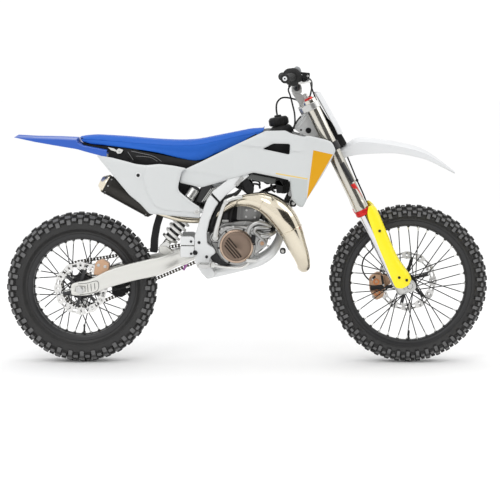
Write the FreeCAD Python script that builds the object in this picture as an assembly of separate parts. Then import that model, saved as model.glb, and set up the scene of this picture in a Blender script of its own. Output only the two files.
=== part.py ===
import FreeCAD, Part
import math
import os

V = FreeCAD.Vector

# Design frame: X forward from the rear axle, Y to the rider's left, Z up from the ground, in mm.
# Every shape is moved by -SEAT_POINT at export, so the row's origin is where the rider sits.
SEAT_POINT = V(400.0, 0.0, 877.0)
X_DIR, Y_DIR, Z_DIR = V(1, 0, 0), V(0, 1, 0), V(0, 0, 1)

# Wheels
WHEELBASE = 1290.0
FRONT_RADIUS, REAR_RADIUS = 313.0, 298.0
FRONT_TYRE, REAR_TYRE = 63.0, 86.0
RIM_WELL, RIM_DEPTH = 14.0, 24.0
LUG_DEPTH = 12.0
FRONT = dict(radius=FRONT_RADIUS, rim=FRONT_RADIUS - FRONT_TYRE, half_rim=22.0, half=41.0, rows=36,
             lug=20.0, flange=34.0, flange_y=24.0)
REAR = dict(radius=REAR_RADIUS, rim=REAR_RADIUS - REAR_TYRE, half_rim=29.0, half=50.0, rows=32,
            lug=22.0, flange=46.0, flange_y=28.0)
FLANGE_THICK = 6.0
SPOKE_R = 1.8
SPOKES = 36
AXLE_R = 10.0
AXLE_FIT = 0.05
STAND_BORE_R = 6.0
FRONT_AXLE = V(WHEELBASE, 0, FRONT_RADIUS)
REAR_AXLE = V(0, 0, REAR_RADIUS)
FRONT_DISC_R, REAR_DISC_R = 120.0, 106.0
FRONT_DISC_Y, REAR_DISC_Y = 56.0, -58.0

# Chain drive, on the left
PITCH = 12.7
REAR_TEETH, FRONT_TEETH = 46, 13
CHAIN_Y = 62.0
PLATE_IN, PLATE_OUT = 6.0, 8.5
PLATE_HALF_HEIGHT = 5.8
TOOTH_HALF = 2.0
DRIVE_CENTRE = V(528, CHAIN_Y, 452)

# Steering geometry
RAKE = math.radians(26.0)
UP = V(-math.sin(RAKE), 0, math.cos(RAKE))
AHEAD = V(math.cos(RAKE), 0, math.sin(RAKE))
CLAMP_OFFSET = 24.0
LUG_OFFSET = 39.5
STEER_BASE = FRONT_AXLE - AHEAD * (CLAMP_OFFSET + LUG_OFFSET)
LEG_Y = 88.0
TUBE_R = 27.0
INNER_R = 21.5
TUBE_LOW, TUBE_HIGH = 338.0, 825.0
LOWER_CLAMP, UPPER_CLAMP = (606.0, 640.0), (785.0, 811.0)
HEAD_LOW, HEAD_HIGH = 643.0, 782.0
STEM_R = 14.0
STEM_FIT = 0.08

# Frame
HEAD_R = 29.0
BACKBONE_R = 21.0
CRADLE_R = 17.0
PLATE_Y = (84.0, 98.0)
BEAM_Y = (66.0, 98.0)
PIVOT = V(452, 0, 444)
PIVOT_BOLT_R = 7.5
SHOCK_Y = -8.0
SHOCK_LENGTH = 299.0
SILENCER_Y = -68.0
LOUVRES = 6
HEADER_START = V(752, -12, 572)
HEADER_DIR = V(0.80, -0.45, -0.40).normalize()


def steer(s, e, y=0.0):
    """Point s up the steering axis, e ahead of it and y to the left."""
    return STEER_BASE + UP * s + AHEAD * e + V(0, y, 0)


def mirrored(shape):
    """The shape's twin on the other side."""
    return shape.mirror(V(0, 0, 0), Y_DIR)


def both(shape):
    return [shape, mirrored(shape)]


def fuse(*shapes):
    """One solid from shapes and lists of shapes that touch."""
    flat = []
    for item in shapes:
        flat.extend(item if isinstance(item, (list, tuple)) else [item])
    return flat[0].multiFuse(flat[1:]).removeSplitter() if len(flat) > 1 else flat[0]


def rod(start, end, radius, sides=12):
    """Straight bar of flat sides between two points, or a true cylinder with sides=0."""
    if not sides:
        return Part.makeCylinder(radius, (end - start).Length, start, end - start)
    return bar([start, end], radius, sides)


def rod_y(x, z, radius, y0, y1, sides=12):
    """Bar along Y at (x, z)."""
    if not sides:
        return Part.makeCylinder(radius, y1 - y0, V(x, y0, z), Y_DIR)
    return bar([(x, y0, z), (x, y1, z)], radius, sides, up=X_DIR)


def box(x0, x1, y0, y1, z0, z1):
    return Part.makeBox(x1 - x0, y1 - y0, z1 - z0, V(x0, y0, z0))


def slab(points, y0, y1):
    """Side outline (x, z) given thickness from y0 to y1."""
    ring = [V(x, y0, z) for x, z in points]
    return Part.Face(Part.makePolygon(ring + ring[:1])).extrude(V(0, y1 - y0, 0))


def placed_ring(centre, normal, x_dir, points):
    """Ring of local (u, v) points in the plane through centre."""
    v_dir = normal.cross(x_dir)
    return [centre + x_dir * u + v_dir * v for u, v in points]


def normals_along(points):
    """Unit direction at each point of a path, halfway between its two pieces."""
    dirs = [(b - a).normalize() for a, b in zip(points, points[1:])]
    return [dirs[0]] + [(a + b).normalize() for a, b in zip(dirs, dirs[1:])] + [dirs[-1]]


def polygon(points):
    return Part.Face(Part.makePolygon(list(points) + [points[0]]))


def solid_of(faces):
    """Solid closed by flat faces, turned outwards."""
    solid = Part.makeSolid(Part.makeShell(faces))
    return solid.reversed() if solid.Volume < 0 else solid


def skin(rings):
    """Solid through rings of as many points each, in flat faces."""
    faces = [polygon(rings[0]), polygon(rings[-1])]
    for a, b in zip(rings, rings[1:]):
        for k in range(len(a)):
            n = (k + 1) % len(a)
            normal = (a[n] - a[k]).cross(b[n] - a[k]).normalize()
            if abs(normal.dot(b[k] - a[k])) < 1e-8:
                faces.append(polygon([a[k], a[n], b[n], b[k]]))
            else:
                faces += [polygon([a[k], a[n], b[n]]), polygon([a[k], b[n], b[k]])]
    return solid_of(faces)


def bar(points, radii, sides=8, up=Y_DIR, ends=None):
    """Bar of many flat sides along a path, with a radius per point."""
    points = [V(*p) for p in points]
    if not isinstance(radii, (list, tuple)):
        radii = [radii] * len(points)
    rings = []
    x_dir = V(up)
    normals = normals_along(points)
    if abs(normals[0].dot(x_dir)) > 0.999:
        x_dir = V(X_DIR)
    if ends:
        normals[0], normals[-1] = ends[0] or normals[0], ends[1] or normals[-1]
    turn = 2 * math.pi / sides
    for centre, normal, radius in zip(points, normals, radii):
        x_dir = (x_dir - normal * x_dir.dot(normal)).normalize()
        ring = [(radius * math.cos(turn * (i + 0.5)), radius * math.sin(turn * (i + 0.5)))
                for i in range(sides)]
        rings.append(placed_ring(centre, normal, x_dir, ring))
    return skin(rings)


def around(shape, centre, count, start=0.0):
    """Copies of shape evenly round the Y axis through centre."""
    copies = []
    for i in range(count):
        copy = shape.copy()
        copy.rotate(V(centre.x, 0, centre.z), Y_DIR, start + 360.0 * i / count)
        copies.append(copy)
    return copies


def faceted_ring(profile, centre, count):
    """Ring of flat facets from an (r, y) outline round a Y axis; the flats keep each radius."""
    grow = 1 / math.cos(math.pi / count)
    faces = []
    for i in range(count):
        a, b = (2 * math.pi * (i + k - 0.5) / count for k in (0, 1))
        for (r0, y0), (r1, y1) in zip(profile, profile[1:] + profile[:1]):
            quad = [V(centre.x + r * grow * math.sin(t), y, centre.z + r * grow * math.cos(t))
                    for r, y, t in ((r0, y0, a), (r1, y1, a), (r1, y1, b), (r0, y0, b))]
            faces.append(polygon(quad))
    return solid_of(faces)


def cross_ring(x, points):
    """Ring of (y, z) points in the plane at x."""
    return [V(x, y, z) for y, z in points]


def symmetric(half):
    """Whole (y, z) ring from its left half, listed from the top middle down."""
    return half + [(-y, z) for y, z in reversed(half) if abs(y) > 1e-6]


# Wheels
def tyre(wheel, axle):
    """Carcass on the rim's bed with knobs in staggered rows."""
    outer, half, lip, rows = wheel["radius"], wheel["half"], wheel["half_rim"] - 3, wheel["rows"]
    base = outer - LUG_DEPTH
    left = [(wheel["rim"] - RIM_WELL, lip), (wheel["rim"] + 2, lip), (wheel["rim"] + 26, half - 3),
            (base - 16, half - 2),
            (base, half - 20)]
    carcass = faceted_ring(left + [(r, -y) for r, y in reversed(left)], axle, rows)
    length = wheel["lug"]
    middle = box(-length / 2, length / 2, -8, 8, base - 2, outer)
    middle.translate(V(0, half * 0.32, 0))
    shoulder = box(-length / 2, length / 2, -8, 8, base - 4, outer - 3)
    shoulder.rotate(V(0, 0, base), X_DIR, -28)
    shoulder.translate(V(0, half - 12, -5))
    lugs = []
    for lug, first in ((middle, 0), (shoulder, 1)):
        for side in both(lug):
            side.translate(V(axle.x, 0, axle.z))
            lugs += around(side, axle, rows // 2, first * 360.0 / rows)
    return fuse(carcass, lugs)


def rim(wheel, axle):
    """Channel rim with raised lips and a hollow inner crown."""
    lip, edge = wheel["half_rim"], wheel["rim"]
    bed, crown = edge - RIM_WELL, edge - RIM_DEPTH
    half = [(crown, 10), (bed - 4, lip), (edge, lip), (edge, lip - 3), (bed, lip - 3)]
    return faceted_ring(half + [(r, -y) for r, y in reversed(half)], axle, wheel["rows"])


def laced_wheel(wheel, axle, hub_half, spoke_turn):
    """Rim, crossed spokes and flanged hub as one wheel, bored for its axle."""
    flange, y = wheel["flange"], wheel["flange_y"]
    profile = [(AXLE_R - 2, -hub_half), (19, -hub_half), (19, -y - FLANGE_THICK),
               (flange, -y - FLANGE_THICK), (flange, -y), (20, -y + 4)]
    bore = rod_y(axle.x, axle.z, AXLE_R + AXLE_FIT, -hub_half - 1, hub_half + 1, 0)
    body = faceted_ring(profile + [(r, -v) for r, v in reversed(profile)], axle, 12).cut(bore)
    spokes = []
    step = 360.0 / SPOKES
    for side in (1, -1):
        for lean in (1, -1):
            turn = math.radians(lean * spoke_turn)
            ends = []
            for r, angle, face in ((flange - 4, turn, side * (y + FLANGE_THICK / 2 + lean)),
                                   (wheel["rim"] - RIM_DEPTH + 1.5, turn * 0.12, side * (4.0 + lean * 2.5))):
                ends.append((axle.x + r * math.sin(angle), face, axle.z + r * math.cos(angle)))
            first = (0 if lean > 0 else 2) + (1 if side < 0 else 0)
            spokes += around(bar(ends, SPOKE_R, sides=3), axle, SPOKES // 4, first * step)
    return fuse(rim(wheel, axle), body, spokes)


def wavy_disc(centre, y, radius, inner, thick, waves, depth=3.0):
    """Brake disc with a wavy rim, slotted round its face."""
    points = []
    for i in range(waves * 2):
        turn = 2 * math.pi * (i + 0.12 * (i % 2)) / (waves * 2)
        r = radius - depth * (i % 2)
        points.append((centre.x + r * math.sin(turn), centre.z + r * math.cos(turn)))
    plate = slab(points, y - thick / 2, y + thick / 2)
    plate = plate.cut(rod_y(centre.x, centre.z, inner, y - thick, y + thick, 12))
    middle = centre.z + (radius + inner) / 2
    slot = slab([(centre.x - 8, middle - 8), (centre.x - 2, middle - 9), (centre.x + 8, middle + 8),
                 (centre.x + 2, middle + 9)], y - thick, y + thick)
    return plate.cut(Part.makeCompound(around(slot, centre, waves // 2, 15)))


def disc_on_carrier(axle, y, radius, flange_y, side):
    """Wavy disc ring on a bolted carrier that meets the hub's flange."""
    ring = wavy_disc(axle, y, radius, radius - 32, 4.0, 10)
    arms = around(box(axle.x - 7, axle.x + 7, y - 2, y + 2, axle.z + 24, axle.z + radius - 26), axle, 5)
    face = side * flange_y
    low, high = min(face, y - 2), max(face, y + 2)
    centre = faceted_ring([(20.9, low), (28, low), (28, high), (20.9, high)], axle, 12)
    return fuse(ring, arms, centre)


def sprocket(centre, teeth, y, bore, face_y=None):
    """Toothed plate with lightening holes and a boss to its hub."""
    pitch_r = PITCH / (2 * math.sin(math.pi / teeth))
    root, tip = pitch_r - 4.0, pitch_r + 2.5
    points = []
    for i in range(teeth):
        for part, r in ((0.0, root), (0.5, tip)):
            turn = 2 * math.pi * (i + part + 0.15) / teeth
            points.append((centre.x + r * math.sin(turn), centre.z + r * math.cos(turn)))
    plate = slab(points, y - TOOTH_HALF, y + TOOTH_HALF)
    plate = plate.cut(rod_y(centre.x, centre.z, bore, y - 9, y + 9))
    if teeth > 20:
        window = rod_y(centre.x, centre.z + pitch_r * 0.66, 15, y - 9, y + 9, 6)
        plate = plate.cut(Part.makeCompound(around(window, centre, 6, 30)))
    if face_y is not None:
        low, high = min(face_y, y), max(face_y, y)
        ring = [(bore, low), (bore + 18, low), (bore + 18, high), (bore, high)]
        plate = fuse(plate, faceted_ring(ring, centre, 12))
    return plate


def rear_axle():
    axle = rod_y(0, REAR_AXLE.z, AXLE_R, -114, 114, 0)
    nut = slab([(19 * math.cos(math.radians(60 * i)), REAR_AXLE.z + 19 * math.sin(math.radians(60 * i)))
                for i in range(6)], 104, 114)
    head = rod_y(0, REAR_AXLE.z, 16, -114, -104, 6)
    body = fuse(axle, nut, head)
    return body.cut(rod_y(0, REAR_AXLE.z, STAND_BORE_R, -115, -75, 0))


def front_axle():
    x, z = FRONT_AXLE.x, FRONT_AXLE.z
    return fuse(rod_y(x, z, AXLE_R, -108, 115, 0), rod_y(x, z, 15, 106, 115, 6))


# Chassis structure
RAIL_R = 8.0
RIM_GAP = 0.3
UPPER_RAIL = [V(610, 60, 764), V(430, 62, 778), V(240, 62, 802), V(60, 62, 832)]
LOWER_RAIL = [V(520, -68, 668), V(400, -62, 690), V(300, -60, 730), V(150, -62, 822)]


def frame():
    """Steel frame: head tube, backbone, side beams with pivot plates, down tube, cradle and rear rails."""
    head = rod(steer(HEAD_LOW, 0), steer(HEAD_HIGH, 0), HEAD_R, 14)
    backbone = bar([steer(700, -6), (830, 0, 822), (740, 0, 778), (645, 0, 752)], BACKBONE_R)
    down = bar([steer(706, -14), steer(655, -62), (862, 0, 722), (806, 0, 598), (786, 0, 516)],
               [18, 17, 17, 17, 16])
    cradle = bar([(788, 0, 524), (779, 26, 486), (752, 56, 440), (700, 66, 404), (536, 78, 362),
                  (500, 88, 352)],
                 [15, 16, CRADLE_R, CRADLE_R, 15, 12])
    beam = [(630, 766), (665, 746), (562, 658), (535, 627), (508, 569), (492, 512), (456, 520),
            (468, 569), (495, 645), (522, 685)]
    plate = [(468, 569), (508, 569), (490, 501), (499, 479), (526, 461), (532, 442), (512, 429), (506, 411),
             (516, 384), (532, 362), (524, 345), (498, 340), (478, 362), (454, 398), (450, 425), (450, 510)]
    upper = bar(UPPER_RAIL, RAIL_R, sides=6)
    lower = bar([V(p.x, -p.y, p.z) for p in LOWER_RAIL], RAIL_R, sides=6)
    seat_pad = slab([(336, 786), (360, 784), (360, 816), (336, 822)], 55, 69).cut(seat_envelope(0.3))
    fender_pad = slab([(70, 826), (92, 822), (92, 856), (70, 858)], 55, 69).cut(rear_fender())
    fender_pad = min(fender_pad.Solids, key=lambda part: part.BoundBox.ZMin)
    pairs = [slab(beam, *BEAM_Y), slab(plate, *PLATE_Y), cradle, upper, lower, seat_pad, fender_pad]
    shock_lug = [(478, 704), (500, 712), (596, 724), (596, 698), (500, 680), (478, 682)]
    pairs_at = [slab(shock_lug, y, y + 6) for y in (SHOCK_Y + 17, SHOCK_Y - 23)]
    cross = [rod_y(645, 752, 15, -70, 70, 6), rod_y(592, 711, 12, -70, 70, 6),
             rod_y(506, 356, 10, -86, 86, 6),
             rod_y(PIVOT.x, PIVOT.z, PIVOT_BOLT_R, -104, 104, 8), rod_y(242, 802, 6, -60, 60, 4),
             rod_y(100, 826, 6, -60, 60, 4)]
    gusset_ends = [steer(776, -22), steer(652, -22), steer(650, -64)]
    gusset = slab([(p.x, p.z) for p in gusset_ends] + [(850, 742), (840, 800)], -5, 5)
    plate_ends = [steer(774, -12), steer(698, -6), (884, 0, 903), (840, 0, 925)]
    head_plate = slab([(point[0], point[2]) for point in plate_ends], 22, 30)
    body = fuse(head, backbone, down, gusset, both(head_plate), cross, pairs_at,
                [part for side in pairs for part in both(side)])
    return body.cut(rod(steer(HEAD_LOW - 30, 0), steer(HEAD_HIGH + 30, 0), STEM_R + STEM_FIT, 0))


def airbox():
    """Air box between the rails, with the mudflap that hangs from it."""
    outline = [(206, 786), (430, 756), (440, 722), (434, 690), (376, 610), (300, 676), (250, 712)]
    flap = [(286, 690), (287, 510), (290, 436), (264, 430), (262, 505), (262, 704)]
    return fuse(slab(outline, -46, 46), slab(flap, -28, 28))


def swingarm():
    """Two tapering beams joined ahead of the tyre, pivoting on the frame's bolt."""
    stations = [(-30, 91, 299, 13, 24), (40, 91, 308, 13, 30), (110, 91, 339, 13, 34),
                (300, 90, 388, 13, 35),
                (350, 87, 405, 11, 32), (388, 77.5, 419, 6, 29), (475, 77.5, 448, 5, 22)]
    rings = [cross_ring(x, [(y - t, z - h), (y + t, z - h), (y + t, z + h), (y - t, z + h)])
             for x, y, z, t, h in stations]
    arm = skin(rings)
    cross = slab([(350, 384), (425, 396), (432, 440), (404, 446), (350, 436)], -78, 78)
    tube = [rod_y(PIVOT.x, PIVOT.z, 19, -82, 50), rod_y(PIVOT.x, PIVOT.z, 13, 50, 82),
            slab([(420, 400), (452, 428), (452, 460), (420, 440)], -70, 50)]
    lugs = [slab([(306, 440), (310, 462), (334, 462), (372, 432), (356, 410)], y, y + 7)
            for y in (SHOCK_Y + 17, SHOCK_Y - 24)]
    run = slab(drive_path(PLATE_HALF_HEIGHT + RIM_GAP), 40, 90)
    run = run.cut(slab(drive_path(-PLATE_HALF_HEIGHT - RIM_GAP), 39, 91))
    slider = slab([(352, 430), (424, 436), (424, 470), (352, 458)], 54, 76).cut(run)
    slider = min(slider.Solids, key=lambda part: part.BoundBox.ZMin)
    spacer = rod_y(0, REAR_AXLE.z, 17, 71, 79, 8)
    body = fuse(both(arm), cross, tube, lugs, slider, both(spacer))
    body = body.cut(rod_y(PIVOT.x, PIVOT.z, PIVOT_BOLT_R + 0.5, -90, 90))
    body = body.cut(rod_y(0, REAR_AXLE.z, AXLE_R + 0.5, -120, 120))
    slot = slab([(-12, 291), (12, 291), (12, 305), (-12, 305)], 100, 110)
    return body.cut(slot).cut(mirrored(slot))


def shock_at(s):
    """Point s up the damper's axis from its lower eye."""
    low, high = V(320, SHOCK_Y, 448), V(490, SHOCK_Y, 694)
    return low + (high - low).normalize() * s


def shock():
    """Damper body and spring seats along one slanted axis."""
    low, high = shock_at(0), shock_at(SHOCK_LENGTH)
    return fuse(rod_y(low.x, low.z, 13, SHOCK_Y - 16.5, SHOCK_Y + 16.5), rod(shock_at(8), shock_at(58), 12),
                rod(shock_at(50), shock_at(57), 33), rod(shock_at(57), shock_at(200), 22),
                rod(shock_at(188), shock_at(197), 33), rod(shock_at(197), shock_at(270),
                                                           22), rod(shock_at(270), shock_at(292), 14),
                rod_y(high.x, high.z, 13, SHOCK_Y - 16.5, SHOCK_Y + 16.5))


def spring():
    """Coil round the damper, drawn as a square-wire helix of short straight pieces."""
    axis = (shock_at(1) - shock_at(0)).normalize()
    side = axis.cross(Y_DIR)
    turns, steps, mean_r, wire = 6.0, 9, 29.0, 4.0
    start, length = 61.2, 122.6
    rings = []
    for i in range(int(turns * steps) + 1):
        turn = 2 * math.pi * i / steps
        out = side * math.cos(turn) + Y_DIR * math.sin(turn)
        centre = shock_at(start + length * i / (turns * steps)) + out * mean_r
        rings.append([centre + out * u + axis * v
                      for u, v in ((-wire, -wire), (wire, -wire), (wire, wire), (-wire, wire))])
    return skin(rings)


# Engine
def engine_case():
    """Crankcase halves with the clutch side cover, the left cover and the drive sprocket."""
    outline = [(512, 476), (516, 520), (560, 556), (640, 566), (716, 560), (748, 526), (728, 470),
               (694, 438),
               (664, 412), (600, 404), (560, 406), (540, 430)]
    case = slab(outline, -64, 46)
    side = [(540, 474), (536, 520), (566, 548), (650, 548), (712, 526), (740, 492), (722, 466), (690, 440),
            (650, 412), (590, 405), (552, 428)]
    right = [slab(side, -96, -64), rod_y(613, 470, 72, -102, -96, 20), rod_y(722, 484, 24, -108, -60),
             rod_y(531, 505, 20, -104, -60)]
    left = [rod_y(676, 482, 52, 46, 66, 20), rod_y(676, 482, 44, 66, 71, 20)]
    shaft = rod_y(DRIVE_CENTRE.x, DRIVE_CENTRE.z, 9, 40, CHAIN_Y + 4)
    return fuse(case, right, left, shaft, sprocket(DRIVE_CENTRE, FRONT_TEETH, CHAIN_Y, 8.0))


def clutch_cover():
    """Round cover with slanting grooves."""
    cover = rod_y(613, 470, 66, -112, -102, 24)
    cap = rod_y(613, 470, 58, -117, -112, 24)
    body = fuse(cover, cap)
    direction = V(math.cos(math.radians(-50)), 0, math.sin(math.radians(-50)))
    across = V(-direction.z, 0, direction.x)
    for k in range(4):
        centre = V(598, 0, 452) + across * (k * 11 - 12)
        start = centre - direction * (58 - 6 * k)
        end = centre + direction * (48 - 2 * k)
        ring = [start + across * 1.6, end + across * 1.6, end - across * 1.6, start - across * 1.6]
        body = body.cut(slab([(p.x, p.z) for p in ring], -118, -114.5))
    return body


def cylinder():
    """Water-cooled barrel and head with ribs, exhaust spigot and plug."""
    barrel = [slab([(612, 566.3), (640, 566.3), (700, 561.6), (712, 596), (704, 622), (616, 622)], -42, 42),
              slab([(606, 622), (714, 622), (712, 634), (608, 634)], -46, 46)]
    ribs = [slab([(x, 570), (x + 5, 570), (x + 9, 620), (x + 4, 620)], -47, 47) for x in (628, 652, 676)]
    head = slab([(616, 634), (706, 634), (694, 650), (630, 652)], -38, 38)
    spigot = bar([(700, 0, 596), (736, -4, 580), HEADER_START], [28, 24, 24], sides=12,
                 ends=(None, HEADER_DIR))
    plug = [rod(V(662, 0, 648), V(664, 0, 676), 9), rod(V(664, 0, 670), V(640, 0, 690), 8)]
    return fuse(barrel, ribs, head, spigot, plug)


def carburettor():
    """Carburettor with its bowl and the boots before and behind it."""
    boot = bar([(603.6, 0, 600), (586, 0, 602)], 24)
    body = rod(V(588, 0, 602), V(540, 0, 606), 21, 10)
    slide = rod(V(566, 0, 600), V(556, 0, 662), 19)
    bowl = slab([(544, 598), (582, 594), (580, 560.5), (548, 564)], -20, 20)
    intake = bar([(542, 0, 606), (506, 22, 614), (462, 40, 632), (430, 40, 656), (404, 36, 672)],
                 [22, 20, 19, 19, 19])
    return fuse(boot, body, slide, bowl, intake).cut(airbox())


def kick_starter():
    """Folded kick lever on its shaft."""
    boss = rod_y(531, 505, 15, -126, -104.2)
    arm = bar([(531, -120, 505), (538, -122, 548), (556, -124, 604), (570, -124, 646)], [11, 8, 7, 8],
              sides=6)
    pedal = bar([(566, -118, 648), (600, -122, 660), (634, -122, 664)], [9, 8, 8], sides=6)
    return fuse(boss, arm, pedal)


def exhaust():
    """Header, expansion chamber and stinger as one welded pipe of cone sections."""
    header = [HEADER_START + HEADER_DIR * 0.3, (776, -33, 556), (798, -49, 532), (822, -52, 500),
              (842, -50, 458),
              (856, -50, 424), (868, -58, 402), (874, -72, 390)]
    belly = [(876, -92, 394), (866, -106, 430), (850, -112, 470), (820, -114, 533), (790, -112, 576),
             (757, -106, 610), (718, -98, 636), (672, -88, 648), (630, -80, 645), (600, -66, 634)]
    stinger = [(560, -53, 608), (512, -50, 577), (464, -52, 567), (404, -60, 571), (340, -68, 588),
               (300, -68, 602)]
    radii = [23, 21, 20, 19, 19, 19, 20, 23] + [25, 31, 36, 43, 47, 46, 39, 29, 21, 16] + [12, 12, 12, 12,
                                                                                           12, 13]
    return bar(header + belly + stinger, radii, sides=12, ends=(HEADER_DIR, None)).cut(silencer())


def silencer():
    """Can with a turned end cap and its outlet."""
    front, rear = V(284, SILENCER_Y, 612), V(108, SILENCER_Y, 709)
    back = (rear - front).normalize()
    body = fuse(bar([front - back * 12, front, rear, rear + back], [20, 37, 37, 38.5], sides=16),
                bar([rear + back, rear + back * 6, rear + back * 7, rear + back * 26],
                    [38.5, 38.5, 35, 20], sides=16))
    tab = slab([(196, 668), (222, 660), (214, 790), (204, 794)], SILENCER_Y, SILENCER_Y + 5)
    tab = tab.cut(bar(LOWER_RAIL, RAIL_R + RIM_GAP, sides=6))
    body = fuse(body, max(tab.Solids, key=lambda part: part.BoundBox.ZMin * -1))
    return body.cut(rod(rear + back * 10, rear + back * 30, 14))


def radiators():
    """Finned cores with end tanks each side of the down tube, and a louvre grille before them."""
    core = slab([(818, 672), (850, 668), (868, 846), (836, 850)], 60, 128)
    tanks = [slab([(813, 668), (855, 663), (857, 680), (815, 685)], 56, 132),
             slab([(832, 842), (872, 838), (874, 856), (834, 860)], 56, 132)]
    louvres = []
    for k in range(LOUVRES):
        z = 694 + 148 * (k + 0.5) / LOUVRES
        x = 850 + 18 * (z - 668) / 178
        louvres.append(slab([(x - 1, z - 5), (x + 8, z + 1), (x + 8, z + 4), (x - 1, z - 1)], 60, 128))
    return both(fuse(core, tanks, louvres))


def hoses():
    """Coolant hoses from the head and the case to the radiators, and the link between these."""
    top = bar([(680, 26, 642), (716, 40, 668), (760, 58, 690), (824, 70, 694)], 9)
    low = bar([(730, 30, 500), (748, 56, 520), (786, 70, 590), (826, 76, 672)], 9)
    link = bar([(830, -60, 694), (818, -36, 694), (818, 36, 694), (830, 60, 694)], 8, up=Z_DIR)
    neighbours = [cylinder(), engine_case()] + radiators() + [fuel_tank()]
    trimmed = []
    for hose in (top, low, link):
        for other in neighbours:
            hose = hose.cut(other)
        trimmed.append(max(hose.Solids, key=lambda part: part.Volume))
    return trimmed


def fuel_tank():
    """Tank astride the backbone, with its neck."""
    outline = [(575, 800), (600, 842), (660, 884), (720, 906), (750, 915), (812, 915), (836, 902),
               (850, 876),
               (824, 850), (806, 742), (771, 710), (684, 722), (676, 774), (600, 782)]
    shape = slab(outline, -96, 96)
    plan = [(560, 50), (620, 78), (700, 92), (780, 96), (830, 84), (860, 62)]
    ring = [V(x, y, 700) for x, y in plan] + [V(x, -y, 700) for x, y in reversed(plan)]
    shape = shape.common(Part.Face(Part.makePolygon(ring + ring[:1])).extrude(V(0, 0, 240)))
    tunnel = slab([(560, 690), (560, 790), (740, 806), (830, 854), (860, 880), (880, 690)], -26, 26)
    return fuse(shape.cut(tunnel), rod(V(774, 0, 914), V(774, 0, 934), 31))


def fuel_cap():
    """Filler cap with its breather hose."""
    hose = bar([(774, 0, 970), (768, 0, 1000), (770, 4, 1028), (788, 6, 1044), (808, 8, 1034),
                (816, 8, 1000),
                (816, 6, 950), (814, 4, 905)], 3.2, sides=5).cut(fuel_tank())
    return fuse(rod(V(774, 0, 934.2), V(774, 0, 966), 37, 16), rod(V(774, 0, 966), V(774, 0, 974), 14, 8),
                hose)


# Bodywork
def seat_envelope(drop):
    """The saddle's space, its underside lowered by drop."""
    stations = [(-12, 58, 893, 870), (76, 66, 894, 858), (180, 72, 888, 846), (300, 76, 878, 828),
                (400, 77, 874, 800), (455, 76, 877, 800), (540, 70, 892, 838), (620, 60, 908, 868),
                (700, 46, 922, 906)]
    rings = []
    for x, w, top, low in stations:
        edge = min(14.0, (top - low) * 0.4)
        rings.append(cross_ring(x, symmetric([(0, top + 3), (w * 0.62, top), (w * 0.92, top - edge * 0.5),
                                              (w, top - edge), (w - 3, low - drop), (0, low - drop)])))
    return skin(rings)


def seat():
    """Long saddle that rises to the tank."""
    return seat_envelope(0.0)


def rear_fender():
    """Ridged fender under the seat's tail, open below."""
    stations = [(-256, 40, 893, 890), (-243, 62, 900, 890), (-168, 78, 895, 874), (-70, 92, 893, 858),
                (-26, 95, 891, 851), (-20, 95, 869, 849), (20, 97, 862, 840), (110, 98, 846, 816)]
    rings = []
    thick = 3.5
    for x, w, top, low in stations:
        drop = min(8.0, top - low - 0.5) if top > 875 else 4.0
        outer = [(0, top), (w * 0.5, top - 2), (w - 5, top - drop), (w, low)]
        inner = [(w - thick, low), (w - 5 - thick, top - drop - thick), (w * 0.5, top - 2 - thick),
                 (0, top - thick)]
        outer_ring = [(-y, z) for y, z in reversed(outer[1:])] + outer
        rings.append(cross_ring(x, outer_ring + inner + [(-y, z) for y, z in reversed(inner[:-1])]))
    return skin(rings)


def wall(outline, stations, thick, z_low=540.0, z_high=940.0, lean=0.0):
    """Curved panel: a side outline cut from a thin wall that follows plan stations (x, y)."""
    def plan(z, shift):
        outer = [V(x, y + shift, z) for x, y in stations]
        inner = [V(x, y + shift - thick, z) for x, y in reversed(stations)]
        return outer + inner
    panel = skin([plan(z_low, -lean), plan((z_low + z_high) / 2, 0), plan(z_high, -lean * 0.6)])
    return panel.common(slab(outline, 20, 220))


PANEL = [(70, 824), (129, 815), (188, 800), (225, 790), (262, 786), (317, 791), (373, 784), (421, 774),
         (402, 763),
         (391, 722), (387, 700), (391, 685), (439, 644), (472, 622), (471, 579), (354, 590), (298,
                                                                                              596), (276,
                                                                                                     596),
         (240, 636), (198, 670), (128, 754)]
SHROUD = [(726, 919), (803, 921), (820, 911), (872, 897), (889, 902), (954, 887), (978, 878), (988, 863),
          (996, 844),
          (979, 809), (935, 733), (888, 661), (870, 624), (853, 627), (826, 656), (820, 729), (770,
                                                                                               741), (678,
                                                                                                      758),
          (634, 744), (569, 725), (475, 698), (391, 718), (395, 751), (409, 767), (427, 776), (473,
                                                                                               797), (589,
                                                                                                      854)]
SHROUD_VENT = [(715, 849), (755, 871), (820, 870), (818, 828)]


def side_panel():
    plan = [(40, 104), (160, 112), (300, 120), (400, 118), (480, 106)]
    return wall(PANEL, plan, 4.0, lean=8.0)


def shroud():
    plan = [(380, 106), (480, 103), (600, 104), (700, 118), (800, 136), (880, 146), (1000, 136)]
    return wall(SHROUD, plan, 4.0, lean=6.0).cut(slab(SHROUD_VENT, 20, 220))


def frame_guard():
    """Two-part guard beside the swingarm pivot."""
    upper = slab([(394, 473), (394, 507), (442, 507), (449.7, 500), (449.7, 473)], 84, 99)
    lower = slab([(394, 426), (394, 469), (449.7, 469), (449.7, 432), (442, 426)], 84, 99)
    rib = slab([(400, 460), (400, 480), (440, 480), (440, 460)], 84, 92)
    return fuse(upper, lower, rib).cut(rod_y(PIVOT.x, PIVOT.z, PIVOT_BOLT_R + 1, 80, 110))


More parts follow.
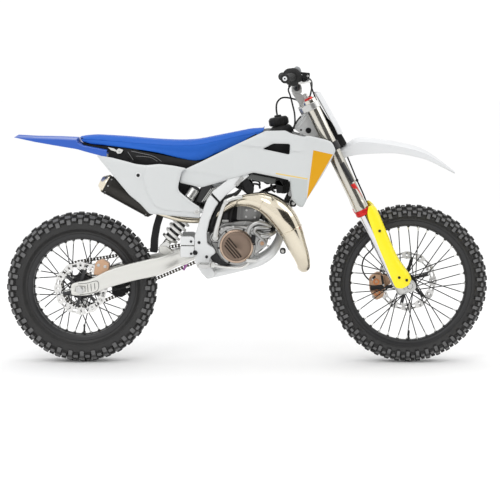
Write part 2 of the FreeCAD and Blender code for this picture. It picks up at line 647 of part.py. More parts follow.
# Controls on the chassis
def foot_controls():
    """Toothed foot pegs, brake pedal and shift lever."""
    tread = box(466, 514, 130, 206, 396, 412).cut(box(474, 506, 138, 199, 390, 420))
    bars = [box(470, 510, 158, 162, 398, 411), box(470, 510, 178, 182, 398, 411)]
    pegs = both(fuse(tread, bars, box(476, 500, 98.2, 132, 386, 404)))
    brake = fuse(bar([(520, -106, 398), (570, -112, 388), (632, -120, 386), (662, -124, 410)],
                     [8, 7, 7, 7], sides=5),
                 box(652, 690, -136, -112, 412, 428), rod_y(520, 398, 11, -116, -98.2, 8))
    shift = fuse(bar([(600, 88, 424), (650, 94, 412), (690, 98, 418)], 6, sides=5),
                 rod_y(600, 424, 8, 46.2, 94, 6),
                 rod_y(690, 418, 8, 90, 126, 6))
    return pegs + [brake, shift]


def drive_path(offset):
    """Closed outline at an offset from the chain's pitch line, as (x, z) points."""
    rear_r = PITCH / (2 * math.sin(math.pi / REAR_TEETH))
    front_r = PITCH / (2 * math.sin(math.pi / FRONT_TEETH))
    dx, dz = DRIVE_CENTRE.x - REAR_AXLE.x, DRIVE_CENTRE.z - REAR_AXLE.z
    base = math.atan2(dz, dx)
    tilt = math.acos((rear_r - front_r) / math.hypot(dx, dz))
    points = []
    for i in range(7):
        turn = base - tilt + 2 * tilt * i / 6
        points.append((DRIVE_CENTRE.x + (front_r + offset) * math.cos(turn),
                       DRIVE_CENTRE.z + (front_r + offset) * math.sin(turn)))
    sweep = 2 * math.pi - 2 * tilt
    for i in range(17):
        turn = base + tilt + sweep * i / 16
        points.append((REAR_AXLE.x + (rear_r + offset) * math.cos(turn),
                       REAR_AXLE.z + (rear_r + offset) * math.sin(turn)))
    return points


def chain():
    """Fixed loop: two side plates joined by rollers on the free runs."""
    plates = []
    for y0, y1 in ((CHAIN_Y + PLATE_IN, CHAIN_Y + PLATE_OUT), (CHAIN_Y - PLATE_OUT, CHAIN_Y - PLATE_IN)):
        outer = slab(drive_path(PLATE_HALF_HEIGHT), y0, y1)
        plates.append(outer.cut(slab(drive_path(-PLATE_HALF_HEIGHT), y0 - 1, y1 + 1)))
    path = drive_path(0.0)
    rollers = []
    for (x0, z0), (x1, z1) in ((path[6], path[7]), (path[-1], path[0])):
        for k in range(1, 5):
            t = 0.1 + 0.8 * k / 5
            rollers.append(bar([(x0 + (x1 - x0) * t, CHAIN_Y - PLATE_OUT + 1, z0 + (z1 - z0) * t),
                                (x0 + (x1 - x0) * t, CHAIN_Y + PLATE_OUT - 1,
                                 z0 + (z1 - z0) * t)], 4.2, sides=4,
                               up=X_DIR))
    return fuse(plates, rollers)


def chain_guide():
    """Block under the swingarm's left beam that the lower run passes through."""
    block = slab([(112, 305), (186, 328), (190, 300), (176, 262), (150, 246), (112, 258)], 48, 77.4)
    channel = slab([(80, 222), (80, 262), (220, 318), (220, 282)], 50, 74)
    return block.cut(channel)


def rear_caliper():
    """Caliper on the right, astride the rear disc."""
    body = slab([(52, 352), (60, 404), (88, 416), (116, 398), (112, 366), (82, 352)], -77.7, -42)
    disc_gap = rod_y(0, REAR_AXLE.z, REAR_DISC_R + 7, REAR_DISC_Y - 7.2, REAR_DISC_Y + 7.2, 24)
    return body.cut(disc_gap)


# Steering assembly
def clamp(levels):
    """Fork clamp between two heights on the steering axis."""
    low, high = levels
    half = [(-20, 24), (-2, 62), (-9, 76), (-12, 95), (4, 118), (24, 125), (44, 118), (58, 98), (56, 76),
            (40, 56)]
    ring = [steer(low, e, y) for e, y in half + [(e, -y) for e, y in reversed(half)]]
    body = polygon(ring).extrude(UP * (high - low))
    for y in (LEG_Y, -LEG_Y):
        body = body.cut(rod(steer(low - 5, CLAMP_OFFSET, y), steer(high + 5, CLAMP_OFFSET, y),
                            TUBE_R + 0.4, 12))
    return body


def triple_clamps():
    stem = rod(steer(LOWER_CLAMP[0], 0), steer(UPPER_CLAMP[1] + 4, 0), STEM_R, 0)
    nut = rod(steer(UPPER_CLAMP[1], 0), steer(UPPER_CLAMP[1] + 12, 0), 19)
    mounts = [bar([steer(UPPER_CLAMP[1] - 2, 14, y), steer(UPPER_CLAMP[1] + 60, 0, y)],
                  [17, 15]) for y in (40, -40)]
    mounts = [mount.cut(box(780, 900, y - 20, y + 20, BLOCK_Z - 0.3, BLOCK_Z + 60)) for mount,
              y in zip(mounts, (40, -40))]
    plate = number_plate()
    stays = [rod(steer(798, 38, y), steer(798, 92, y), 5).cut(plate).Solids for y in (36, -36)]
    stays = [min(parts, key=lambda part: part.BoundBox.XMin) for parts in stays]
    return fuse(clamp(LOWER_CLAMP), clamp(UPPER_CLAMP), stem, nut, mounts, stays)


def fork_tubes():
    legs = []
    for y in (LEG_Y, -LEG_Y):
        tube = rod(steer(TUBE_LOW + 14, CLAMP_OFFSET, y), steer(TUBE_HIGH, CLAMP_OFFSET, y), TUBE_R, 12)
        cap = rod(steer(TUBE_HIGH, CLAMP_OFFSET, y), steer(TUBE_HIGH + 8, CLAMP_OFFSET, y), 16, 8)
        bore = rod(steer(TUBE_LOW, CLAMP_OFFSET, y), steer(TUBE_LOW + 60, CLAMP_OFFSET, y), INNER_R + 0.4,
                   12)
        legs.append(fuse(tube, cap).cut(bore))
    return legs


def wipers():
    rings = []
    for y in (LEG_Y, -LEG_Y):
        ring = rod(steer(TUBE_LOW - 8, CLAMP_OFFSET, y), steer(TUBE_LOW + 13.8, CLAMP_OFFSET, y), 30)
        bore = rod(steer(TUBE_LOW - 12, CLAMP_OFFSET, y), steer(TUBE_LOW + 20, CLAMP_OFFSET, y),
                   INNER_R + 0.4, 12)
        rings.append(ring.cut(bore))
    return rings


def fork_inners():
    """Chromed inner tubes with the axle lugs at their feet."""
    legs = []
    for y in (LEG_Y, -LEG_Y):
        tube = rod(steer(30, CLAMP_OFFSET, y), steer(TUBE_LOW + 58, CLAMP_OFFSET, y), INNER_R)
        lug = rod(steer(-14, CLAMP_OFFSET + 8, y), steer(60, CLAMP_OFFSET + 2, y), 25)
        side = math.copysign(1, y)
        eye = rod(V(FRONT_AXLE.x, y - side * 21.5, FRONT_AXLE.z),
                  V(FRONT_AXLE.x, y + side * 17.8, FRONT_AXLE.z), 24)
        web = Part.Face(Part.makePolygon([steer(-22, 26, y - 13), steer(-22, 66, y - 13),
                                          steer(20, 66, y - 13),
                                          steer(56, 30, y - 13), steer(-22, 26,
                                                                       y - 13)])).extrude(V(0, 26, 0))
        body = fuse(tube, lug, eye, web)
        legs.append(body.cut(rod_y(FRONT_AXLE.x, FRONT_AXLE.z, AXLE_R + 0.5, y - 40, y + 40)))
    return legs


def fork_guards():
    """Guards before and outside the inner tubes."""
    outline = [(1140, 634), (1156, 622), (1166, 600), (1192, 541), (1238, 436), (1288, 362), (1296, 340),
               (1262, 318),
               (1236, 306), (1218, 337), (1136, 546), (1131, 566)]
    outside = slab(outline, 112.3, 119)
    front_strip = [(1140, 634), (1156, 622), (1166, 600), (1192, 541), (1238, 436), (1288, 362), (1281, 356),
                   (1231, 431), (1185, 537), (1160, 596), (1150, 616)]
    front = slab(front_strip, 66, 114)
    guard = fuse(outside, front)
    clear = [rod(steer(-30, CLAMP_OFFSET + 8, LEG_Y), steer(66, CLAMP_OFFSET + 2, LEG_Y), 25.3),
             rod(steer(TUBE_LOW - 14, CLAMP_OFFSET, LEG_Y), steer(TUBE_LOW + 60, CLAMP_OFFSET, LEG_Y), 30.6),
             rod(steer(40, CLAMP_OFFSET, LEG_Y), steer(TUBE_LOW, CLAMP_OFFSET, LEG_Y), INNER_R + 0.4),
             rod_y(FRONT_AXLE.x, FRONT_AXLE.z, 24.5, 60, 112)]
    for tool in clear:
        guard = guard.cut(tool)
    solid = max(guard.Solids, key=lambda part: part.Volume)
    return both(solid)


def front_fender():
    """Long fender under the lower clamp, arched across."""
    stations = [(962, 40, 826, 816), (1006, 46, 848, 808), (1018, 50, 853, 800), (1048, 54, 868, 815),
                (1091, 56, 889, 824), (1176, 60, 883, 829),
                (1240, 60, 873, 828), (1311, 58, 856, 815), (1361, 54, 834, 800), (1411, 48, 800, 776),
                (1466, 40, 758, 748)]
    rings = []
    thick = 3.5
    for x, w, top, low in stations:
        outer = [(0, top), (w * 0.55, top - 4), (w, low)]
        inner = [(w - thick, low), (w * 0.55 - 1, top - 4 - thick), (0, top - thick)]
        outer_ring = [(-y, z) for y, z in reversed(outer[1:])] + outer
        rings.append(cross_ring(x, outer_ring + inner + [(-y, z) for y, z in reversed(inner[:-1])]))
    return skin(rings)


def number_plate():
    """Front plate bowed round the fork tubes, with the moulded wedge below it."""
    front = [(940, 1062), (1026, 908), (1034, 886)]
    rings = []
    for y, back in ((-92, 16), (-60, 5), (0, 0), (60, 5), (92, 16)):
        outer = [V(x - back, y, z) for x, z in front]
        rings.append(outer + [p - V(4, 0, 1) for p in reversed(outer)])
    wedge = [steer(691, 67), steer(654, 79), steer(620, 85.5), steer(606.5, 86), (1018, 0, 854.5),
             (1009, 0, 850.5),
             steer(619, 41.5), steer(639, 41.5), steer(683, 49.5)]
    wedge = slab([(point[0], point[2]) for point in wedge], -30, 30)
    return fuse(skin(rings), wedge)


BLOCK_Z = 1062.0
BAR_HALF = [(846, 0, 1082), (846, 46, 1082), (848, 90, 1100), (846, 150, 1126), (838, 190, 1128),
            (796, 372, 1122)]


def handlebar():
    """Bent bar with its crossbar, clamp blocks and the two levers on their perches."""
    half = bar(BAR_HALF, [14, 14, 12, 11, 11, 11], up=Z_DIR)
    cross = bar([(846, -136, 1124), (848, 0, 1134), (846, 136, 1124)], 7, sides=6, up=Z_DIR)
    blocks = [box(828, 866, y - 14, y + 14, BLOCK_Z, BLOCK_Z + 38) for y in (40, -40)]
    perch = [bar([(838, 182, 1127.6), (832, 206, 1126.8)], 16, up=Z_DIR),
             slab([(842, 1112), (880, 1108), (884, 1122), (846, 1138)], 184, 204)]
    lever = bar([(874, 192, 1114), (894, 222, 1110), (868, 290, 1106), (852, 360, 1104)],
                [7, 6, 5.5, 6.5], sides=5,
                up=Z_DIR)
    return fuse(both(half), cross, blocks, both(fuse(perch, lever)))


def bar_pad():
    """Soft block round the crossbar."""
    pad = slab([(846, 1170), (862, 1164), (868, 1112), (856, 1104), (838, 1110), (832, 1150)], -84, 84)
    return max(pad.cut(handlebar()).Solids, key=lambda part: part.Volume)


def grips():
    """Rubber grips; the right one carries the throttle housing."""
    parts = []
    for y in (1, -1):
        a, b = V(825, y * 248, 1126), V(797.2, y * 372, 1122)
        along = (b - a).normalize()
        pieces = [bar([a, b + along * 4], 16.5, up=Z_DIR), bar([b, b + along * 3], 18, up=Z_DIR),
                  bar([a - along * 5, a], 23, up=Z_DIR)]
        if y < 0:
            pieces.append(bar([a - along * 34, a - along * 5], 27, up=Z_DIR))
        parts.append(fuse(pieces).cut(handlebar()))
    return parts


def front_brake():
    """Caliper behind the left leg, astride the front disc, and its hose from the right lever."""
    body = slab([(1140, 330), (1172, 352), (1196, 344), (1206, 300), (1196, 250), (1166, 236),
                 (1142, 276)], 38, 72)
    gap = rod_y(FRONT_AXLE.x, FRONT_AXLE.z, FRONT_DISC_R + 7, FRONT_DISC_Y - 7.2, FRONT_DISC_Y + 7.2, 24)
    bracket = slab([(1196, 344), (1222, 340), (1226, 296), (1196, 280)], 66, 73)
    caliper = fuse(body.cut(gap), bracket)
    for leg in fork_inners():
        caliper = caliper.cut(leg)
    path = [V(882, -194, 1116), V(896, -130, 1110), V(904, -60, 1084), V(918, -10, 1050), steer(798, 52, 14),
            steer(700, 54, 34), steer(640, 66, 48), steer(560, 66, 58), steer(450, 60, 60), steer(360, 56,
                                                                                                  60),
            steer(270, 40, 60), steer(200, 10, 62), steer(140, -12, 64), steer(88, -24, 68)]
    hose = bar(path, 3.0, sides=6)
    for other in (handlebar(), caliper):
        hose = hose.cut(other)
    return [caliper, max(hose.Solids, key=lambda part: part.Volume)]


def build_parts():
    """Every node name with its shape or list of solids."""
    return {
        "frame": frame(), "airbox": airbox(), "swingarm": swingarm(), "shock": shock(),
        "shock_spring": spring(),
        "engine_case": engine_case(), "clutch_cover": clutch_cover(), "cylinder": cylinder(),
        "carburettor": carburettor(), "kick_starter": kick_starter(), "exhaust_pipe": exhaust(),
        "silencer": silencer(), "radiators": radiators(), "hoses": hoses(), "fuel_tank": fuel_tank(),
        "fuel_cap": fuel_cap(), "seat": seat(), "rear_fender": rear_fender(), "side_panels": both(side_panel()),
        "shrouds": both(shroud()), "frame_guards": both(frame_guard()), "foot_controls": foot_controls(),
        "chain": chain(), "chain_guide": chain_guide(), "rear_caliper": rear_caliper(), "rear_axle": rear_axle(),
        "triple_clamps": triple_clamps(), "fork_tubes": fork_tubes(), "fork_wipers": wipers(),
        "fork_inners": fork_inners(), "fork_guards": fork_guards(), "front_fender": front_fender(),
        "number_plate": number_plate(), "handlebar": handlebar(), "bar_pad": bar_pad(), "grips": grips(),
        "front_brake": front_brake(), "front_axle": front_axle(),
        "front_tyre": tyre(FRONT, FRONT_AXLE), "front_rim": laced_wheel(FRONT, FRONT_AXLE, 61.5, 62.0),
        "front_disc": disc_on_carrier(FRONT_AXLE, FRONT_DISC_Y, FRONT_DISC_R, 30.0, 1),
        "rear_tyre": tyre(REAR, REAR_AXLE), "rear_rim": laced_wheel(REAR, REAR_AXLE, 66.5, 66.0),
        "rear_disc": disc_on_carrier(REAR_AXLE, REAR_DISC_Y, REAR_DISC_R, 34.0, -1),
        "rear_sprocket": sprocket(REAR_AXLE, REAR_TEETH, CHAIN_Y, 20.3, 34.0),
    }


def main():
    os.makedirs("parts", exist_ok=True)
    for node, shape in build_parts().items():
        if isinstance(shape, (list, tuple)):
            shape = shape[0] if len(shape) == 1 else Part.makeCompound(list(shape))
        elif len(shape.Solids) == 1:
            shape = shape.Solids[0]
        shape.translate(SEAT_POINT * -1)
        shape.exportStep(f"parts/{node}.step")


main()
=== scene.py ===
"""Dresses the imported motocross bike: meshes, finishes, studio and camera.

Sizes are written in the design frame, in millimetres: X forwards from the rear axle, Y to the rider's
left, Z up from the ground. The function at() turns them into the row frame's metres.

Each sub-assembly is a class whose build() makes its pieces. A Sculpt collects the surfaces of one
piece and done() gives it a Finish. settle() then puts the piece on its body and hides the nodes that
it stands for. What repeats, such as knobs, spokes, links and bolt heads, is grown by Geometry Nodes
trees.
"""

import logging
import math
from dataclasses import dataclass, field
from enum import Enum
from typing import Callable, Optional, Sequence

import bmesh
import bpy
from mathutils import Matrix, Vector
from mathutils.geometry import delaunay_2d_cdt

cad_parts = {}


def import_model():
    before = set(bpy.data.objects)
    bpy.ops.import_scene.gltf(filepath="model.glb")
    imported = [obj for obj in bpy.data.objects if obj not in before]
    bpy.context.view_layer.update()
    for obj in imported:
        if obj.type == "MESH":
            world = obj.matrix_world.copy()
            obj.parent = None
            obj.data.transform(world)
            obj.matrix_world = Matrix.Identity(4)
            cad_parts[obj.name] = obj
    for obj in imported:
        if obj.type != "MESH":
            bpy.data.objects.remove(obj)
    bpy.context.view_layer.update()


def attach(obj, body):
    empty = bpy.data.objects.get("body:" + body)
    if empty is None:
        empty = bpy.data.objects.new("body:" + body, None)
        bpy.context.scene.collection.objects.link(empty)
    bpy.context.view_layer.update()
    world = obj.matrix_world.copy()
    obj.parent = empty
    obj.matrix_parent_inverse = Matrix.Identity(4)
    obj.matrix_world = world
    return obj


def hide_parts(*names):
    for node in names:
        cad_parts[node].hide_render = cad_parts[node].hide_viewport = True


LOG = logging.getLogger("motocross_bike")

# The row frame's origin and the bike's main sizes, in design millimetres
SEAT_POINT = (400.0, 0.0, 877.0)
WHEELBASE = 1290.0
FRONT_RADIUS = 313.0
REAR_RADIUS = 298.0
RAKE = math.radians(26.0)
CLAMP_OFFSET = 24.0
LUG_OFFSET = 39.5
LEG_Y = 88.0
LEFT, RIGHT, UP = (0, 1, 0), (0, -1, 0), (0, 0, 1)

# Edges sharper than SMOOTH_ANGLE stay sharp; those sharper than EDGE_ANGLE are rounded
SMOOTH_ANGLE = math.radians(38.0)
EDGE_ANGLE = math.radians(35.0)

# Single values of looks and growth
BROAD_SCALE = 7.0
FINE_SHARE, BROAD_SHARE = 0.45, 0.55
COAT_ROUGH = 0.08
CLOTH_FRAMES = 20
COVER_SINK = 0.55
BASE_NORMAL = -0.55
SPOKE_LEAN = 0.9

Point = tuple[float, float, float]
Flat = tuple[float, float]


def at(x: float, y: float, z: float) -> Vector:
    """Turns a design point in millimetres into the row frame in metres."""
    return Vector(((x - SEAT_POINT[0]) / 1000, (y - SEAT_POINT[1]) / 1000, (z - SEAT_POINT[2]) / 1000))


def steer(s: float, e: float, y: float = 0.0) -> Point:
    """Gives the design point s up the steering axis, e ahead of it and y to the left."""
    up = (-math.sin(RAKE), math.cos(RAKE))
    ahead = (math.cos(RAKE), math.sin(RAKE))
    base_x = WHEELBASE - ahead[0] * (CLAMP_OFFSET + LUG_OFFSET)
    base_z = FRONT_RADIUS - ahead[1] * (CLAMP_OFFSET + LUG_OFFSET)
    return (base_x + up[0] * s + ahead[0] * e, y, base_z + up[1] * s + ahead[1] * e)


def flat(s: float, e: float) -> Flat:
    """Gives the side view's (x, z) of the point s up the steering axis and e ahead of it."""
    x, _, z = steer(s, e)
    return x, z


STEER_AXIS = (-math.sin(RAKE), 0.0, math.cos(RAKE))


# Finishes


class Grain(Enum):
    """How a finish's fine structure is laid."""

    MOULDED = "moulded"
    BRUSHED = "brushed"
    CAST = "cast"
    GRIP = "grip"
    DRAWN = "drawn"


class Nodes:
    """Small helper that adds and links shader nodes in one tree."""

    def __init__(self, tree: bpy.types.NodeTree) -> None:
        """Keeps the tree."""
        self.tree = tree

    def add(self, kind: str, **values: object) -> bpy.types.Node:
        """Adds a node and sets its properties.

        Args:
            kind: Blender's node type name.
            **values: properties of the node.

        Returns:
            The new node.
        """
        node = self.tree.nodes.new(kind)
        for name, value in values.items():
            setattr(node, name, value)
        return node

    def link(self, source: bpy.types.NodeSocket, target: bpy.types.NodeSocket) -> None:
        """Joins an output to an input."""
        self.tree.links.new(source, target)

    def math(self, operation: str, first: object, second: object = None,
             third: object = None) -> bpy.types.NodeSocket:
        """Adds a Math node whose inputs are sockets or numbers and returns its output."""
        node = self.add("ShaderNodeMath", operation=operation)
        for index, value in enumerate((first, second, third)):
            if value is None:
                continue
            if isinstance(value, (int, float)):
                node.inputs[index].default_value = value
            else:
                self.link(value, node.inputs[index])
        return node.outputs[0]

    def mix(self, factor: object, first: object, second: object) -> bpy.types.NodeSocket:
        """Mixes two colours, given as sockets or tuples, and returns the result's socket."""
        node = self.add("ShaderNodeMix", data_type="RGBA")
        for socket, value in ((node.inputs[0], factor), (node.inputs[6], first), (node.inputs[7], second)):
            if isinstance(value, (int, float)):
                socket.default_value = value
            elif isinstance(value, tuple):
                socket.default_value = (*value[:3], 1.0)
            else:
                self.link(value, socket)
        return node.outputs[2]


def new_group(name: str, inputs: Sequence[tuple[str, str, object]],
              outputs: Sequence[tuple[str, str]]) -> tuple[bpy.types.NodeTree, Nodes, bpy.types.Node,
        bpy.types.Node]:
    """Starts a shader node group with named sockets.

    Args:
        name: the group's name.
        inputs: name, socket type and default of each input.
        outputs: name and socket type of each output.

    Returns:
        The tree, its helper, its input node and its output node.
    """
    tree = bpy.data.node_groups.new(name, "ShaderNodeTree")
    for label, kind, default in inputs:
        socket = tree.interface.new_socket(name=label, in_out="INPUT", socket_type=kind)
        socket.default_value = default
    for label, kind in outputs:
        tree.interface.new_socket(name=label, in_out="OUTPUT", socket_type=kind)
    nodes = Nodes(tree)
    return tree, nodes, nodes.add("NodeGroupInput"), nodes.add("NodeGroupOutput")


# Socket types
COLOR, FLOAT, VECTOR = "NodeSocketColor", "NodeSocketFloat", "NodeSocketVector"
INTEGER, GEOMETRY = "NodeSocketInt", "NodeSocketGeometry"


def surface_group(grain: Grain) -> bpy.types.NodeTree:
    """Gives the shared group that makes a finish's colour drift, roughness and height.

    Args:
        grain: the kind of fine structure.

    Returns:
        The group, built on first use.
    """
    name = f"{grain.value}_surface"
    if name in bpy.data.node_groups:
        return bpy.data.node_groups[name]
    inputs = [("Vector", VECTOR, (0.0, 0.0, 0.0)), ("Main Color", COLOR, (0.5, 0.5, 0.5, 1)),
              ("Second Color", COLOR, (0.4, 0.4, 0.4, 1)), ("Scale", FLOAT, 400.0),
              ("Spread", FLOAT, 0.3), ("Smooth", FLOAT, 0.3), ("Rough", FLOAT, 0.4)]
    outputs = [("Color", COLOR), ("Roughness", FLOAT), ("Height", FLOAT)]
    tree, nodes, start, end = new_group(name, inputs, outputs)
    broad = nodes.add("ShaderNodeTexNoise")
    broad.inputs["Scale"].default_value = BROAD_SCALE
    broad.inputs["Detail"].default_value = 5.0
    nodes.link(start.outputs["Vector"], broad.inputs["Vector"])
    fine_source = start.outputs["Vector"]
    if grain is Grain.BRUSHED:
        stretch = nodes.add("ShaderNodeMapping")
        stretch.inputs["Scale"].default_value = (0.06, 1.0, 1.0)
        nodes.link(fine_source, stretch.inputs["Vector"])
        fine_source = stretch.outputs[0]
    if grain is Grain.DRAWN:
        turn = nodes.add("ShaderNodeMapping")
        turn.inputs["Rotation"].default_value = (0.0, RAKE, 0.0)
        stretch = nodes.add("ShaderNodeMapping")
        stretch.inputs["Scale"].default_value = (1.0, 1.0, 0.01)
        nodes.link(fine_source, turn.inputs["Vector"])
        nodes.link(turn.outputs[0], stretch.inputs["Vector"])
        fine_source = stretch.outputs[0]
    if grain is Grain.GRIP:
        fine = nodes.add("ShaderNodeTexVoronoi", feature="SMOOTH_F1")
        fine.inputs["Smoothness"].default_value = 0.4
        height = fine.outputs["Distance"]
    elif grain is Grain.CAST:
        fine = nodes.add("ShaderNodeTexNoise")
        fine.inputs["Detail"].default_value = 6.0
        fine.inputs["Roughness"].default_value = 0.7
        height = fine.outputs["Fac"]
    else:
        fine = nodes.add("ShaderNodeTexNoise")
        fine.inputs["Detail"].default_value = 3.0
        height = fine.outputs["Fac"]
    nodes.link(fine_source, fine.inputs["Vector"])
    nodes.link(start.outputs["Scale"], fine.inputs["Scale"])
    mixed = nodes.math("MULTIPLY_ADD", height, FINE_SHARE,
                       nodes.math("MULTIPLY", broad.outputs["Fac"], BROAD_SHARE))
    drift = nodes.math("MULTIPLY", nodes.math("SUBTRACT", mixed, 0.32),
                       nodes.math("MULTIPLY", start.outputs["Spread"], 3.0))
    factor = nodes.add("ShaderNodeClamp")
    nodes.link(drift, factor.inputs[0])
    nodes.link(nodes.mix(factor.outputs[0], start.outputs["Main Color"], start.outputs["Second Color"]),
               end.inputs["Color"])
    span = nodes.math("SUBTRACT", start.outputs["Rough"], start.outputs["Smooth"])
    nodes.link(nodes.math("MULTIPLY_ADD", span, mixed, start.outputs["Smooth"]), end.inputs["Roughness"])
    nodes.link(height, end.inputs["Height"])
    return tree


def dust_group() -> bpy.types.NodeTree:
    """Gives the shared group that lays a thin film of dust in soft noise patches."""
    name = "dust_film"
    if name in bpy.data.node_groups:
        return bpy.data.node_groups[name]
    tree, nodes, start, end = new_group(name, [("Vector", VECTOR, (0.0, 0.0, 0.0)),
            ("Color", COLOR, (0.5, 0.5, 0.5, 1)), ("Dust Color", COLOR, (0.5, 0.47, 0.42, 1)),
            ("Amount", FLOAT, 0.2)], [("Color", COLOR), ("Mask", FLOAT)])
    noise = nodes.add("ShaderNodeTexNoise")
    noise.inputs["Scale"].default_value = 16.0
    noise.inputs["Detail"].default_value = 8.0
    nodes.link(start.outputs["Vector"], noise.inputs["Vector"])
    mask = nodes.math("MULTIPLY", nodes.math("SMOOTH_MIN", noise.outputs["Fac"], 0.8, 0.1),
                      start.outputs["Amount"])
    nodes.link(nodes.mix(mask, start.outputs["Color"], start.outputs["Dust Color"]), end.inputs["Color"])
    nodes.link(mask, end.inputs["Mask"])
    return tree


@dataclass(frozen=True)
class Stripe:
    """A flat coloured field on a side view, bounded by half planes in design x and z.

    Each bound is (x, z, dx, dz): the field lies on the left of the line that leaves (x, z) along (dx, dz).
    """

    color: tuple[float, float, float]
    bounds: tuple[tuple[float, float, float, float], ...]


@dataclass(frozen=True)
class Finish:
    """One named finish with its colours, gloss and grain."""

    name: str
    color: tuple[float, float, float]
    second: tuple[float, float, float]
    smooth: float
    rough: float
    metallic: float = 0.0
    coat: float = 0.0
    grain: Grain = Grain.MOULDED
    scale: float = 600.0
    spread: float = 0.25
    bump: float = 0.08
    depth: float = 0.0004
    dust: float = 0.0
    stripes: tuple[Stripe, ...] = ()
    shine: float = 0.5
    # Colour of painted light: where a piece's per-point mask is set, it paints a highlight (tyre knob tops) or
    # shade (castings).
    painted_light_color: Optional[tuple[float, float, float]] = None

    def material(self) -> bpy.types.Material:
        """Builds the finish's material on first use.

        Returns:
            The Blender material.
        """
        label = f"{self.name}_look"
        if label in bpy.data.materials:
            return bpy.data.materials[label]
        made = bpy.data.materials.new(label)
        made.use_nodes = True
        nodes = Nodes(made.node_tree)
        shader = made.node_tree.nodes["Principled BSDF"]
        shader.inputs["Metallic"].default_value = self.metallic
        shader.inputs["Coat Weight"].default_value = self.coat
        shader.inputs["Coat Roughness"].default_value = COAT_ROUGH
        shader.inputs["Specular IOR Level"].default_value = self.shine
        place = nodes.add("ShaderNodeTexCoord")
        surface = nodes.add("ShaderNodeGroup", node_tree=surface_group(self.grain))
        nodes.link(place.outputs["Object"], surface.inputs["Vector"])
        surface.inputs["Main Color"].default_value = (*self.color, 1)
        surface.inputs["Second Color"].default_value = (*self.second, 1)
        surface.inputs["Scale"].default_value = self.scale
        surface.inputs["Spread"].default_value = self.spread
        surface.inputs["Smooth"].default_value = self.smooth
        surface.inputs["Rough"].default_value = self.rough
        color = surface.outputs["Color"]
        if self.stripes:
            split = nodes.add("ShaderNodeSeparateXYZ")
            nodes.link(place.outputs["Object"], split.inputs[0])
            for stripe in self.stripes:
                color = nodes.mix(self._field(nodes, split, stripe), color, stripe.color)
        # Paints light and shade: mixes in the painted light colour by the per-point mask.
        if self.painted_light_color:
            painted_light_mask = nodes.add("ShaderNodeAttribute", attribute_name="painted_light_mask")
            color = nodes.mix(painted_light_mask.outputs["Fac"], color, self.painted_light_color)
        if self.dust:
            film = nodes.add("ShaderNodeGroup", node_tree=dust_group())
            nodes.link(place.outputs["Object"], film.inputs["Vector"])
            nodes.link(color, film.inputs["Color"])
            film.inputs["Amount"].default_value = self.dust
            color = film.outputs["Color"]
        nodes.link(color, shader.inputs["Base Color"])
        nodes.link(surface.outputs["Roughness"], shader.inputs["Roughness"])
        bump = nodes.add("ShaderNodeBump")
        bump.inputs["Strength"].default_value = self.bump
        bump.inputs["Distance"].default_value = self.depth
        nodes.link(surface.outputs["Height"], bump.inputs["Height"])
        nodes.link(bump.outputs[0], shader.inputs["Normal"])
        return made

    @staticmethod
    def _field(nodes: Nodes, split: bpy.types.Node, stripe: Stripe) -> bpy.types.NodeSocket:
        """Gives the mask of a stripe's field from the object's x and z."""
        mask = None
        for x, z, dx, dz in stripe.bounds:
            start, length = at(x, 0, z), math.hypot(dx, dz)
            side = nodes.math("ADD", nodes.math("MULTIPLY", split.outputs["X"], -dz / length),
                              nodes.math("MULTIPLY", split.outputs["Z"], dx / length))
            offset = (-dz * start.x + dx * start.z) / length
            step = nodes.math("GREATER_THAN", side, offset)
            mask = step if mask is None else nodes.math("MULTIPLY", mask, step)
        return mask


def between(points: Sequence[Flat]) -> tuple[tuple[float, float, float, float], ...]:
    """Gives the half planes of a convex field whose corners run anticlockwise in the side view."""
    ring = list(points)
    return tuple((a[0], a[1], b[0] - a[0], b[1] - a[1]) for a, b in zip(ring, ring[1:] + ring[:1]))


GOLD = (0.66, 0.32, 0.0)
WEDGE = Stripe(GOLD, between([(885, 655), (985, 829), (909, 846)]))
GOLD_LINE = Stripe((0.72, 0.53, 0.17), between([(765, 753), (887, 733), (888, 738), (765, 758)]))
PALE_FIELD = Stripe((0.49, 0.515, 0.51), between([(819, 600), (880, 600), (887, 731), (819, 740)]))

PANEL, PANEL_LOW = (0.585, 0.60, 0.60), (0.535, 0.55, 0.55)
WHITE = Finish("white_plastic", PANEL, PANEL_LOW, 0.26, 0.38, coat=0.25, scale=900, bump=0.05)
SHROUD_WHITE = Finish("shroud_plastic", PANEL, PANEL_LOW, 0.30, 0.42, coat=0.06, scale=900, bump=0.04,
                      shine=0.3, stripes=(PALE_FIELD, WEDGE, GOLD_LINE))
PLATE_WHITE = Finish("number_plate_plastic", (0.68, 0.69, 0.70), (0.64, 0.65, 0.66), 0.28, 0.40, coat=0.2,
                     scale=900, bump=0.05)
BLUE = Finish("blue_plastic", (0.009, 0.088, 0.46), (0.006, 0.064, 0.38), 0.28, 0.42, coat=0.12,
              scale=900, bump=0.05)
SEAT_VINYL = Finish("seat_vinyl", (0.006, 0.105, 0.50), (0.004, 0.080, 0.42), 0.50, 0.66, grain=Grain.GRIP,
                    scale=520, bump=0.35, depth=0.0005, shine=0.3)
YELLOW = Finish("yellow_plastic", (0.93, 0.79, 0.002), (0.90, 0.72, 0.002), 0.28, 0.42, coat=0.2, scale=900)
BLACK = Finish("black_plastic", (0.008, 0.008, 0.009), (0.017, 0.017, 0.018), 0.44, 0.64, scale=1400, bump=0.25,
               dust=0.012, shine=0.22)
FRAME_PAINT = Finish("frame_paint", (0.71, 0.72, 0.72), (0.65, 0.66, 0.66), 0.28, 0.42, metallic=0.08,
                     coat=0.25, scale=1200, bump=0.05)
GUARD_WHITE = Finish("guard_plastic", (0.68, 0.69, 0.69), (0.62, 0.63, 0.63), 0.38, 0.52, scale=900, bump=0.1)
SWINGARM_ALLOY = Finish("swingarm_alloy", (0.72, 0.715, 0.68), (0.62, 0.615, 0.58), 0.30, 0.44, metallic=0.7,
                        grain=Grain.BRUSHED, scale=1500, bump=0.12)
